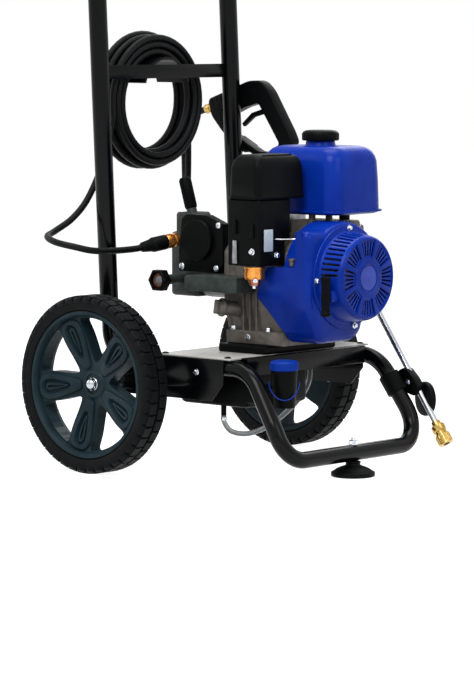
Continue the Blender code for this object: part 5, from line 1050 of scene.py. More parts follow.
# ---------------------------------------------------------------- camera, lights, floor
@dataclass
class Studio:
    """The white studio: the photograph's camera, soft lamps, a pale floor and the world."""

    eye: Vector = field(default_factory=lambda: Vector((-4.35163, -3.89839 + AXLE_Y, 0.76528)))  # the camera's place
    azimuth: float = -48.884  # how far it is turned from looking along +Y, in degrees
    pitch: float = 5.498  # how far it looks down, in degrees
    lens: float = 174.73  # its focal length in millimetres, on a sensor 36 mm high

    def build(self) -> None:
        """Sets the camera, the lamps, the floor and the world."""
        self.set_camera()
        self.set_lamps()
        self.set_floor()
        self.set_world()
        bpy.context.scene.view_settings.view_transform = "Standard"

    def set_camera(self) -> None:
        """Stands the camera where the photograph was taken from."""
        data = bpy.data.cameras.new("camera")
        data.sensor_fit = "VERTICAL"
        data.sensor_height = 36.0
        data.lens = self.lens
        data.clip_end = 60.0
        camera = linked("camera", data)
        camera.location = self.eye
        camera.rotation_euler = (math.pi / 2 - math.radians(self.pitch), 0.0, math.radians(self.azimuth))
        bpy.context.scene.camera = camera

    def set_lamps(self) -> None:
        """Hangs the soft boxes round the machine."""
        middle = Vector((0.0, 0.0, 0.35))
        lamps = (
            ("key", Vector((-2.6, -1.2, 3.2)), 2.0, 92.0),
            ("top", Vector((0.2, 0.2, 3.6)), 2.2, 66.0),
            ("front", Vector((-0.4, -3.4, 2.2)), 1.8, 24.0),
            ("far", Vector((3.0, 1.0, 2.2)), 2.0, 26.0),
            ("back", Vector((-1.5, 3.2, 2.0)), 2.0, 22.0),
        )
        for name, spot, size, power in lamps:
            data = bpy.data.lights.new(f"{name}_soft_box", "AREA")
            data.shape = "SQUARE"
            data.size = size
            data.energy = power
            lamp = linked(f"{name}_soft_box", data)
            lamp.location = spot
            lamp.rotation_euler = (spot - middle).to_track_quat("Z", "Y").to_euler()

    def seen_white(self, tree: bpy.types.NodeTree) -> bpy.types.NodeSocket:
        """One for rays that show the background: camera, glossy and transmission rays.

        Args:
            tree: the floor's or the world's tree.

        Returns:
            The factor's output.
        """
        path = add_node(tree, "ShaderNodeLightPath").outputs
        some = reckoned(tree, "MAXIMUM", path["Is Camera Ray"], path["Is Glossy Ray"])
        return reckoned(tree, "MAXIMUM", some, path["Is Transmission Ray"])

    def set_floor(self) -> None:
        """Lays the pale floor, which shows white and keeps the machine's shadow."""
        bm = bmesh.new()
        bmesh.ops.create_grid(bm, x_segments=1, y_segments=1, size=12.0)
        floor = mesh_piece("studio_floor", bm)
        material = bpy.data.materials.new("white_studio_floor")
        material.use_nodes = True
        tree = material.node_tree
        tree.nodes.clear()
        matt = add_node(tree, "ShaderNodeBsdfDiffuse", {"Color": (0.45, 0.45, 0.45, 1.0)}).outputs[0]
        glow = add_node(tree, "ShaderNodeEmission", {"Strength": 0.93}).outputs[0]
        both = add_node(tree, "ShaderNodeAddShader", {0: matt, 1: glow}).outputs[0]
        chosen = add_node(tree, "ShaderNodeMixShader", {0: self.seen_white(tree), 1: matt, 2: both}).outputs[0]
        add_node(tree, "ShaderNodeOutputMaterial", {"Surface": chosen})
        floor.data.materials.append(material)

    def set_world(self) -> None:
        """A white world for what shows it, and a softer one for its light."""
        world = bpy.data.worlds.new("white_studio")
        world.use_nodes = True
        bpy.context.scene.world = world
        tree = world.node_tree
        tree.nodes.clear()
        seen = self.seen_white(tree)
        strength = add_node(tree, "ShaderNodeMapRange", {"Value": seen, "To Min": 0.26, "To Max": 1.0}).outputs[0]
        sky = add_node(tree, "ShaderNodeBackground", {"Color": (1.0, 1.0, 1.0, 1.0), "Strength": strength})
        add_node(tree, "ShaderNodeOutputWorld", {"Surface": sky.outputs[0]})


# ---------------------------------------------------------------- hose
@dataclass
class PressureHose:
    """The high-pressure hose: out of its boot, round behind the pump, coiled on the hook and on to the gun."""

    radius: float = 0.00575
    layers: int = 4  # of the coil
    turns: float = 2.5  # in each layer
    pitch: float = 0.0125  # from one turn to the next
    inner: float = 0.085  # the innermost turn's radius
    steps: int = 48  # points in each turn
    back: float = 0.086  # how far behind the axle the first layer hangs
    coil_up: float = 0.62605  # the coil's middle height
    boot_radius: float = 0.013
    boot_length: float = 0.056

    def build(self) -> None:
        boot = self.boot()
        path = self.route()
        hose = eased(swept("pressure_hose", path, self.radius, 20), 0.0)
        settle(hose, HOSE_RUBBER, replaces=("pressure_hose_lower", "hose_coil", "pressure_hose_upper"))
        length = sum((b - a).length for a, b in zip(path, path[1:]))
        LOG.info("pressure_hose: %.3f m long", length)
        tuple(path[0])

    def boot_start(self) -> Vector:
        """Where the boot begins, clear of the coupler."""
        return place(*OUTLET_FOOT) + heading(OUTLET_SLOPE) * (0.002 + 0.028 + 2 * GAP)

    def boot(self) -> Piece:
        """The rubber boot over the hose's first fitting, ribbed where it bends.

        Returns:
            The piece.
        """
        wide, end, ribs = self.boot_radius, self.boot_length, 5
        profile = [(0.0, 0.0), (0.0, wide - 0.001), (0.001, wide), (end * 0.5, wide), (end * 0.54, wide - 0.0006)]
        for rib in range(ribs):
            share = rib / ribs
            along = end * (0.56 + 0.42 * share)
            thick = wide - 0.0016 - (wide - 0.0016 - self.radius - 0.0026) * share
            profile += [(along, thick), (along + 0.0028, thick - 0.0003), (along + 0.0034, thick - 0.0016)]
            profile.append((along + 0.0044, thick - 0.0018))
        profile += [(end, self.radius + 0.0008), (end, 0.0)]
        boot = turned("hose_boot_rubber", profile, self.boot_start(), heading(OUTLET_SLOPE), 56)
        return settle(eased(boot, 0.0003, 2, 40.0), SOFT_RUBBER, replaces=("hose_boot",))

    def coil(self) -> list[Vector]:
        """The coil's middle line: flat spirals in and out, a layer further back each time.

        Returns:
            Its points.
        """
        outer = self.inner + self.turns * self.pitch
        path = []
        for step in range(int((self.layers * self.turns + 0.5) * self.steps) + 1):
            turn = step / self.steps
            layer = min(int(turn / self.turns), self.layers - 1)
            into = turn - layer * self.turns
            radius = outer - self.pitch * (into if layer % 2 == 0 else self.turns - into)
            nearest = round(turn / self.turns)
            off = turn - nearest * self.turns
            depth: float = layer
            if 0 < nearest < self.layers and abs(off) < 0.25:
                depth = nearest - 0.5 + off / 0.5
            angle = math.pi - 2 * math.pi * turn
            up = self.coil_up + radius * math.sin(angle)
            path.append(place(radius * math.cos(angle), -self.back - depth * self.pitch, up))
        return path

    def route(self) -> list[Vector]:
        """The hose's whole middle line, from the boot to the gun.

        Returns:
            Its points.
        """
        coil = self.coil()
        slope = heading(OUTLET_SLOPE)
        straight, bend = 2 * self.radius, 8 * self.radius
        start = self.boot_start() + slope * (self.boot_length + GAP)
        end = coil[0] - UP * (straight + GAP)
        first = [start, start + slope * straight, place(-0.18, -0.016, 0.3755)]
        for step in range(5):
            angle = math.radians(-90 + 45 * step)
            across, ahead = -0.238 - bend * math.cos(angle), -0.062 - bend * math.sin(angle)
            first.append(place(across, ahead, 0.378 + 0.03 * step / 4))
        first += [place(-0.196, -0.1055, 0.429), place(-0.16, -0.102, 0.464)]
        first += [end + Vector((-0.012, 0.009, -0.085)), end - UP * straight, end]

        gun = SprayGun()
        inlet, way = gun.inlet_end(), gun.grip_way()
        leave = coil[-1] - UP * (straight + GAP)
        last = [leave, leave - UP * straight, leave - UP * 0.05]
        rise = inlet + Vector((0.0, bend + 0.008, 0.0))
        middle = Vector(((leave.x + rise.x) / 2, (leave.y + rise.y) / 2, leave.z - 0.1))
        reach = Vector((rise.x - middle.x, rise.y - middle.y, 0.0))
        for step in range(5):
            angle = math.radians(180 - 45 * step)
            last.append(middle + reach * math.cos(angle) - UP * reach.length * math.sin(angle))
        last += [rise - UP * bend * 1.3, inlet + way * bend * 0.85 - UP * bend * 0.12]
        last += [inlet + way * straight, inlet]
        return [*flowing(first, 0.006), *coil, *flowing(last, 0.006)]


# ---------------------------------------------------------------- wheels
@dataclass
class Wheel:
    """One wheel: a five-spoked moulded rim, a solid treaded tyre, and the cap nut on the axle's end."""

    side: int  # -1 for the right wheel, 1 for the left
    track: float = 0.514  # between the two wheels' middles
    tyre_radius: float = 0.1525  # also the axle's height
    tyre_width: float = 0.0515
    seat: float = 0.1212  # the radius where the tyre sits on the rim
    rim_half: float = 0.0235  # half the rim's width
    lip: float = 0.0046  # how far the rim's lips stand above the seat
    web_half: float = 0.012  # half the spokes' thickness
    relief: float = 0.0048  # how far the spokes' faces stand out of the web
    spokes: int = 5
    spoke_half: float = 0.0262  # half a spoke's width
    spoke_turn: float = 42.0  # the first spoke's angle, in degrees
    dish: float = 0.013  # how much deeper the spokes lie at the hub than at the barrel
    dish_reach: float = 0.11  # the radius where the dish begins
    dish_run: float = 0.084  # how far in it goes on
    lugs: int = 44  # tread blocks in each row
    hollow: Sequence[Point2] = tuple(mm(48, 5, 80, 12.5, 100, 13, 107.5, 6))  # half the recess in a spoke

    @property
    def word(self) -> str:
        """The side's name."""
        return "left" if self.side > 0 else "right"

    @property
    def hub(self) -> Vector:
        """The wheel's middle."""
        return place(self.side * self.track / 2, 0.0, self.tyre_radius)

    @property
    def outward(self) -> Vector:
        """The way from the machine to the wheel's outer face."""
        return LEFT * self.side

    def build(self) -> None:
        """Makes the rim, the tyre and the cap nut."""
        body = f"wheel_{self.word}"
        settle(self.rim(), RIM_PLASTIC, body, (f"wheel_rim_{self.word}",))
        settle(self.tyre(), TYRE_RUBBER, body, (f"tyre_{self.word}",))
        settle(self.cap_nut(), CHROME_PLATE, "trolley", (f"axle_nut_{self.word}",))

    def spoke_frame(self) -> Matrix:
        """Where a shape goes that is drawn along X for the first spoke, with Z along the axle outwards."""
        angle = math.radians(self.spoke_turn)
        return frame_at(self.hub, Vector((0.0, -math.cos(angle), math.sin(angle))), self.outward)

    def sunk(self, radius: float) -> float:
        """How far the dished spokes lie inside their outer ends' level at a radius."""
        return self.dish * min(max((self.dish_reach - radius) / self.dish_run, 0.0), 1.0)

    def lobe(self, name: str, half: Sequence[Point2], levels: Sequence[Point2]) -> Piece:
        """A raised or sunk shape, the same on both sides of a spoke's middle.

        Args:
            name: the object's name.
            half: its outline's points on one side, as (along, off).
            levels: (height, inset) pairs from one face to the other, the heights from the spokes' faces.

        Returns:
            The object, drawn along X.
        """
        outline = rounded([*half, *((along, -off) for along, off in reversed(half) if off > 0)], 0.009, 4)
        top = self.web_half + self.relief
        middle = sum(along for along, _ in outline) / len(outline)
        length = max(along for along, _ in outline) - middle
        width = max(off for _, off in outline)
        sections = []
        for height, inset in levels:
            across, wide = 1 - inset / length, 1 - inset / width
            spots = [(middle + (u - middle) * across, v * wide) for u, v in outline]
            slope = self.dish / self.dish_run
            sections.append([Vector((u, v, top + height - slope * (self.dish_reach - u))) for u, v in spots])
        return skin(name, sections)

    def petals(self) -> Piece:
        """The spokes' raised faces, each with a recess, an inner bar in it and a slit in the bar.

        Returns:
            All of them in one object.
        """
        raised = mm(27, 8.5, 56, 16.5, 86, 23.8, 106, 22.5, 115, 12)
        face = self.lobe("petal", raised, mm(-14.8, 0, -3.6, 0, -1.8, 0.6, -0.6, 1.9, 0, 3.6))
        face = carve(face, Cut.AWAY, self.lobe("hollow", self.hollow, mm(-7, 2.6, -1.8, 0.4, 3, -1.6)))
        inner = self.lobe("inner_bar", mm(56, 2.2, 82, 6.8, 98.5, 7, 103, 3), mm(-9, 0, -4, 0, -2.6, 1.4))
        slit = self.lobe("slit", mm(62, 0.6, 80, 2, 98, 2.2), mm(-8.5, 0, 2, 0))
        inner = carve(inner, Cut.AWAY, slit)
        return ring_of(gathered("petals", face, inner), self.spokes, self.spoke_frame())

    def rim(self) -> Piece:
        """The rim: barrel, web with a window between each two spokes, raised spoke faces and stepped hub.

        Returns:
            The piece.
        """
        half, lip_radius, web = self.rim_half, self.seat + self.lip, self.web_half
        inner = self.seat - 0.005
        barrel = [(-half, lip_radius - 0.001), (-half + 0.001, lip_radius), (-half + 0.0026, lip_radius)]
        barrel += [(-half + 0.0034, self.seat), (half - 0.0034, self.seat), (half - 0.0026, lip_radius)]
        barrel += [(half - 0.001, lip_radius), (half, lip_radius - 0.001), (half, inner + 0.0042)]
        barrel += [(half - 0.0012, inner + 0.003), (web + 0.002, inner), (-web, inner)]
        barrel += [(-half + 0.001, inner + 0.0022), (-half, inner + 0.0032)]
        rim = turned("rim_barrel", barrel, self.hub, self.outward, 112, loop=True)
        radii = (0.0, 0.026, 0.04, 0.054, 0.068, 0.082, 0.096, 0.11, inner + 0.002)
        disc = [(-web - self.sunk(radius), radius) for radius in radii]
        disc += [(web - self.sunk(radius), radius) for radius in reversed(radii)]
        disc_piece = turned("web", disc, self.hub, self.outward, 112)
        # Each window lies between two spokes: its sides follow them and its outer side follows the barrel.
        edge = math.pi / self.spokes
        cos, sin = math.cos(edge), math.sin(edge)
        sides = ((0.046, 0.0205), (0.084, self.spoke_half), (0.113, 0.0252))
        side = [(along * cos + off * sin, off * cos - along * sin) for along, off in sides]
        outer = [math.radians(t) for t in (-12, -4, 4, 12)]
        arc = [(0.1142 * math.cos(t), 0.1142 * math.sin(t)) for t in outer]
        corners = [(0.0335, 0.0), *side, *arc, *((u, -v) for u, v in reversed(side))]
        window = stacked("window", rounded(corners, 0.012, 5), (-0.05, 1.0), (0.03, 1.0))
        windows = ring_of(window, self.spokes, self.spoke_frame() @ Matrix.Rotation(edge, 4, "Z"))
        hollow = self.lobe("hollow", self.hollow, mm(-7.5, 2.6, 3, -1.6))
        hollows = ring_of(hollow, self.spokes, self.spoke_frame())
        disc_piece = carve(disc_piece, Cut.AWAY, windows, hollows)
        boss = mm(-28, 0, -28, 24.5, -26.5, 26, 12, 26, 15, 22.5, 15, 17.5, 12.8, 16, 12.8, 13, 14, 12, 14, 0)
        deep = self.hub - self.outward * self.dish
        rim = carve(rim, Cut.ONTO, disc_piece, turned("boss", boss, deep, self.outward, 72))
        bore = rod("bore", self.hub - self.outward * 0.05, self.hub + self.outward * 0.05, 0.0079, 32)
        rim = eased(carve(rim, Cut.AWAY, bore), 0.0016, 3, 38.0)
        return eased(gathered(f"rim_{self.word}", rim, self.petals()), 0.0, smooth=45.0)

    def tyre(self) -> Piece:
        """The solid tyre: its ring, two rows of tread blocks and the shoulder ribs.

        Returns:
            The piece.
        """
        top, floor = self.tyre_radius, self.tyre_radius - 0.0042
        wide, lip_radius = self.tyre_width / 2, self.seat + self.lip
        section = [(0.0195, self.seat + GAP), (0.0202, lip_radius + GAP), (0.0236, lip_radius + 0.0022)]
        section += [(wide - 0.0012, lip_radius + 0.0052), (wide - 0.0008, floor - 0.006)]
        section += [(wide - 0.0022, floor - 0.0022), (wide - 0.0062, floor)]
        ring = section + [(-along, radius) for along, radius in reversed(section)]
        parts = [turned("carcass", ring, self.hub, self.outward, 112, loop=True)]
        matrix = frame_at(self.hub, UP, self.outward)
        pitch = 2 * math.pi / self.lugs
        half, rib_half, slant = pitch * top * 0.5 - 0.0013, pitch * top * 0.5 - 0.0022, 0.0014
        rib = [(floor - 0.0085, wide - 0.0035), (floor - 0.0085, wide - 0.0002), (floor - 0.0012, wide - 0.0004)]
        rib += [(top - 0.0022, wide - 0.0042), (top - 0.0022, wide - 0.0078), (floor - 0.002, wide - 0.0078)]
        for row, turn in ((-1, 0.0), (1, 0.5)):
            levels = []
            for level, pull in ((floor - 0.002, 0.0), (top - 0.0009, 0.0), (top - 0.00012, 0.0008)):
                chevron = ((0.0018 + pull, slant), (0.01, 0.0), (0.0205 - pull, slant))
                spots = [(along, off - half + pull) for along, off in chevron]
                spots += [(along, off + half - pull) for along, off in reversed(chevron)]
                levels.append([Vector((math.sqrt(level**2 - off**2), off, row * along)) for along, off in spots])
            parts.append(ring_of(eased(skin("lug", levels), 0.0), self.lugs, matrix, turn * pitch))
            ends = [[Vector((r, off, row * along)) for r, along in rib] for off in (-rib_half, rib_half)]
            shoulder = eased(skin("shoulder", ends), 0.0004, 1)
            parts.append(ring_of(shoulder, self.lugs, matrix, (turn + 0.18) * pitch))
        return eased(gathered(f"tyre_{self.word}_rubber", *parts), 0.0, smooth=35.0)

    def cap_nut(self) -> Piece:
        """The domed cap nut: a hexagon under a polished dome.

        Returns:
            The piece.
        """
        seat = self.hub + self.outward * (0.0143 - self.dish)
        dome = mm(0, 0, 0, 11.2, 1, 11.5, 1.8, 10.4, 5, 10)
        dome += [(0.005 + 0.0078 * math.sin(t), 0.0098 * math.cos(t)) for t in (0.15, 0.45, 0.75, 1.05, 1.3)]
        nut = turned("dome", [*dome, (0.0128, 0.0)], seat, self.outward, 48)
        levels = ((0.0014, 0.95), (0.002, 1.0), (0.0054, 1.0), (0.0062, 0.9))
        flats = moved(stacked("hexagon", hexagon(0.0113), *levels), frame_at(seat, UP, self.outward))
        return eased(gathered(f"cap_nut_{self.word}", nut, flats), 0.0003, 2, 30.0)


# ---------------------------------------------------------------- trolley
@dataclass
class Trolley:
    """The trolley: bent frame, handle with its grip and hose hook, deck, side panels, axle and foot."""

    tube: float = 0.014  # the frame tube's radius
    half_width: float = 0.17  # from the middle to a rail's middle
    axle_up: float = 0.1525
    socket_up: float = 0.3297  # where the frame ends inside the handle's posts
    rail_up: float = 0.188
    rail_front: float = 0.275  # how far ahead the rails turn down
    knee: Point3 = (0.179, 0.34, 0.0925)  # where the left front leg splays
    foot_ahead: float = 0.361  # how far ahead the foot bar lies
    bar_up: float = 0.04  # the foot bar's height
    deck_top: float = 0.2053  # where the heads of the deck's bolts sit
    handle_tube: float = 0.016  # its radius
    handle_bottom: float = 0.252  # where its posts begin
    handle_back: float = 0.043  # how far behind the axle they begin
    handle_top: float = 1.0
    lean: float = 2.8  # how far it leans back, in degrees
    hook_up: float = 0.68  # the hose hook's height

    def post(self, across: float, up: float) -> Vector:
        """The point of the handle's leaning plane this far to the left and up."""
        return place(across, -self.post_back(up), up)

    def post_back(self, up: float) -> float:
        """How far behind the axle the handle's posts lie at a height."""
        return self.handle_back + (up - self.handle_bottom) * math.tan(math.radians(self.lean))

    def build(self) -> None:
        """Makes every piece of the trolley."""
        self.build_frame()
        self.build_handle()
        self.build_deck()
        self.build_foot()
        self.build_hook()
        self.build_axle()

    def build_axle(self) -> None:
        """The axle through the wheels, with a spacer inside each."""
        half = mm(187.1, 7.6, 187.1, 11, 215.5, 11, 215.5, 7.6, 264, 7.6, 265, 6.6, 265, 0)
        profile = [(-along, radius) for along, radius in reversed(half)] + half
        axle = turned("axle_bar", profile, place(0.0, 0.0, self.axle_up), LEFT, 48)
        settle(eased(axle, 0.0), GROUND_STEEL, replaces=("axle",))

    def build_frame(self) -> None:
        """The lower frame, one bent tube, and the side panels' bolts."""
        half = self.half_width
        side = [
            self.post(half, self.socket_up),
            self.post(half, self.rail_up),
            place(half, self.rail_front + 0.002, self.rail_up),
            place(*self.knee),
            place(half + 0.004, self.foot_ahead, self.bar_up),
        ]
        corners = [Vector((-point.x, point.y, point.z)) for point in side] + side[::-1]
        path = bent(corners, [0.052, 0.066, 0.1, 0.05, 0.05, 0.1, 0.066, 0.052])
        settle(eased(swept("frame", path, self.tube, 40), 0.0), BLACK_POWDER_COAT, replaces=("frame_tube",))
        bolts = [(place(s * 0.1869, ahead, 0.179), LEFT * s) for s in (-1, 1) for ahead in (0.045, 0.173)]
        fasten("panel_bolts", Fastener.FLANGE_BOLT, 0.0052, bolts)

    def build_handle(self) -> None:
        """The handle's bent tube, its foam grip, and the bolts through its feet."""
        bar, half = self.handle_top - self.handle_tube, self.half_width
        corners = [self.post(-half, self.handle_bottom), self.post(-half, bar)]
        corners += [self.post(half, bar), self.post(half, self.handle_bottom)]
        handle = swept("handle", bent(corners, [0.06, 0.06]), self.handle_tube, 40)
        settle(eased(handle, 0.0006, 2, 50.0), BLACK_POWDER_COAT, replaces=("handle_tube",))
        sleeve = mm(-105, 16.28, -105, 19, -103.8, 20.2, 103.8, 20.2, 105, 19, 105, 16.28)
        grip = turned("grip_foam", sleeve, self.post(0.0, bar), LEFT, 56, loop=True)
        settle(eased(grip, 0.0), FOAM_RUBBER, replaces=("handle_grip",))
        reach, up = half + self.handle_tube - 0.0004, self.handle_bottom + 0.03
        spots = [(self.post(sign * reach, up), LEFT * sign) for sign in (-1, 1)]
        fasten("handle_bolts", Fastener.CARRIAGE_BOLT, 0.0068, spots, BLACK_NYLON)

    def build_deck(self) -> None:
        """The deck plate, the side panels, the crossmember and their bolts."""
        dress("deck_plate", GREY_PAINT, 0.0006)
        corner = mm(232, 210, 260, 210, 260, 120, 204, 120, 204, 130, 232, 162)
        for word in ("right", "left"):
            node = f"side_panel_{word}"
            panel = carve(solid_copy(node, 0.0), Cut.AWAY, prism("corner", corner, "across", -0.2, 0.2))
            settle(eased(panel, 0.0007), BLACK_POWDER_COAT, replaces=(node,))
        channel = mm(245.3, 174.5, 245.3, 205, 260.3, 205, 260.3, 174.5, 257.3, 174.5, 257.3, 202)
        channel += mm(248.3, 202, 248.3, 174.5)
        bar = prism("crossmember", channel, "across", -0.1557, 0.1557)
        settle(eased(bar, 0.0008, 2), BLACK_POWDER_COAT, replaces=("front_crossmember",))
        spots = [(place(x, a, self.deck_top), UP) for x in (-0.176, 0.176) for a in (0.092, 0.233)]
        fasten("deck_bolts", Fastener.CARRIAGE_BOLT, 0.0062, spots, BLACK_POWDER_COAT)

    def build_foot(self) -> None:
        """The rubber foot under the front bar, and its nut."""
        profile = mm(0, 0, 0, 35, 0.6, 36.6, 2, 37.5, 6.2, 37.5, 7.8, 36.8, 8.8, 34.5, 10, 32.5, 13, 28.5)
        profile += mm(15.8, 22.5, 17.6, 17.2, 18.6, 14.6, 19.2, 12.8, 22.6, 12.2, 23.6, 13.2, 25.2, 13.2)
        profile += mm(25.7, 12.5, 25.7, 0)
        foot = turned("foot_rubber", profile, place(0.0, self.foot_ahead, 0.0), UP, 72)
        settle(eased(foot, 0.0, smooth=50.0), SOFT_RUBBER, replaces=("rubber_foot",))
        top = place(0.0, self.foot_ahead, self.bar_up + self.tube + GAP)
        washer = turned("washer", mm(0, 0, 0, 8.5, 1.2, 8.5, 1.2, 0), top - UP * 0.0002, UP, 32)
        nut = moved(fastener(Fastener.HEX_NUT, 0.0074), Matrix.Translation(top + UP * 0.001))
        settle(eased(gathered("foot_nut", washer, nut), 0.0), ZINC_PLATE, replaces=("foot_bolt",))

    def build_hook(self) -> None:
        """The hose hook: a bar across the posts with a half drum and its lip."""
        back = self.post_back(self.hook_up)
        half = self.half_width - self.handle_tube - GAP
        outline = oblong((0.0, self.hook_up), 2 * half, 0.024, 0.001, 2)
        hook = prism("hook", outline, "ahead", -back - 0.002, -back + 0.002)
        end, drum_up = back + 0.072, self.hook_up - 0.035
        arc = [math.radians(15 + 150 * n / 40) for n in range(41)]
        rings = []
        for inner, outer, begin, finish_at in (
            (0.056, 0.06, back - 0.001, end),
            (0.0555, 0.076, end - 0.003, end + 0.0005),
        ):
            ring = [(outer * math.cos(t), drum_up + outer * math.sin(t)) for t in arc]
            ring += [(inner * math.cos(t), drum_up + inner * math.sin(t)) for t in reversed(arc)]
            rings.append(prism("ring", ring, "ahead", -finish_at, -begin))
        hook = carve(hook, Cut.ONTO, *rings)
        settle(eased(hook, 0.0009, 2, 40.0), BLACK_POWDER_COAT, replaces=("hose_hook",))


# ---------------------------------------------------------------- detergent
@dataclass
class DetergentKit:
    """The detergent tank with its filler cup and cap, and the clear siphon hose."""

    cup: Point2 = (-0.124, 0.3132)  # the cup's middle, across and ahead
    cup_top: float = 0.186
    cap_radius: float = 0.0236  # without its ridges
    cap_height: float = 0.0175
    nipple: Point3 = (-0.128, 0.182, 0.1007)  # the end of the tank's nipple
    hose_radius: float = 0.0045
    hose_ahead: float = 0.004  # where the hose meets the pump, ahead and up
    hose_up: float = 0.322

    def build(self) -> None:
        """Makes the tank, the strap, the cap and the hose."""
        tank = solid_copy("detergent_tank", 0.0012, 3)
        profile = mm(-58, 0, -58, 16.5, -56, 18, -3, 22.1, 0, 22.2, 0, 16, -10, 15.8, -10, 0)
        cup = turned("cup", profile, place(*self.cup, self.cup_top), UP, 64)
        settle(gathered("detergent_tank_look", tank, cup), BLACK_NYLON, replaces=("detergent_tank",))
        self.build_strap()
        self.build_cap()
        self.build_hose()

    def build_strap(self) -> None:
        """The cap's strap, which hangs in a loop round the cup's near front."""
        strap = []
        for step in range(33):
            turn = math.radians(-100 + 6.25 * step)
            up = 0.1385 + 0.024 * (1 - math.cos(turn))
            reach = 0.0205 + 0.0225 * (up - 0.124) / 0.186
            angle = turn + math.radians(221)
            strap.append(place(*self.cup, up) + Vector((math.cos(angle), math.sin(angle), 0.0)) * reach)
        settle(eased(swept("cap_strap", strap, 0.001, 10), 0.0), BLUE_CAP)

    def build_cap(self) -> None:
        """The knurled blue cap and its crowned top."""
        seat = place(*self.cup, self.cup_top + GAP)
        wide, high = self.cap_radius, self.cap_height
        crown = shifted(mm(-4.2, 0, -1.8, -2.2, -0.6, -6, 0, -12), high, wide)
        profile = [(0.0, 0.0), (0.0, wide - 0.0016), (0.0012, wide), *crown, (high, 0.0)]
        cap = turned("cap", profile, seat, UP, 84)
        ridge = shifted(mm(-1, -0.8, 0.6, -0.4, 0.6, 0.4, -1, 0.8), wide)
        ridges = knurl(ridge, (0.0018, high - 0.0046), 48, frame_at(seat, LEFT, UP))
        cap = gathered("detergent_cap_blue", cap, ridges)
        settle(eased(cap, 0.0), BLUE_CAP, "detergent_filler_cap", ("detergent_cap",))

    def build_hose(self) -> None:
        """The clear hose from the tank's nipple under the frame and up to the pump, with its two clips."""
        start = place(*self.nipple)
        middle = [(-0.116, 0.187, 0.074), (-0.082, 0.19, 0.066), (-0.043, 0.19, 0.069), (0.002, 0.19, 0.082)]
        middle += [(0.06, 0.189, 0.112), (0.095, 0.184, 0.142), (0.108, 0.175, 0.178), (0.108, 0.172, 0.2053)]
        middle += [(0.107, 0.16, 0.245), (0.1, 0.12, 0.282), (0.086, 0.07, 0.306), (0.074, 0.03, 0.322)]
        middle += [(0.056, self.hose_ahead, self.hose_up), (0.0383, self.hose_ahead, self.hose_up)]
        route = [start, start - UP * 0.009, *(place(*point) for point in middle)]
        hose = swept("siphon_hose", flowing(route, 0.006), self.hose_radius, 24)
        settle(eased(hose, 0.0), CLEAR_VINYL, replaces=("detergent_hose",))
        section = mm(-3, 4.6, -3, 5.6, 3, 5.6, 3, 4.6)
        for name, spot, way in (
            ("band", place(-0.128, 0.182, 0.096), UP),
            ("hose_clip", place(0.05, self.hose_ahead, self.hose_up), LEFT),
        ):
            settle(eased(turned(name, section, spot, way, 32, loop=True), 0.0004), ZINC_PLATE)


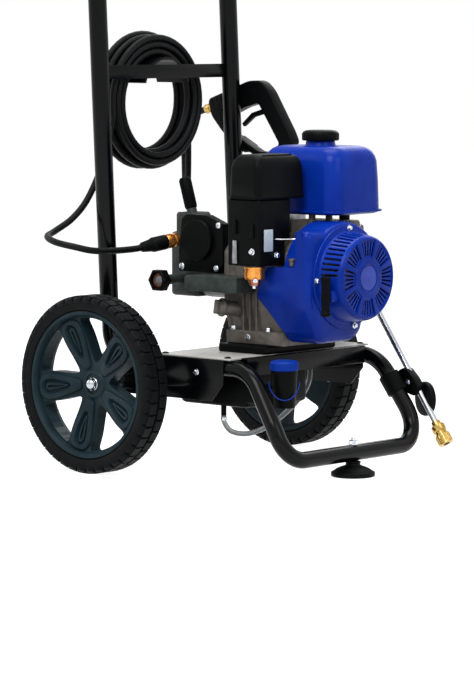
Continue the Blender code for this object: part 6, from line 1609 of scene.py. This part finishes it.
# ---------------------------------------------------------------- starter and blower
@dataclass
class Starter:
    """The blower housing round the flywheel and the recoil starter on its front."""

    blower_back: float = 0.2853  # where the housing begins ahead of the axle
    blower_depth: float = 0.06  # its depth
    blower_radius: float = 0.093  # its round part's radius
    recoil_back: float = 0.3456  # where the recoil cover begins
    recoil_depth: float = 0.048  # its depth
    near_side: float = -0.1  # how far across its flat near side lies

    @property
    def blower_front(self) -> float:
        """How far ahead the housing's front face lies."""
        return self.blower_back + self.blower_depth

    def build(self) -> None:
        """Makes the housing, the recoil cover, the pull handle and the switch."""
        settle(self.housing(), BLUE_ENAMEL, replaces=("blower_housing",))
        settle(self.cover(), BLUE_ENAMEL, replaces=("recoil_cover",))
        badge = mm(-1, 0, -1, 20.5, 0, 20.5, 0.3, 19.8, 0.3, 18.8, -0.2, 18.4, -0.1, 10, 0, 0)
        front = place(0.0, self.recoil_back + self.recoil_depth - 0.0005, CRANK_Z)
        settle(eased(turned("starter_badge", badge, front, FRONT, 72), 0.0), BADGE_FOIL)
        settle(self.handle(), BLACK_NYLON, "recoil_pull", ("recoil_handle",))
        dress("engine_switch", BLACK_NYLON, 0.0006, body="engine_stop")
        spots = []
        for x, up in ((0.003, 0.4205), (-0.0825, 0.336), (0.018, 0.2545), (0.0825, 0.345)):
            spots.append((place(x, self.recoil_back + 0.0027, up), FRONT))
        fasten("recoil_bolts", Fastener.FLANGE_BOLT, 0.0052, spots)

    def shoulder(self, inset: float) -> list[Point2]:
        """The housing's near part seen from the front, drawn in all round.

        Args:
            inset: how far it is drawn in.

        Returns:
            The outline as (across, up).
        """
        side, floor, top = self.near_side + inset, 0.2275 + inset, 0.4185 - inset
        outline = [(-0.02, top), (side, top), (side, 0.3), (side + 0.028, floor + 0.007), (side + 0.042, floor)]
        outline += [(0.026 - inset, floor), (0.048 - inset, floor + 0.016), (0.048 - inset, 0.3)]
        return rounded(outline, (0.004, 0.012, 0.02, 0.016, 0.01, 0.016, 0.012, 0.004), 6, 0.45)

    def housing(self) -> Piece:
        """The pressed housing: round scroll, rounded shoulder, near skirt and switch boss.

        Returns:
            The piece.
        """
        depth, wide = self.blower_depth, self.blower_radius
        back, front = self.blower_back, self.blower_front
        edge = shifted(mm(-8, 0, -4.5, -0.8, -1.8, -2.8, -0.4, -5.8, 0, -9), depth, wide)
        profile = [(0.0, 0.0), (0.0, wide), *edge, (depth, 0.0)]
        scroll = turned("scroll", profile, place(0.0, back, CRANK_Z), FRONT, 112)
        ease = 0.013
        bend = front - ease  # where the shoulder's front edge begins to round
        levels = [(back, 0.0), (bend, 0.0)]
        levels += [(bend + ease * math.sin(t), ease * (1 - math.cos(t))) for t in (0.3, 0.6, 0.9, 1.2)]
        levels.append((front, 0.0122))
        shoulder = skin("shoulder", [[place(x, a, z) for x, z in self.shoulder(i)] for a, i in levels])
        notch = block("notch", (self.near_side - 0.01, 0.1), (back - 0.01, 0.317), (0.357, 0.43))
        shoulder = carve(shoulder, Cut.AWAY, notch)
        side = self.near_side
        strip = mm(0, 417.5, 0, 316, 2.2, 303, 9.5, 287.5, 24.5, 241.5, 32.5, 232.2, 42, 227.5, 42, 230, 34, 234.5)
        strip += mm(26.8, 243, 12.2, 288, 4.7, 304, 2.5, 316, 2.5, 417.5)
        plate = prism("plate", shifted(strip, side), "ahead", 0.22, front - 0.012)
        lobe = [(bend, 0.43), *mm(316.5, 430, 316.5, 356.5, 254.5, 356.5, 243.5, 333.5, 230, 304.5, 240, 289.5)]
        lobe += [*mm(256.6, 266.8, 266, 252, 274, 245, 276, 217.5), (bend, 0.2175)]
        form = prism("lobe", rounded(lobe, 0.006, 4), "across", side - 0.01, side + 0.07)
        plate = carve(plate, Cut.COMMON, form)
        low, high = back + 0.016, back + 0.044
        pad = rounded([(low, 0.296), (high, 0.296), (high, 0.332), (low, 0.332)], 0.006)
        boss = prism("boss", pad, "across", wide - 0.014, wide + 0.0045)
        housing = carve(scroll, Cut.ONTO, shoulder, plate, boss)
        inside, end = wide - 0.0025, depth - 0.006
        room = [(-0.01, 0.0), (-0.01, inside), (end, inside), (end, 0.0)]
        room_piece = turned("room", room, place(0.0, back, CRANK_Z), FRONT, 96)
        hollow_levels = [(back + 0.0025, 0.0025), (bend, 0.0025), (front - 0.0025, 0.0145)]
        side_room = skin("side_room", [[place(x, a, z) for x, z in self.shoulder(i)] for a, i in hollow_levels])
        behind = block("behind", (self.near_side - 0.01, 0.1), (back - 0.02, 0.3195), (0.3545, 0.43))
        side_room = carve(side_room, Cut.AWAY, behind)
        intake = turned("intake", mm(-20, 0, -20, 70, 20, 70, 20, 0), place(0.0, front, CRANK_Z), FRONT, 96)
        housing = carve(housing, Cut.AWAY, room_piece, side_room, intake)
        housing.name = "blower_shell"
        return eased(housing, 0.0018, 3, 40.0, 48.0)

    def cover(self) -> Piece:
        """The recoil cover: domed, with eight recessed groups of slots, side slots and a bare badge disc.

        Returns:
            The piece.
        """
        face = self.recoil_depth
        inside = mm(-2.6, 0, -2.6, 64, -9.5, 69)
        flange = mm(4.2, 73.8, 0, 73.8, 0, 88.5, 1.4, 88.5, 2.6, 87.6, 2.6, 79, 3.2, 77.5, 5, 76.4)
        outside = mm(-11, 72.8, -6.2, 71.6, -2.8, 69.8, -0.8, 67.2, -0.2, 65.5, -0.4, 30, -0.4, 27, -0.1, 26.2)
        outside += mm(-0.1, 23.8, -1, 23, -1.4, 21.2, -1.4, 0)
        profile = [*shifted(inside, face), *flange, *shifted(outside, face)]
        cover = turned("cover", profile, place(0.0, self.recoil_back, CRANK_Z), FRONT, 128)
        guide_up, guide_ahead = CRANK_Z - 0.027, self.recoil_back + 0.027
        guide = prism("guide", oblong((guide_ahead, guide_up), 0.014, 0.018, 0.003), "across", -0.0803, -0.065)
        cover = carve(cover, Cut.ONTO, guide)
        matrix = frame_at(place(0.0, self.recoil_back + face, CRANK_Z), UP, FRONT)
        pocket = mm(33.5, -10.6, 64.5, -20.4, 64.5, 20.4, 33.5, 10.6)
        pockets = ring_of(stacked("pocket", rounded(pocket, 0.004, 4), (-0.0022, 1.0), (0.006, 1.0)), 8, matrix)
        slots = stacked("slot", oblong((0.05, 0.0), 0.025, 0.003, 0.00145, 4), (-0.007, 1.0), (0.006, 1.0))
        slots = repeated(slots, Repeat.ROUND, Count=5, First=math.radians(-15.2), Step=math.radians(7.6))
        slots = ring_of(slots, 8, matrix)
        long_slot = oblong((0.0, 0.0), 0.0042, face - 0.0135, 0.002, 4)
        centre = -face + 0.0062 + (face - 0.0135) / 2
        side_slot = skin("side_slot", [[Vector((r, u, centre + v)) for u, v in long_slot] for r in (0.062, 0.083)])
        side_slots = ring_of(side_slot, 12, matrix, first=math.radians(5), step=math.radians(7.2))
        hole = rod("hole", place(-0.087, guide_ahead, guide_up), place(-0.0565, guide_ahead, guide_up), 0.003, 24)
        cover = carve(cover, Cut.AWAY, pockets, slots, side_slots, hole)
        cover.name = "recoil_shell"
        return eased(cover, 0.0007, 2, 40.0, 45.0)

    def handle(self) -> Piece:
        """The pull handle: a waisted bar with end flanges, and its rope's end.

        Returns:
            The piece.
        """
        middle = place(-0.088, self.recoil_back + 0.027, CRANK_Z - 0.027)
        half, wide = 0.0335, 0.0072
        end = [(-half, 0.0), (-half, wide * 0.7), (-half + 0.0012, wide * 0.94), (-half + 0.003, wide)]
        end += [(-half + 0.0055, wide), (-half + 0.0065, wide * 0.88), (-0.012, wide * 0.8)]
        profile = [*end, (0.0, wide * 0.9), *((-along, radius) for along, radius in reversed(end))]
        bar = turned("bar", profile, middle, UP, 40)
        moved(bar, Matrix.Translation(middle) @ Matrix.Diagonal((1.0, 1.3, 1.0, 1.0)) @ Matrix.Translation(-middle))
        tail = rod("rope_end", middle, middle + Vector((0.0132, 0.0, 0.0)), 0.0022, 16)
        return eased(gathered("pull_handle", bar, tail), 0.0)


# ---------------------------------------------------------------- fuel tank
@dataclass
class FuelTank:
    """The fuel tank with its seam, filler neck and cap."""

    middle: Point2 = (0.054, 0.243)  # its middle, across and ahead
    bottom: float = 0.44  # its underside's height
    height: float = 0.116  # its height without the neck
    width: float = 0.146  # its size across
    length: float = 0.184  # its size ahead

    def section(self, up: float, inset: float) -> list[Vector]:
        """The tank's outline at a height.

        Args:
            up: the height.
            inset: how far it is drawn in.

        Returns:
            Its points.
        """
        radius = max(0.03 - 0.3 * inset, 0.012)
        outline = oblong(self.middle, self.width - 2 * inset, self.length - 2 * inset, radius, 12)
        return [place(x, ahead, up) for x, ahead in outline]

    def build(self) -> None:
        """Makes the tank and its cap."""
        low, top = self.bottom, self.bottom + self.height
        foot = mm(0, 13.5, 0.6, 9.5, 2.2, 5.8, 3.6, 4, 3.8, 0.3, 4.5, 0, 6.6, 0, 7.3, 0.3, 7.5, 3.8, 30, 4.3, 60, 5.2)
        crown = mm(-26, 7, -17, 9.4, -10, 13, -5, 17.8, -2, 23, -0.4, 30, 0, 38)
        levels = [*shifted(foot, low), *shifted(crown, top)]
        tank = skin("tank", [self.section(up, inset) for up, inset in levels])
        neck = mm(-4, 0, -4, 27.8, 1.4, 25.8, 6, 25, 8, 24.4, 8, 0)
        neck_piece = turned("neck", neck, place(*self.middle, top), UP, 64)
        tank = eased(gathered("fuel_tank_shell", tank, neck_piece), 0.0, smooth=50.0)
        settle(tank, BLUE_ENAMEL, replaces=("fuel_tank",))
        seat = place(*self.middle, top + 0.008 + GAP)
        cap = mm(0, 0, 0, 30.6, 1, 31.4, 12, 31.4, 15, 29.6, 17, 26.2, 17.8, 21, 18, 0)
        ridge = mm(30.8, -1.2, 32, -0.6, 32, 0.6, 30.8, 1.2)
        ridges = knurl(ridge, (0.0015, 0.0122), 30, frame_at(seat, LEFT, UP))
        piece = gathered("fuel_cap_moulding", turned("cap", cap, seat, UP, 84), ridges)
        settle(eased(piece, 0.0), BLACK_NYLON, "fuel_filler_cap", ("fuel_cap",))


# ---------------------------------------------------------------- engine
@dataclass
class Engine:
    """The engine's castings: crankcase on its mount, cylinder, head, muffler, oil filler and shaft."""

    oil_foot: Point3 = (-0.064, 0.1675, 0.2765)  # where the oil filler leaves the case
    oil_slope: Point3 = (-1.0, -0.35, 0.15)  # the way that it points

    def build(self) -> None:
        """Makes the castings and their bolts."""
        dress("crankcase", PAINTED_CASTING, 0.0012)
        dress("crankcase_cover", PAINTED_CASTING, 0.0012)
        dress("engine_mount", BLACK_NYLON, 0.0008)
        dress("cylinder_head", CAST_ALUMINIUM, 0.0006)
        dress("valve_cover", PAINTED_CASTING, 0.0015, 3)
        dress("spark_plug", SOFT_RUBBER, 0.0006)
        dress("crankshaft", GROUND_STEEL, 0.0004, body="crank")
        self.build_flywheel()
        self.build_muffler()
        self.build_oil_cap()
        self.build_bolts()

    def build_flywheel(self) -> None:
        """The flywheel with its ring of blades."""
        back = 0.293
        disc = mm(0, 12.9, 0, 74, 2, 77.8, 14, 77.8, 16, 76, 16, 45, 13.5, 43, 13.5, 26, 16, 24, 16, 12.9)
        wheel = turned("disc", disc, place(0.0, back, CRANK_Z), FRONT, 72, loop=True)
        fin = stacked("blade", mm(46.5, -0.4, 73.5, -1.6, 73.5, 1, 46.5, 1.6), (0.012, 1.0), (0.0275, 1.0))
        fins = ring_of(fin, 10, frame_at(place(0.0, back, CRANK_Z), UP, FRONT))
        piece = eased(gathered("flywheel_casting", wheel, fins), 0.0)
        settle(piece, CAST_ALUMINIUM, "crank", ("flywheel",))

    def build_muffler(self) -> None:
        """The muffler's box with its louvred guard and outlet."""
        box = solid_copy("muffler", 0.0008)
        slat = prism("louvre", oblong((0.1515, 0.048), 0.003, 0.0022, 0.0009, 3), "up", 0.402, 0.454)
        slats = repeated(slat, Repeat.ROW, Count=9, Offset=(0.0, -0.009, 0.0))
        piece = gathered("muffler_look", box, slats)
        settle(piece, GROUND_STEEL, replaces=("muffler",))

    def build_oil_cap(self) -> None:
        """The oil filler's cap: a threaded foot, a ribbed skirt and a finger bar."""
        axis = heading(self.oil_slope)
        seat = place(*self.oil_foot) + axis * (0.037 + GAP)
        profile = mm(0, 0, 0, 15.2, 0.8, 16, 4.4, 16, 5.4, 15, 6, 11.8, 9, 11.2, 9.6, 10, 9.6, 0)
        skirt = turned("skirt", profile, seat, axis, 56)
        wing = rounded([(-0.0122, -0.0034), (0.0122, -0.0034), (0.0122, 0.0034), (-0.0122, 0.0034)], 0.003, 4)
        matrix = frame_at(seat, UP, axis)
        bar = moved(stacked("bar", wing, (0.008, 1.0), (0.017, 1.0)), matrix)
        ridges = knurl(mm(15, -1.1, 16, -0.7, 16, 0.7, 15, 1.1), (0.0004, 0.005), 18, matrix)
        piece = eased(gathered("oil_cap_moulding", skirt, bar, ridges), 0.0008, 2, 45.0)
        settle(piece, PAINTED_CASTING, "oil_dipstick", ("oil_filler_cap",))

    def build_bolts(self) -> None:
        """The bolts of the base flange and the head, and the plug in the flange's near side."""
        base = [(place(-0.0735, a, 0.2434), UP) for a in (0.158, 0.235)]
        base += [(place(0.0735, a, 0.2434), UP) for a in (0.158, 0.235)]
        fasten("base_bolts", Fastener.FLANGE_BOLT, 0.0062, base)
        head = [(place(0.1529, a, z), LEFT) for a in (0.165, 0.245) for z in (0.3245, 0.4155)]
        fasten("head_bolts", Fastener.FLANGE_BOLT, 0.0058, head)
        side = [(place(-0.0803, 0.1955, 0.2318), NEAR)]
        fasten("flange_plug", Fastener.FLANGE_BOLT, 0.005, side)


# ---------------------------------------------------------------- carburettor and air cleaner
@dataclass
class AirBox:
    """The carburettor with its float bowl, the air cleaner above it and the control levers."""

    carb: Point2 = (-0.123, 0.2465)  # the carburettor's middle, across and ahead
    bowl_top: float = 0.3567  # where the float bowl begins
    near_side: float = -0.145  # how far across the box's near face lies
    back: float = 0.205  # how far ahead its back lies
    front: float = 0.275  # how far ahead its front lies

    def build(self) -> None:
        """Makes the box, the carburettor, the levers and the small parts on them."""
        dress("air_cleaner_base", BLACK_NYLON, 0.001)
        self.build_cover()
        dress("carburettor", CAST_ALUMINIUM, 0.001)
        self.build_bowl()
        dress("choke_lever", BLACK_NYLON, 0.0005, body="choke")
        dress("fuel_lever", BLACK_NYLON, 0.0005, body="fuel_valve")
        dress("throttle_lever", GROUND_STEEL, 0.0005, body="throttle")
        self.build_small_parts()

    def build_cover(self) -> None:
        """The air cleaner's snap-on cover, crowned, with its ribs."""
        far, low, top = -0.023, 0.4703, 0.545
        middle = ((self.near_side + far) / 2, (self.back + self.front) / 2)
        levels = shifted(mm(0, 0, 1, -1.2, 5.5, -1.4, 6.8, 0.2, 30, 0.6), low)
        levels += shifted(mm(-22, 1.2, -13, 3, -6, 6.6, -2, 11.2, 0, 18), top)
        sections = []
        for up, inset in levels:
            outline = oblong(middle, far - self.near_side - 2 * inset, self.front - self.back - 2 * inset, 0.012, 8)
            sections.append([place(x, ahead, up) for x, ahead in outline])
        cover = skin("cover", sections)
        rib = prism("rib", oblong((middle[0], 0.0), 0.076, 0.003, 0.0014, 4), "up", top - 0.004, top - 0.0002)
        moved(rib, Matrix.Translation(Vector((0.0, -0.218, 0.0))))
        ribs = repeated(rib, Repeat.ROW, Count=5, Offset=(0.0, -0.011, 0.0))
        piece = eased(gathered("air_cleaner_cover_moulding", cover, ribs), 0.0, smooth=50.0)
        settle(piece, BLACK_NYLON, replaces=("air_cleaner_cover",))

    def build_bowl(self) -> None:
        """The float bowl in yellow passivate, its copper neck, its bolt and drain screw."""
        start = place(*self.carb, self.bowl_top)
        down = -UP
        profile = mm(0, 0, 0, 18.8, 2.2, 18.8, 3, 18, 16.5, 18, 19.6, 17.2, 21.4, 15.2, 22.2, 12.2, 22.6, 0)
        bowl = eased(turned("bowl", profile, start, down, 72), 0.0, smooth=50.0)
        settle(bowl, GOLD_PASSIVATE, replaces=("float_bowl",))
        neck = mm(21.5, 0, 21.5, 11.2, 25, 10.6, 30, 8.6, 31.2, 8, 31.2, 0)
        settle(eased(turned("bowl_neck", neck, start, down, 48), 0.0, smooth=50.0), DRAWN_COPPER)
        drain = Vector((-1.0, -1.0, 0.0)).normalized()
        spots = [(start + down * 0.0308, down)]
        fasten("bowl_bolt", Fastener.FLANGE_BOLT, 0.006, spots)
        slope = (drain + down * 0.35).normalized()
        foot = start + down * 0.0195 + drain * 0.0135
        stem = rod("stem", foot, foot + slope * 0.0085, 0.0035, 24)
        settle(eased(stem, 0.0), DRAWN_COPPER)
        fasten("drain_screw", Fastener.PAN_SCREW, 0.0044, [(foot + slope * 0.008, slope)])

    def build_small_parts(self) -> None:
        """The box's bolts, the bare label plate, the governor's rod, and the fuel strainer."""
        spots = [(place(self.near_side - 0.0002, 0.2605, 0.3835), NEAR)]
        spots.append((place(-0.1005, self.front + 0.0002, 0.3765), FRONT))
        fasten("box_bolts", Fastener.FLANGE_BOLT, 0.0056, spots)
        outline = oblong((-0.1205, 0.402), 0.0225, 0.037, 0.0012, 3)
        label = prism("label_plate", outline, "ahead", self.front - 0.0002, self.front + 0.0006)
        settle(eased(label, 0.0002), BARE_PLATE)
        wire = [(-0.105, 0.278, 0.404), (-0.1, 0.29, 0.404), (-0.094, 0.305, 0.4046), (-0.0885, 0.316, 0.4052)]
        route = flowing([place(*point) for point in wire], 0.004)
        settle(eased(swept("governor_rod", route, 0.0012, 12), 0.0), ZINC_PLATE)
        cup = mm(0, 0, 0, 6.6, 1.2, 7, 4.2, 7, 5, 5.8, 12.8, 5.4, 13.6, 4.6, 13.6, 0)
        settle(eased(turned("fuel_strainer", cup, place(-0.088, 0.3, 0.3712), -UP, 40), 0.0004), CAST_ALUMINIUM)


# ---------------------------------------------------------------- pump
@dataclass
class Pump:
    """The pump: body, head with its regulator knob, near cover, water inlet and outlet."""

    cover_face: float = -0.08  # how far across the cover's near face lies
    knob: Point2 = (-0.02, 0.012)  # the regulator's foot, across and ahead
    knob_up: float = 0.442  # the height of its seat
    lean: float = 17.0  # how far the knob leans back, in degrees
    inlet: Point2 = (0.0115, 0.3212)  # the inlet's middle, ahead and up

    def build(self) -> None:
        """Makes the castings, the cover, the knob, the inlet and the outlet."""
        dress("pump_body", PUMP_CASTING, 0.0015, 3)
        dress("pump_head", PUMP_CASTING, 0.0012)
        self.build_cover()
        self.build_knob()
        self.build_inlet()
        self.build_outlet()

    def build_cover(self) -> None:
        """The black cover with its round boss, and its screws."""
        shell = solid_copy("pump_cover", 0.0014, 3)
        boss = mm(0, 0, 0, 35.2, 6.5, 35.2, 8.8, 34, 9.8, 31.8, 10, 29, 8.8, 28.2, 8.8, 0)
        disc = turned("boss", boss, place(self.cover_face, 0.083, 0.393), NEAR, 84)
        low, high = self.cover_face - 0.0096, self.cover_face - 0.008
        marks = [oblong((0.083, up), 0.034, 0.0022, 0.001, 3) for up in (0.381, 0.405)]
        bars = [prism("bar", mark, "across", low, high) for mark in marks]
        piece = gathered("pump_cover_moulding", shell, eased(disc, 0.0), *bars)
        settle(piece, BLACK_NYLON, replaces=("pump_cover",))
        screws = mm(44.5, 346.5, 123.5, 345.5, 128, 419)
        spots = [(place(self.cover_face - 0.0002, a, z), NEAR) for a, z in screws]
        fasten("cover_screws", Fastener.PAN_SCREW, 0.0058, spots)

    def build_knob(self) -> None:
        """The pressure regulator's knob: a long ribbed handle with a crowned end."""
        axis = Vector((0.0, math.sin(math.radians(self.lean)), math.cos(math.radians(self.lean))))
        seat = place(*self.knob, self.knob_up) + axis * GAP
        profile = mm(0, 0, 0, 9.4, 1.2, 10.2, 52.5, 10.2, 54.6, 9.4, 55.6, 7.6, 56, 5, 56, 0)
        core = turned("core", profile, seat, axis, 56)
        ridge = mm(9.8, -0.9, 10.95, -0.5, 10.95, 0.5, 9.8, 0.9)
        ridges = knurl(ridge, (0.003, 0.0515), 20, frame_at(seat, LEFT, axis))
        piece = eased(gathered("regulator_moulding", core, ridges), 0.0)
        settle(piece, BLACK_NYLON, "pressure_knob", ("regulator_knob",))

    def build_inlet(self) -> None:
        """The swivel nut of the water inlet, its copper ring and its strainer."""
        nut = solid_copy("inlet_nut", 0.001, 3)
        nut.name = "inlet_nut_moulding"
        settle(nut, BLACK_NYLON, "hose_nut", ("inlet_nut",))
        mouth = place(-0.1048, *self.inlet)
        ring = mm(0, 9, 0, 12.8, 1.6, 12.8, 1.6, 9)
        settle(eased(turned("inlet_ring", ring, mouth, NEAR, 48, loop=True), 0.0003), DRAWN_COPPER)
        gauze = mm(0, 0, 0, 8.8, 0.8, 8.8, 2, 6, 2.6, 0)
        settle(eased(turned("inlet_strainer", gauze, mouth, NEAR, 40), 0.0), STRAINER)

    def build_outlet(self) -> None:
        """The outlet's quick coupler in yellow passivate, with its knurled sleeve."""
        slope = heading(OUTLET_SLOPE)
        start = place(*OUTLET_FOOT) + slope * (0.002 + GAP)
        profile = mm(
            0, 0, 0, 10.8, 0.8, 11.5, 9.4, 11.5, 10.2, 10.6, 10.6, 9.6, 12, 9.6, 12.6, 11.6, 13.6, 12.1, 26.8, 12.1,
            27.8, 11.3, 28, 0,
        )
        sleeve = turned("sleeve", profile, start, slope, 64)
        ridge = mm(11.8, -0.6, 12.48, 0, 11.8, 0.6)
        ridges = knurl(ridge, (0.0144, 0.0258), 44, frame_at(start, UP, slope))
        piece = eased(gathered("outlet_coupler", sleeve, ridges), 0.0)
        settle(piece, GOLD_PASSIVATE, replaces=("outlet_fitting",))


# ---------------------------------------------------------------- gun and lance
@dataclass
class SprayGun:
    """The lance with its quick coupler, the trigger gun, and the holders that keep them on the frame."""

    foot: Point3 = (0.2, 0.4, 0.05)  # the lance line's foot
    slope: float = 0.69  # how far back it runs for each unit up
    lance_radius: float = 0.0055  # the lance's radius
    lance_length: float = 0.568  # the lance's length
    coupler_length: float = 0.044  # the coupler's length, of which 12 mm lie below the foot
    half_width: float = 0.0115  # half the gun's thickness

    @property
    def up_way(self) -> Vector:
        """The lance's direction, from its foot up."""
        return Vector((0.0, self.slope, 1.0)).normalized()

    @property
    def off_way(self) -> Vector:
        """The direction square to the lance, towards the gun's grip."""
        return Vector((0.0, self.up_way.z, -self.up_way.y))

    def on_lance(self, along: float, off: float = 0.0, across: float = 0.0) -> Vector:
        """The point this far up the lance's line, off it towards the grip, and to the side."""
        return place(*self.foot) + self.up_way * along + self.off_way * off + Vector((across, 0.0, 0.0))

    def on_gun(self, along: float, off: float, across: float = 0.0) -> Vector:
        """The point this far from the gun's nose up the lance's line, off it, and to the side."""
        nose = self.coupler_length - 0.012 + self.lance_length + 2 * GAP
        return self.on_lance(nose + along, off, across)

    def grip_way(self) -> Vector:
        """The way that the hose leaves the grip."""
        return (self.up_way * 0.34 + self.off_way * 0.94).normalized()

    def inlet_end(self) -> Vector:
        """Where the hose meets the grip's fitting."""
        return self.on_gun(0.1645, 0.119) + self.grip_way() * (0.016 + GAP)

    def slab(self, name: str, outline: Sequence[Point2], half: float) -> Piece:
        """An outline, drawn along and off the lance's line and as thick as twice the half."""
        return skin(name, [[self.on_gun(u, v, side * half) for u, v in outline] for side in (-1, 1)])

    def build(self) -> None:
        """Makes the coupler, the lance, the gun, its trigger and lock, and the holders."""
        self.build_coupler()
        lance = rod("lance", self.on_lance(0.0323), self.on_lance(0.0323 + self.lance_length), self.lance_radius, 40)
        settle(eased(lance, 0.0), CHROME_PLATE, replaces=("lance_tube",))
        self.build_gun()
        dress("trigger", BLACK_NYLON, 0.0012, 3, body="gun_trigger")
        dress("trigger_lock", BLUE_CAP, 0.0005, body="gun_lock")
        self.build_clip()
        dress("gun_holder", BLACK_POWDER_COAT, 0.0007)

    def build_clip(self) -> None:
        """The clip that holds the lance: a clamp round the frame's leg, an arm, and a round stop behind the lance."""
        leg_top, leg_bottom = place(0.17, 0.277, 0.188), place(*Trolley.knee)
        way = (leg_bottom - leg_top).normalized()
        middle = leg_top.lerp(leg_bottom, 0.5)
        band = mm(-18, 14.2, -18, 17, -16.8, 18.2, 16.8, 18.2, 18, 17, 18, 14.2)
        clamp = turned("clamp", band, middle, way, 48, loop=True)
        outline = mm(304, 160, 322, 169, 342, 150, 354, 131, 344, 118, 318, 127)
        arm = eased(prism("arm", rounded(outline, 0.008, 5), "across", 0.189, 0.2085), 0.0014, 3)
        axis = heading((0.918, 0.3975, 0.0))
        stop = mm(-6, 0, -6, 27, -5, 29, -2, 30.2, 3, 30.2, 5.5, 29, 6.5, 26.5, 6.5, 0)
        disc = turned("stop", stop, place(0.215, 0.348, 0.1128), axis, 64)
        settle(eased(gathered("lance_clip_moulding", clamp, arm, disc), 0.0), BLACK_NYLON, replaces=("lance_clip",))
        fasten("clip_screw", Fastener.PAN_SCREW, 0.0044, [(place(0.1888, 0.33, 0.1425), NEAR)])

    def build_coupler(self) -> None:
        """The brass quick coupler at the lance's foot."""
        profile = mm(
            0, 0, 0, 6, -12, 6, -12, 12.4, -11.2, 13.3, 5.5, 13.3, 6.2, 12.5, 6.8, 10.6, 11.8, 10.6, 12.4, 11.8,
            13.2, 12.4, 23.6, 12.4, 24.6, 11.2, 25.2, 8.4, 32, 8, 32, 0,
        )
        sleeve = turned("sleeve", profile, self.on_lance(0.0), self.up_way, 64)
        ridge = mm(13.1, -0.6, 13.48, 0, 13.1, 0.6)
        ridges = knurl(ridge, (-0.0095, 0.004), 48, frame_at(self.on_lance(0.0), LEFT, self.up_way))
        piece = eased(gathered("lance_coupler", sleeve, ridges), 0.0)
        settle(piece, TURNED_BRASS, replaces=("nozzle_coupler",))

    def build_gun(self) -> None:
        """The gun's moulded halves, its inlet fitting and its screws."""
        outline = mm(
            0, -10, 20, -14, 112, -17, 136, -10, 152, 14, 164, 60, 179, 114, 150, 124, 108, 118, 24, 74, 8, 52,
            0, 12,
        )
        window = mm(18, 18, 106, 18, 118, 50, 129, 104, 108, 106, 34, 66, 19, 46)
        body = self.slab("gun", rounded(outline, 0.01, 5), self.half_width)
        hole = self.slab("window", rounded(window, 0.006, 4), self.half_width + 0.01)
        slot = self.slab("slot", [(0.0838, 0.0048), (0.0992, 0.0048), (0.0992, 0.02), (0.0838, 0.02)], 0.0043)
        body = carve(body, Cut.AWAY, hole)
        eased(body, 0.0034, 4, 50.0)
        body = carve(body, Cut.AWAY, slot)
        groove = mm(-3.5, 0, 12.5, -4.2, 13, -2.2, -3, 2)
        levels = (self.half_width - 0.0009, self.half_width + 0.002)
        grooves = []
        for side in (-1, 1):
            for number in range(7):
                along, off = 0.1395 + 0.0052 * number, 0.046 + 0.0098 * number
                cut = [[self.on_gun(along + u, off + v, side * level) for u, v in groove] for level in levels]
                grooves.append(skin("groove", cut))
        body = carve(body, Cut.AWAY, *grooves)
        body.name = "gun_moulding"
        settle(eased(body, 0.0), BLACK_NYLON, replaces=("gun_body",))
        foot = self.on_gun(0.1645, 0.119)
        way = self.grip_way()
        profile = mm(-4, 0, -4, 8.6, 2, 8.6, 2.6, 8, 4, 8, 4.4, 8.9, 15.2, 8.9, 16, 8.2, 16, 0)
        settle(eased(turned("gun_inlet", profile, foot, way, 48), 0.0), TURNED_BRASS)
        screws = mm(12, 0, 60, 0, 124, 0, 152, 70, 164, 106, 30, 71)
        spots = [(self.on_gun(u, v, self.half_width - 0.0006), LEFT) for u, v in screws]
        fasten("gun_screws", Fastener.PAN_SCREW, 0.0032, spots)


# ---------------------------------------------------------------- the whole machine
def main() -> None:
    """Builds the studio and every sub-assembly."""
    logging.basicConfig(level=logging.INFO, format="%(name)s %(message)s")
    Studio().build()
    PressureHose().build()
    assemblies = (
        Wheel(-1),
        Wheel(1),
        Trolley(),
        DetergentKit(),
        Starter(),
        FuelTank(),
        Engine(),
        AirBox(),
        Pump(),
        SprayGun(),
    )
    for assembly in assemblies:
        LOG.info("building %s", type(assembly).__name__)
        assembly.build()


if __name__ == "__main__":
    main()
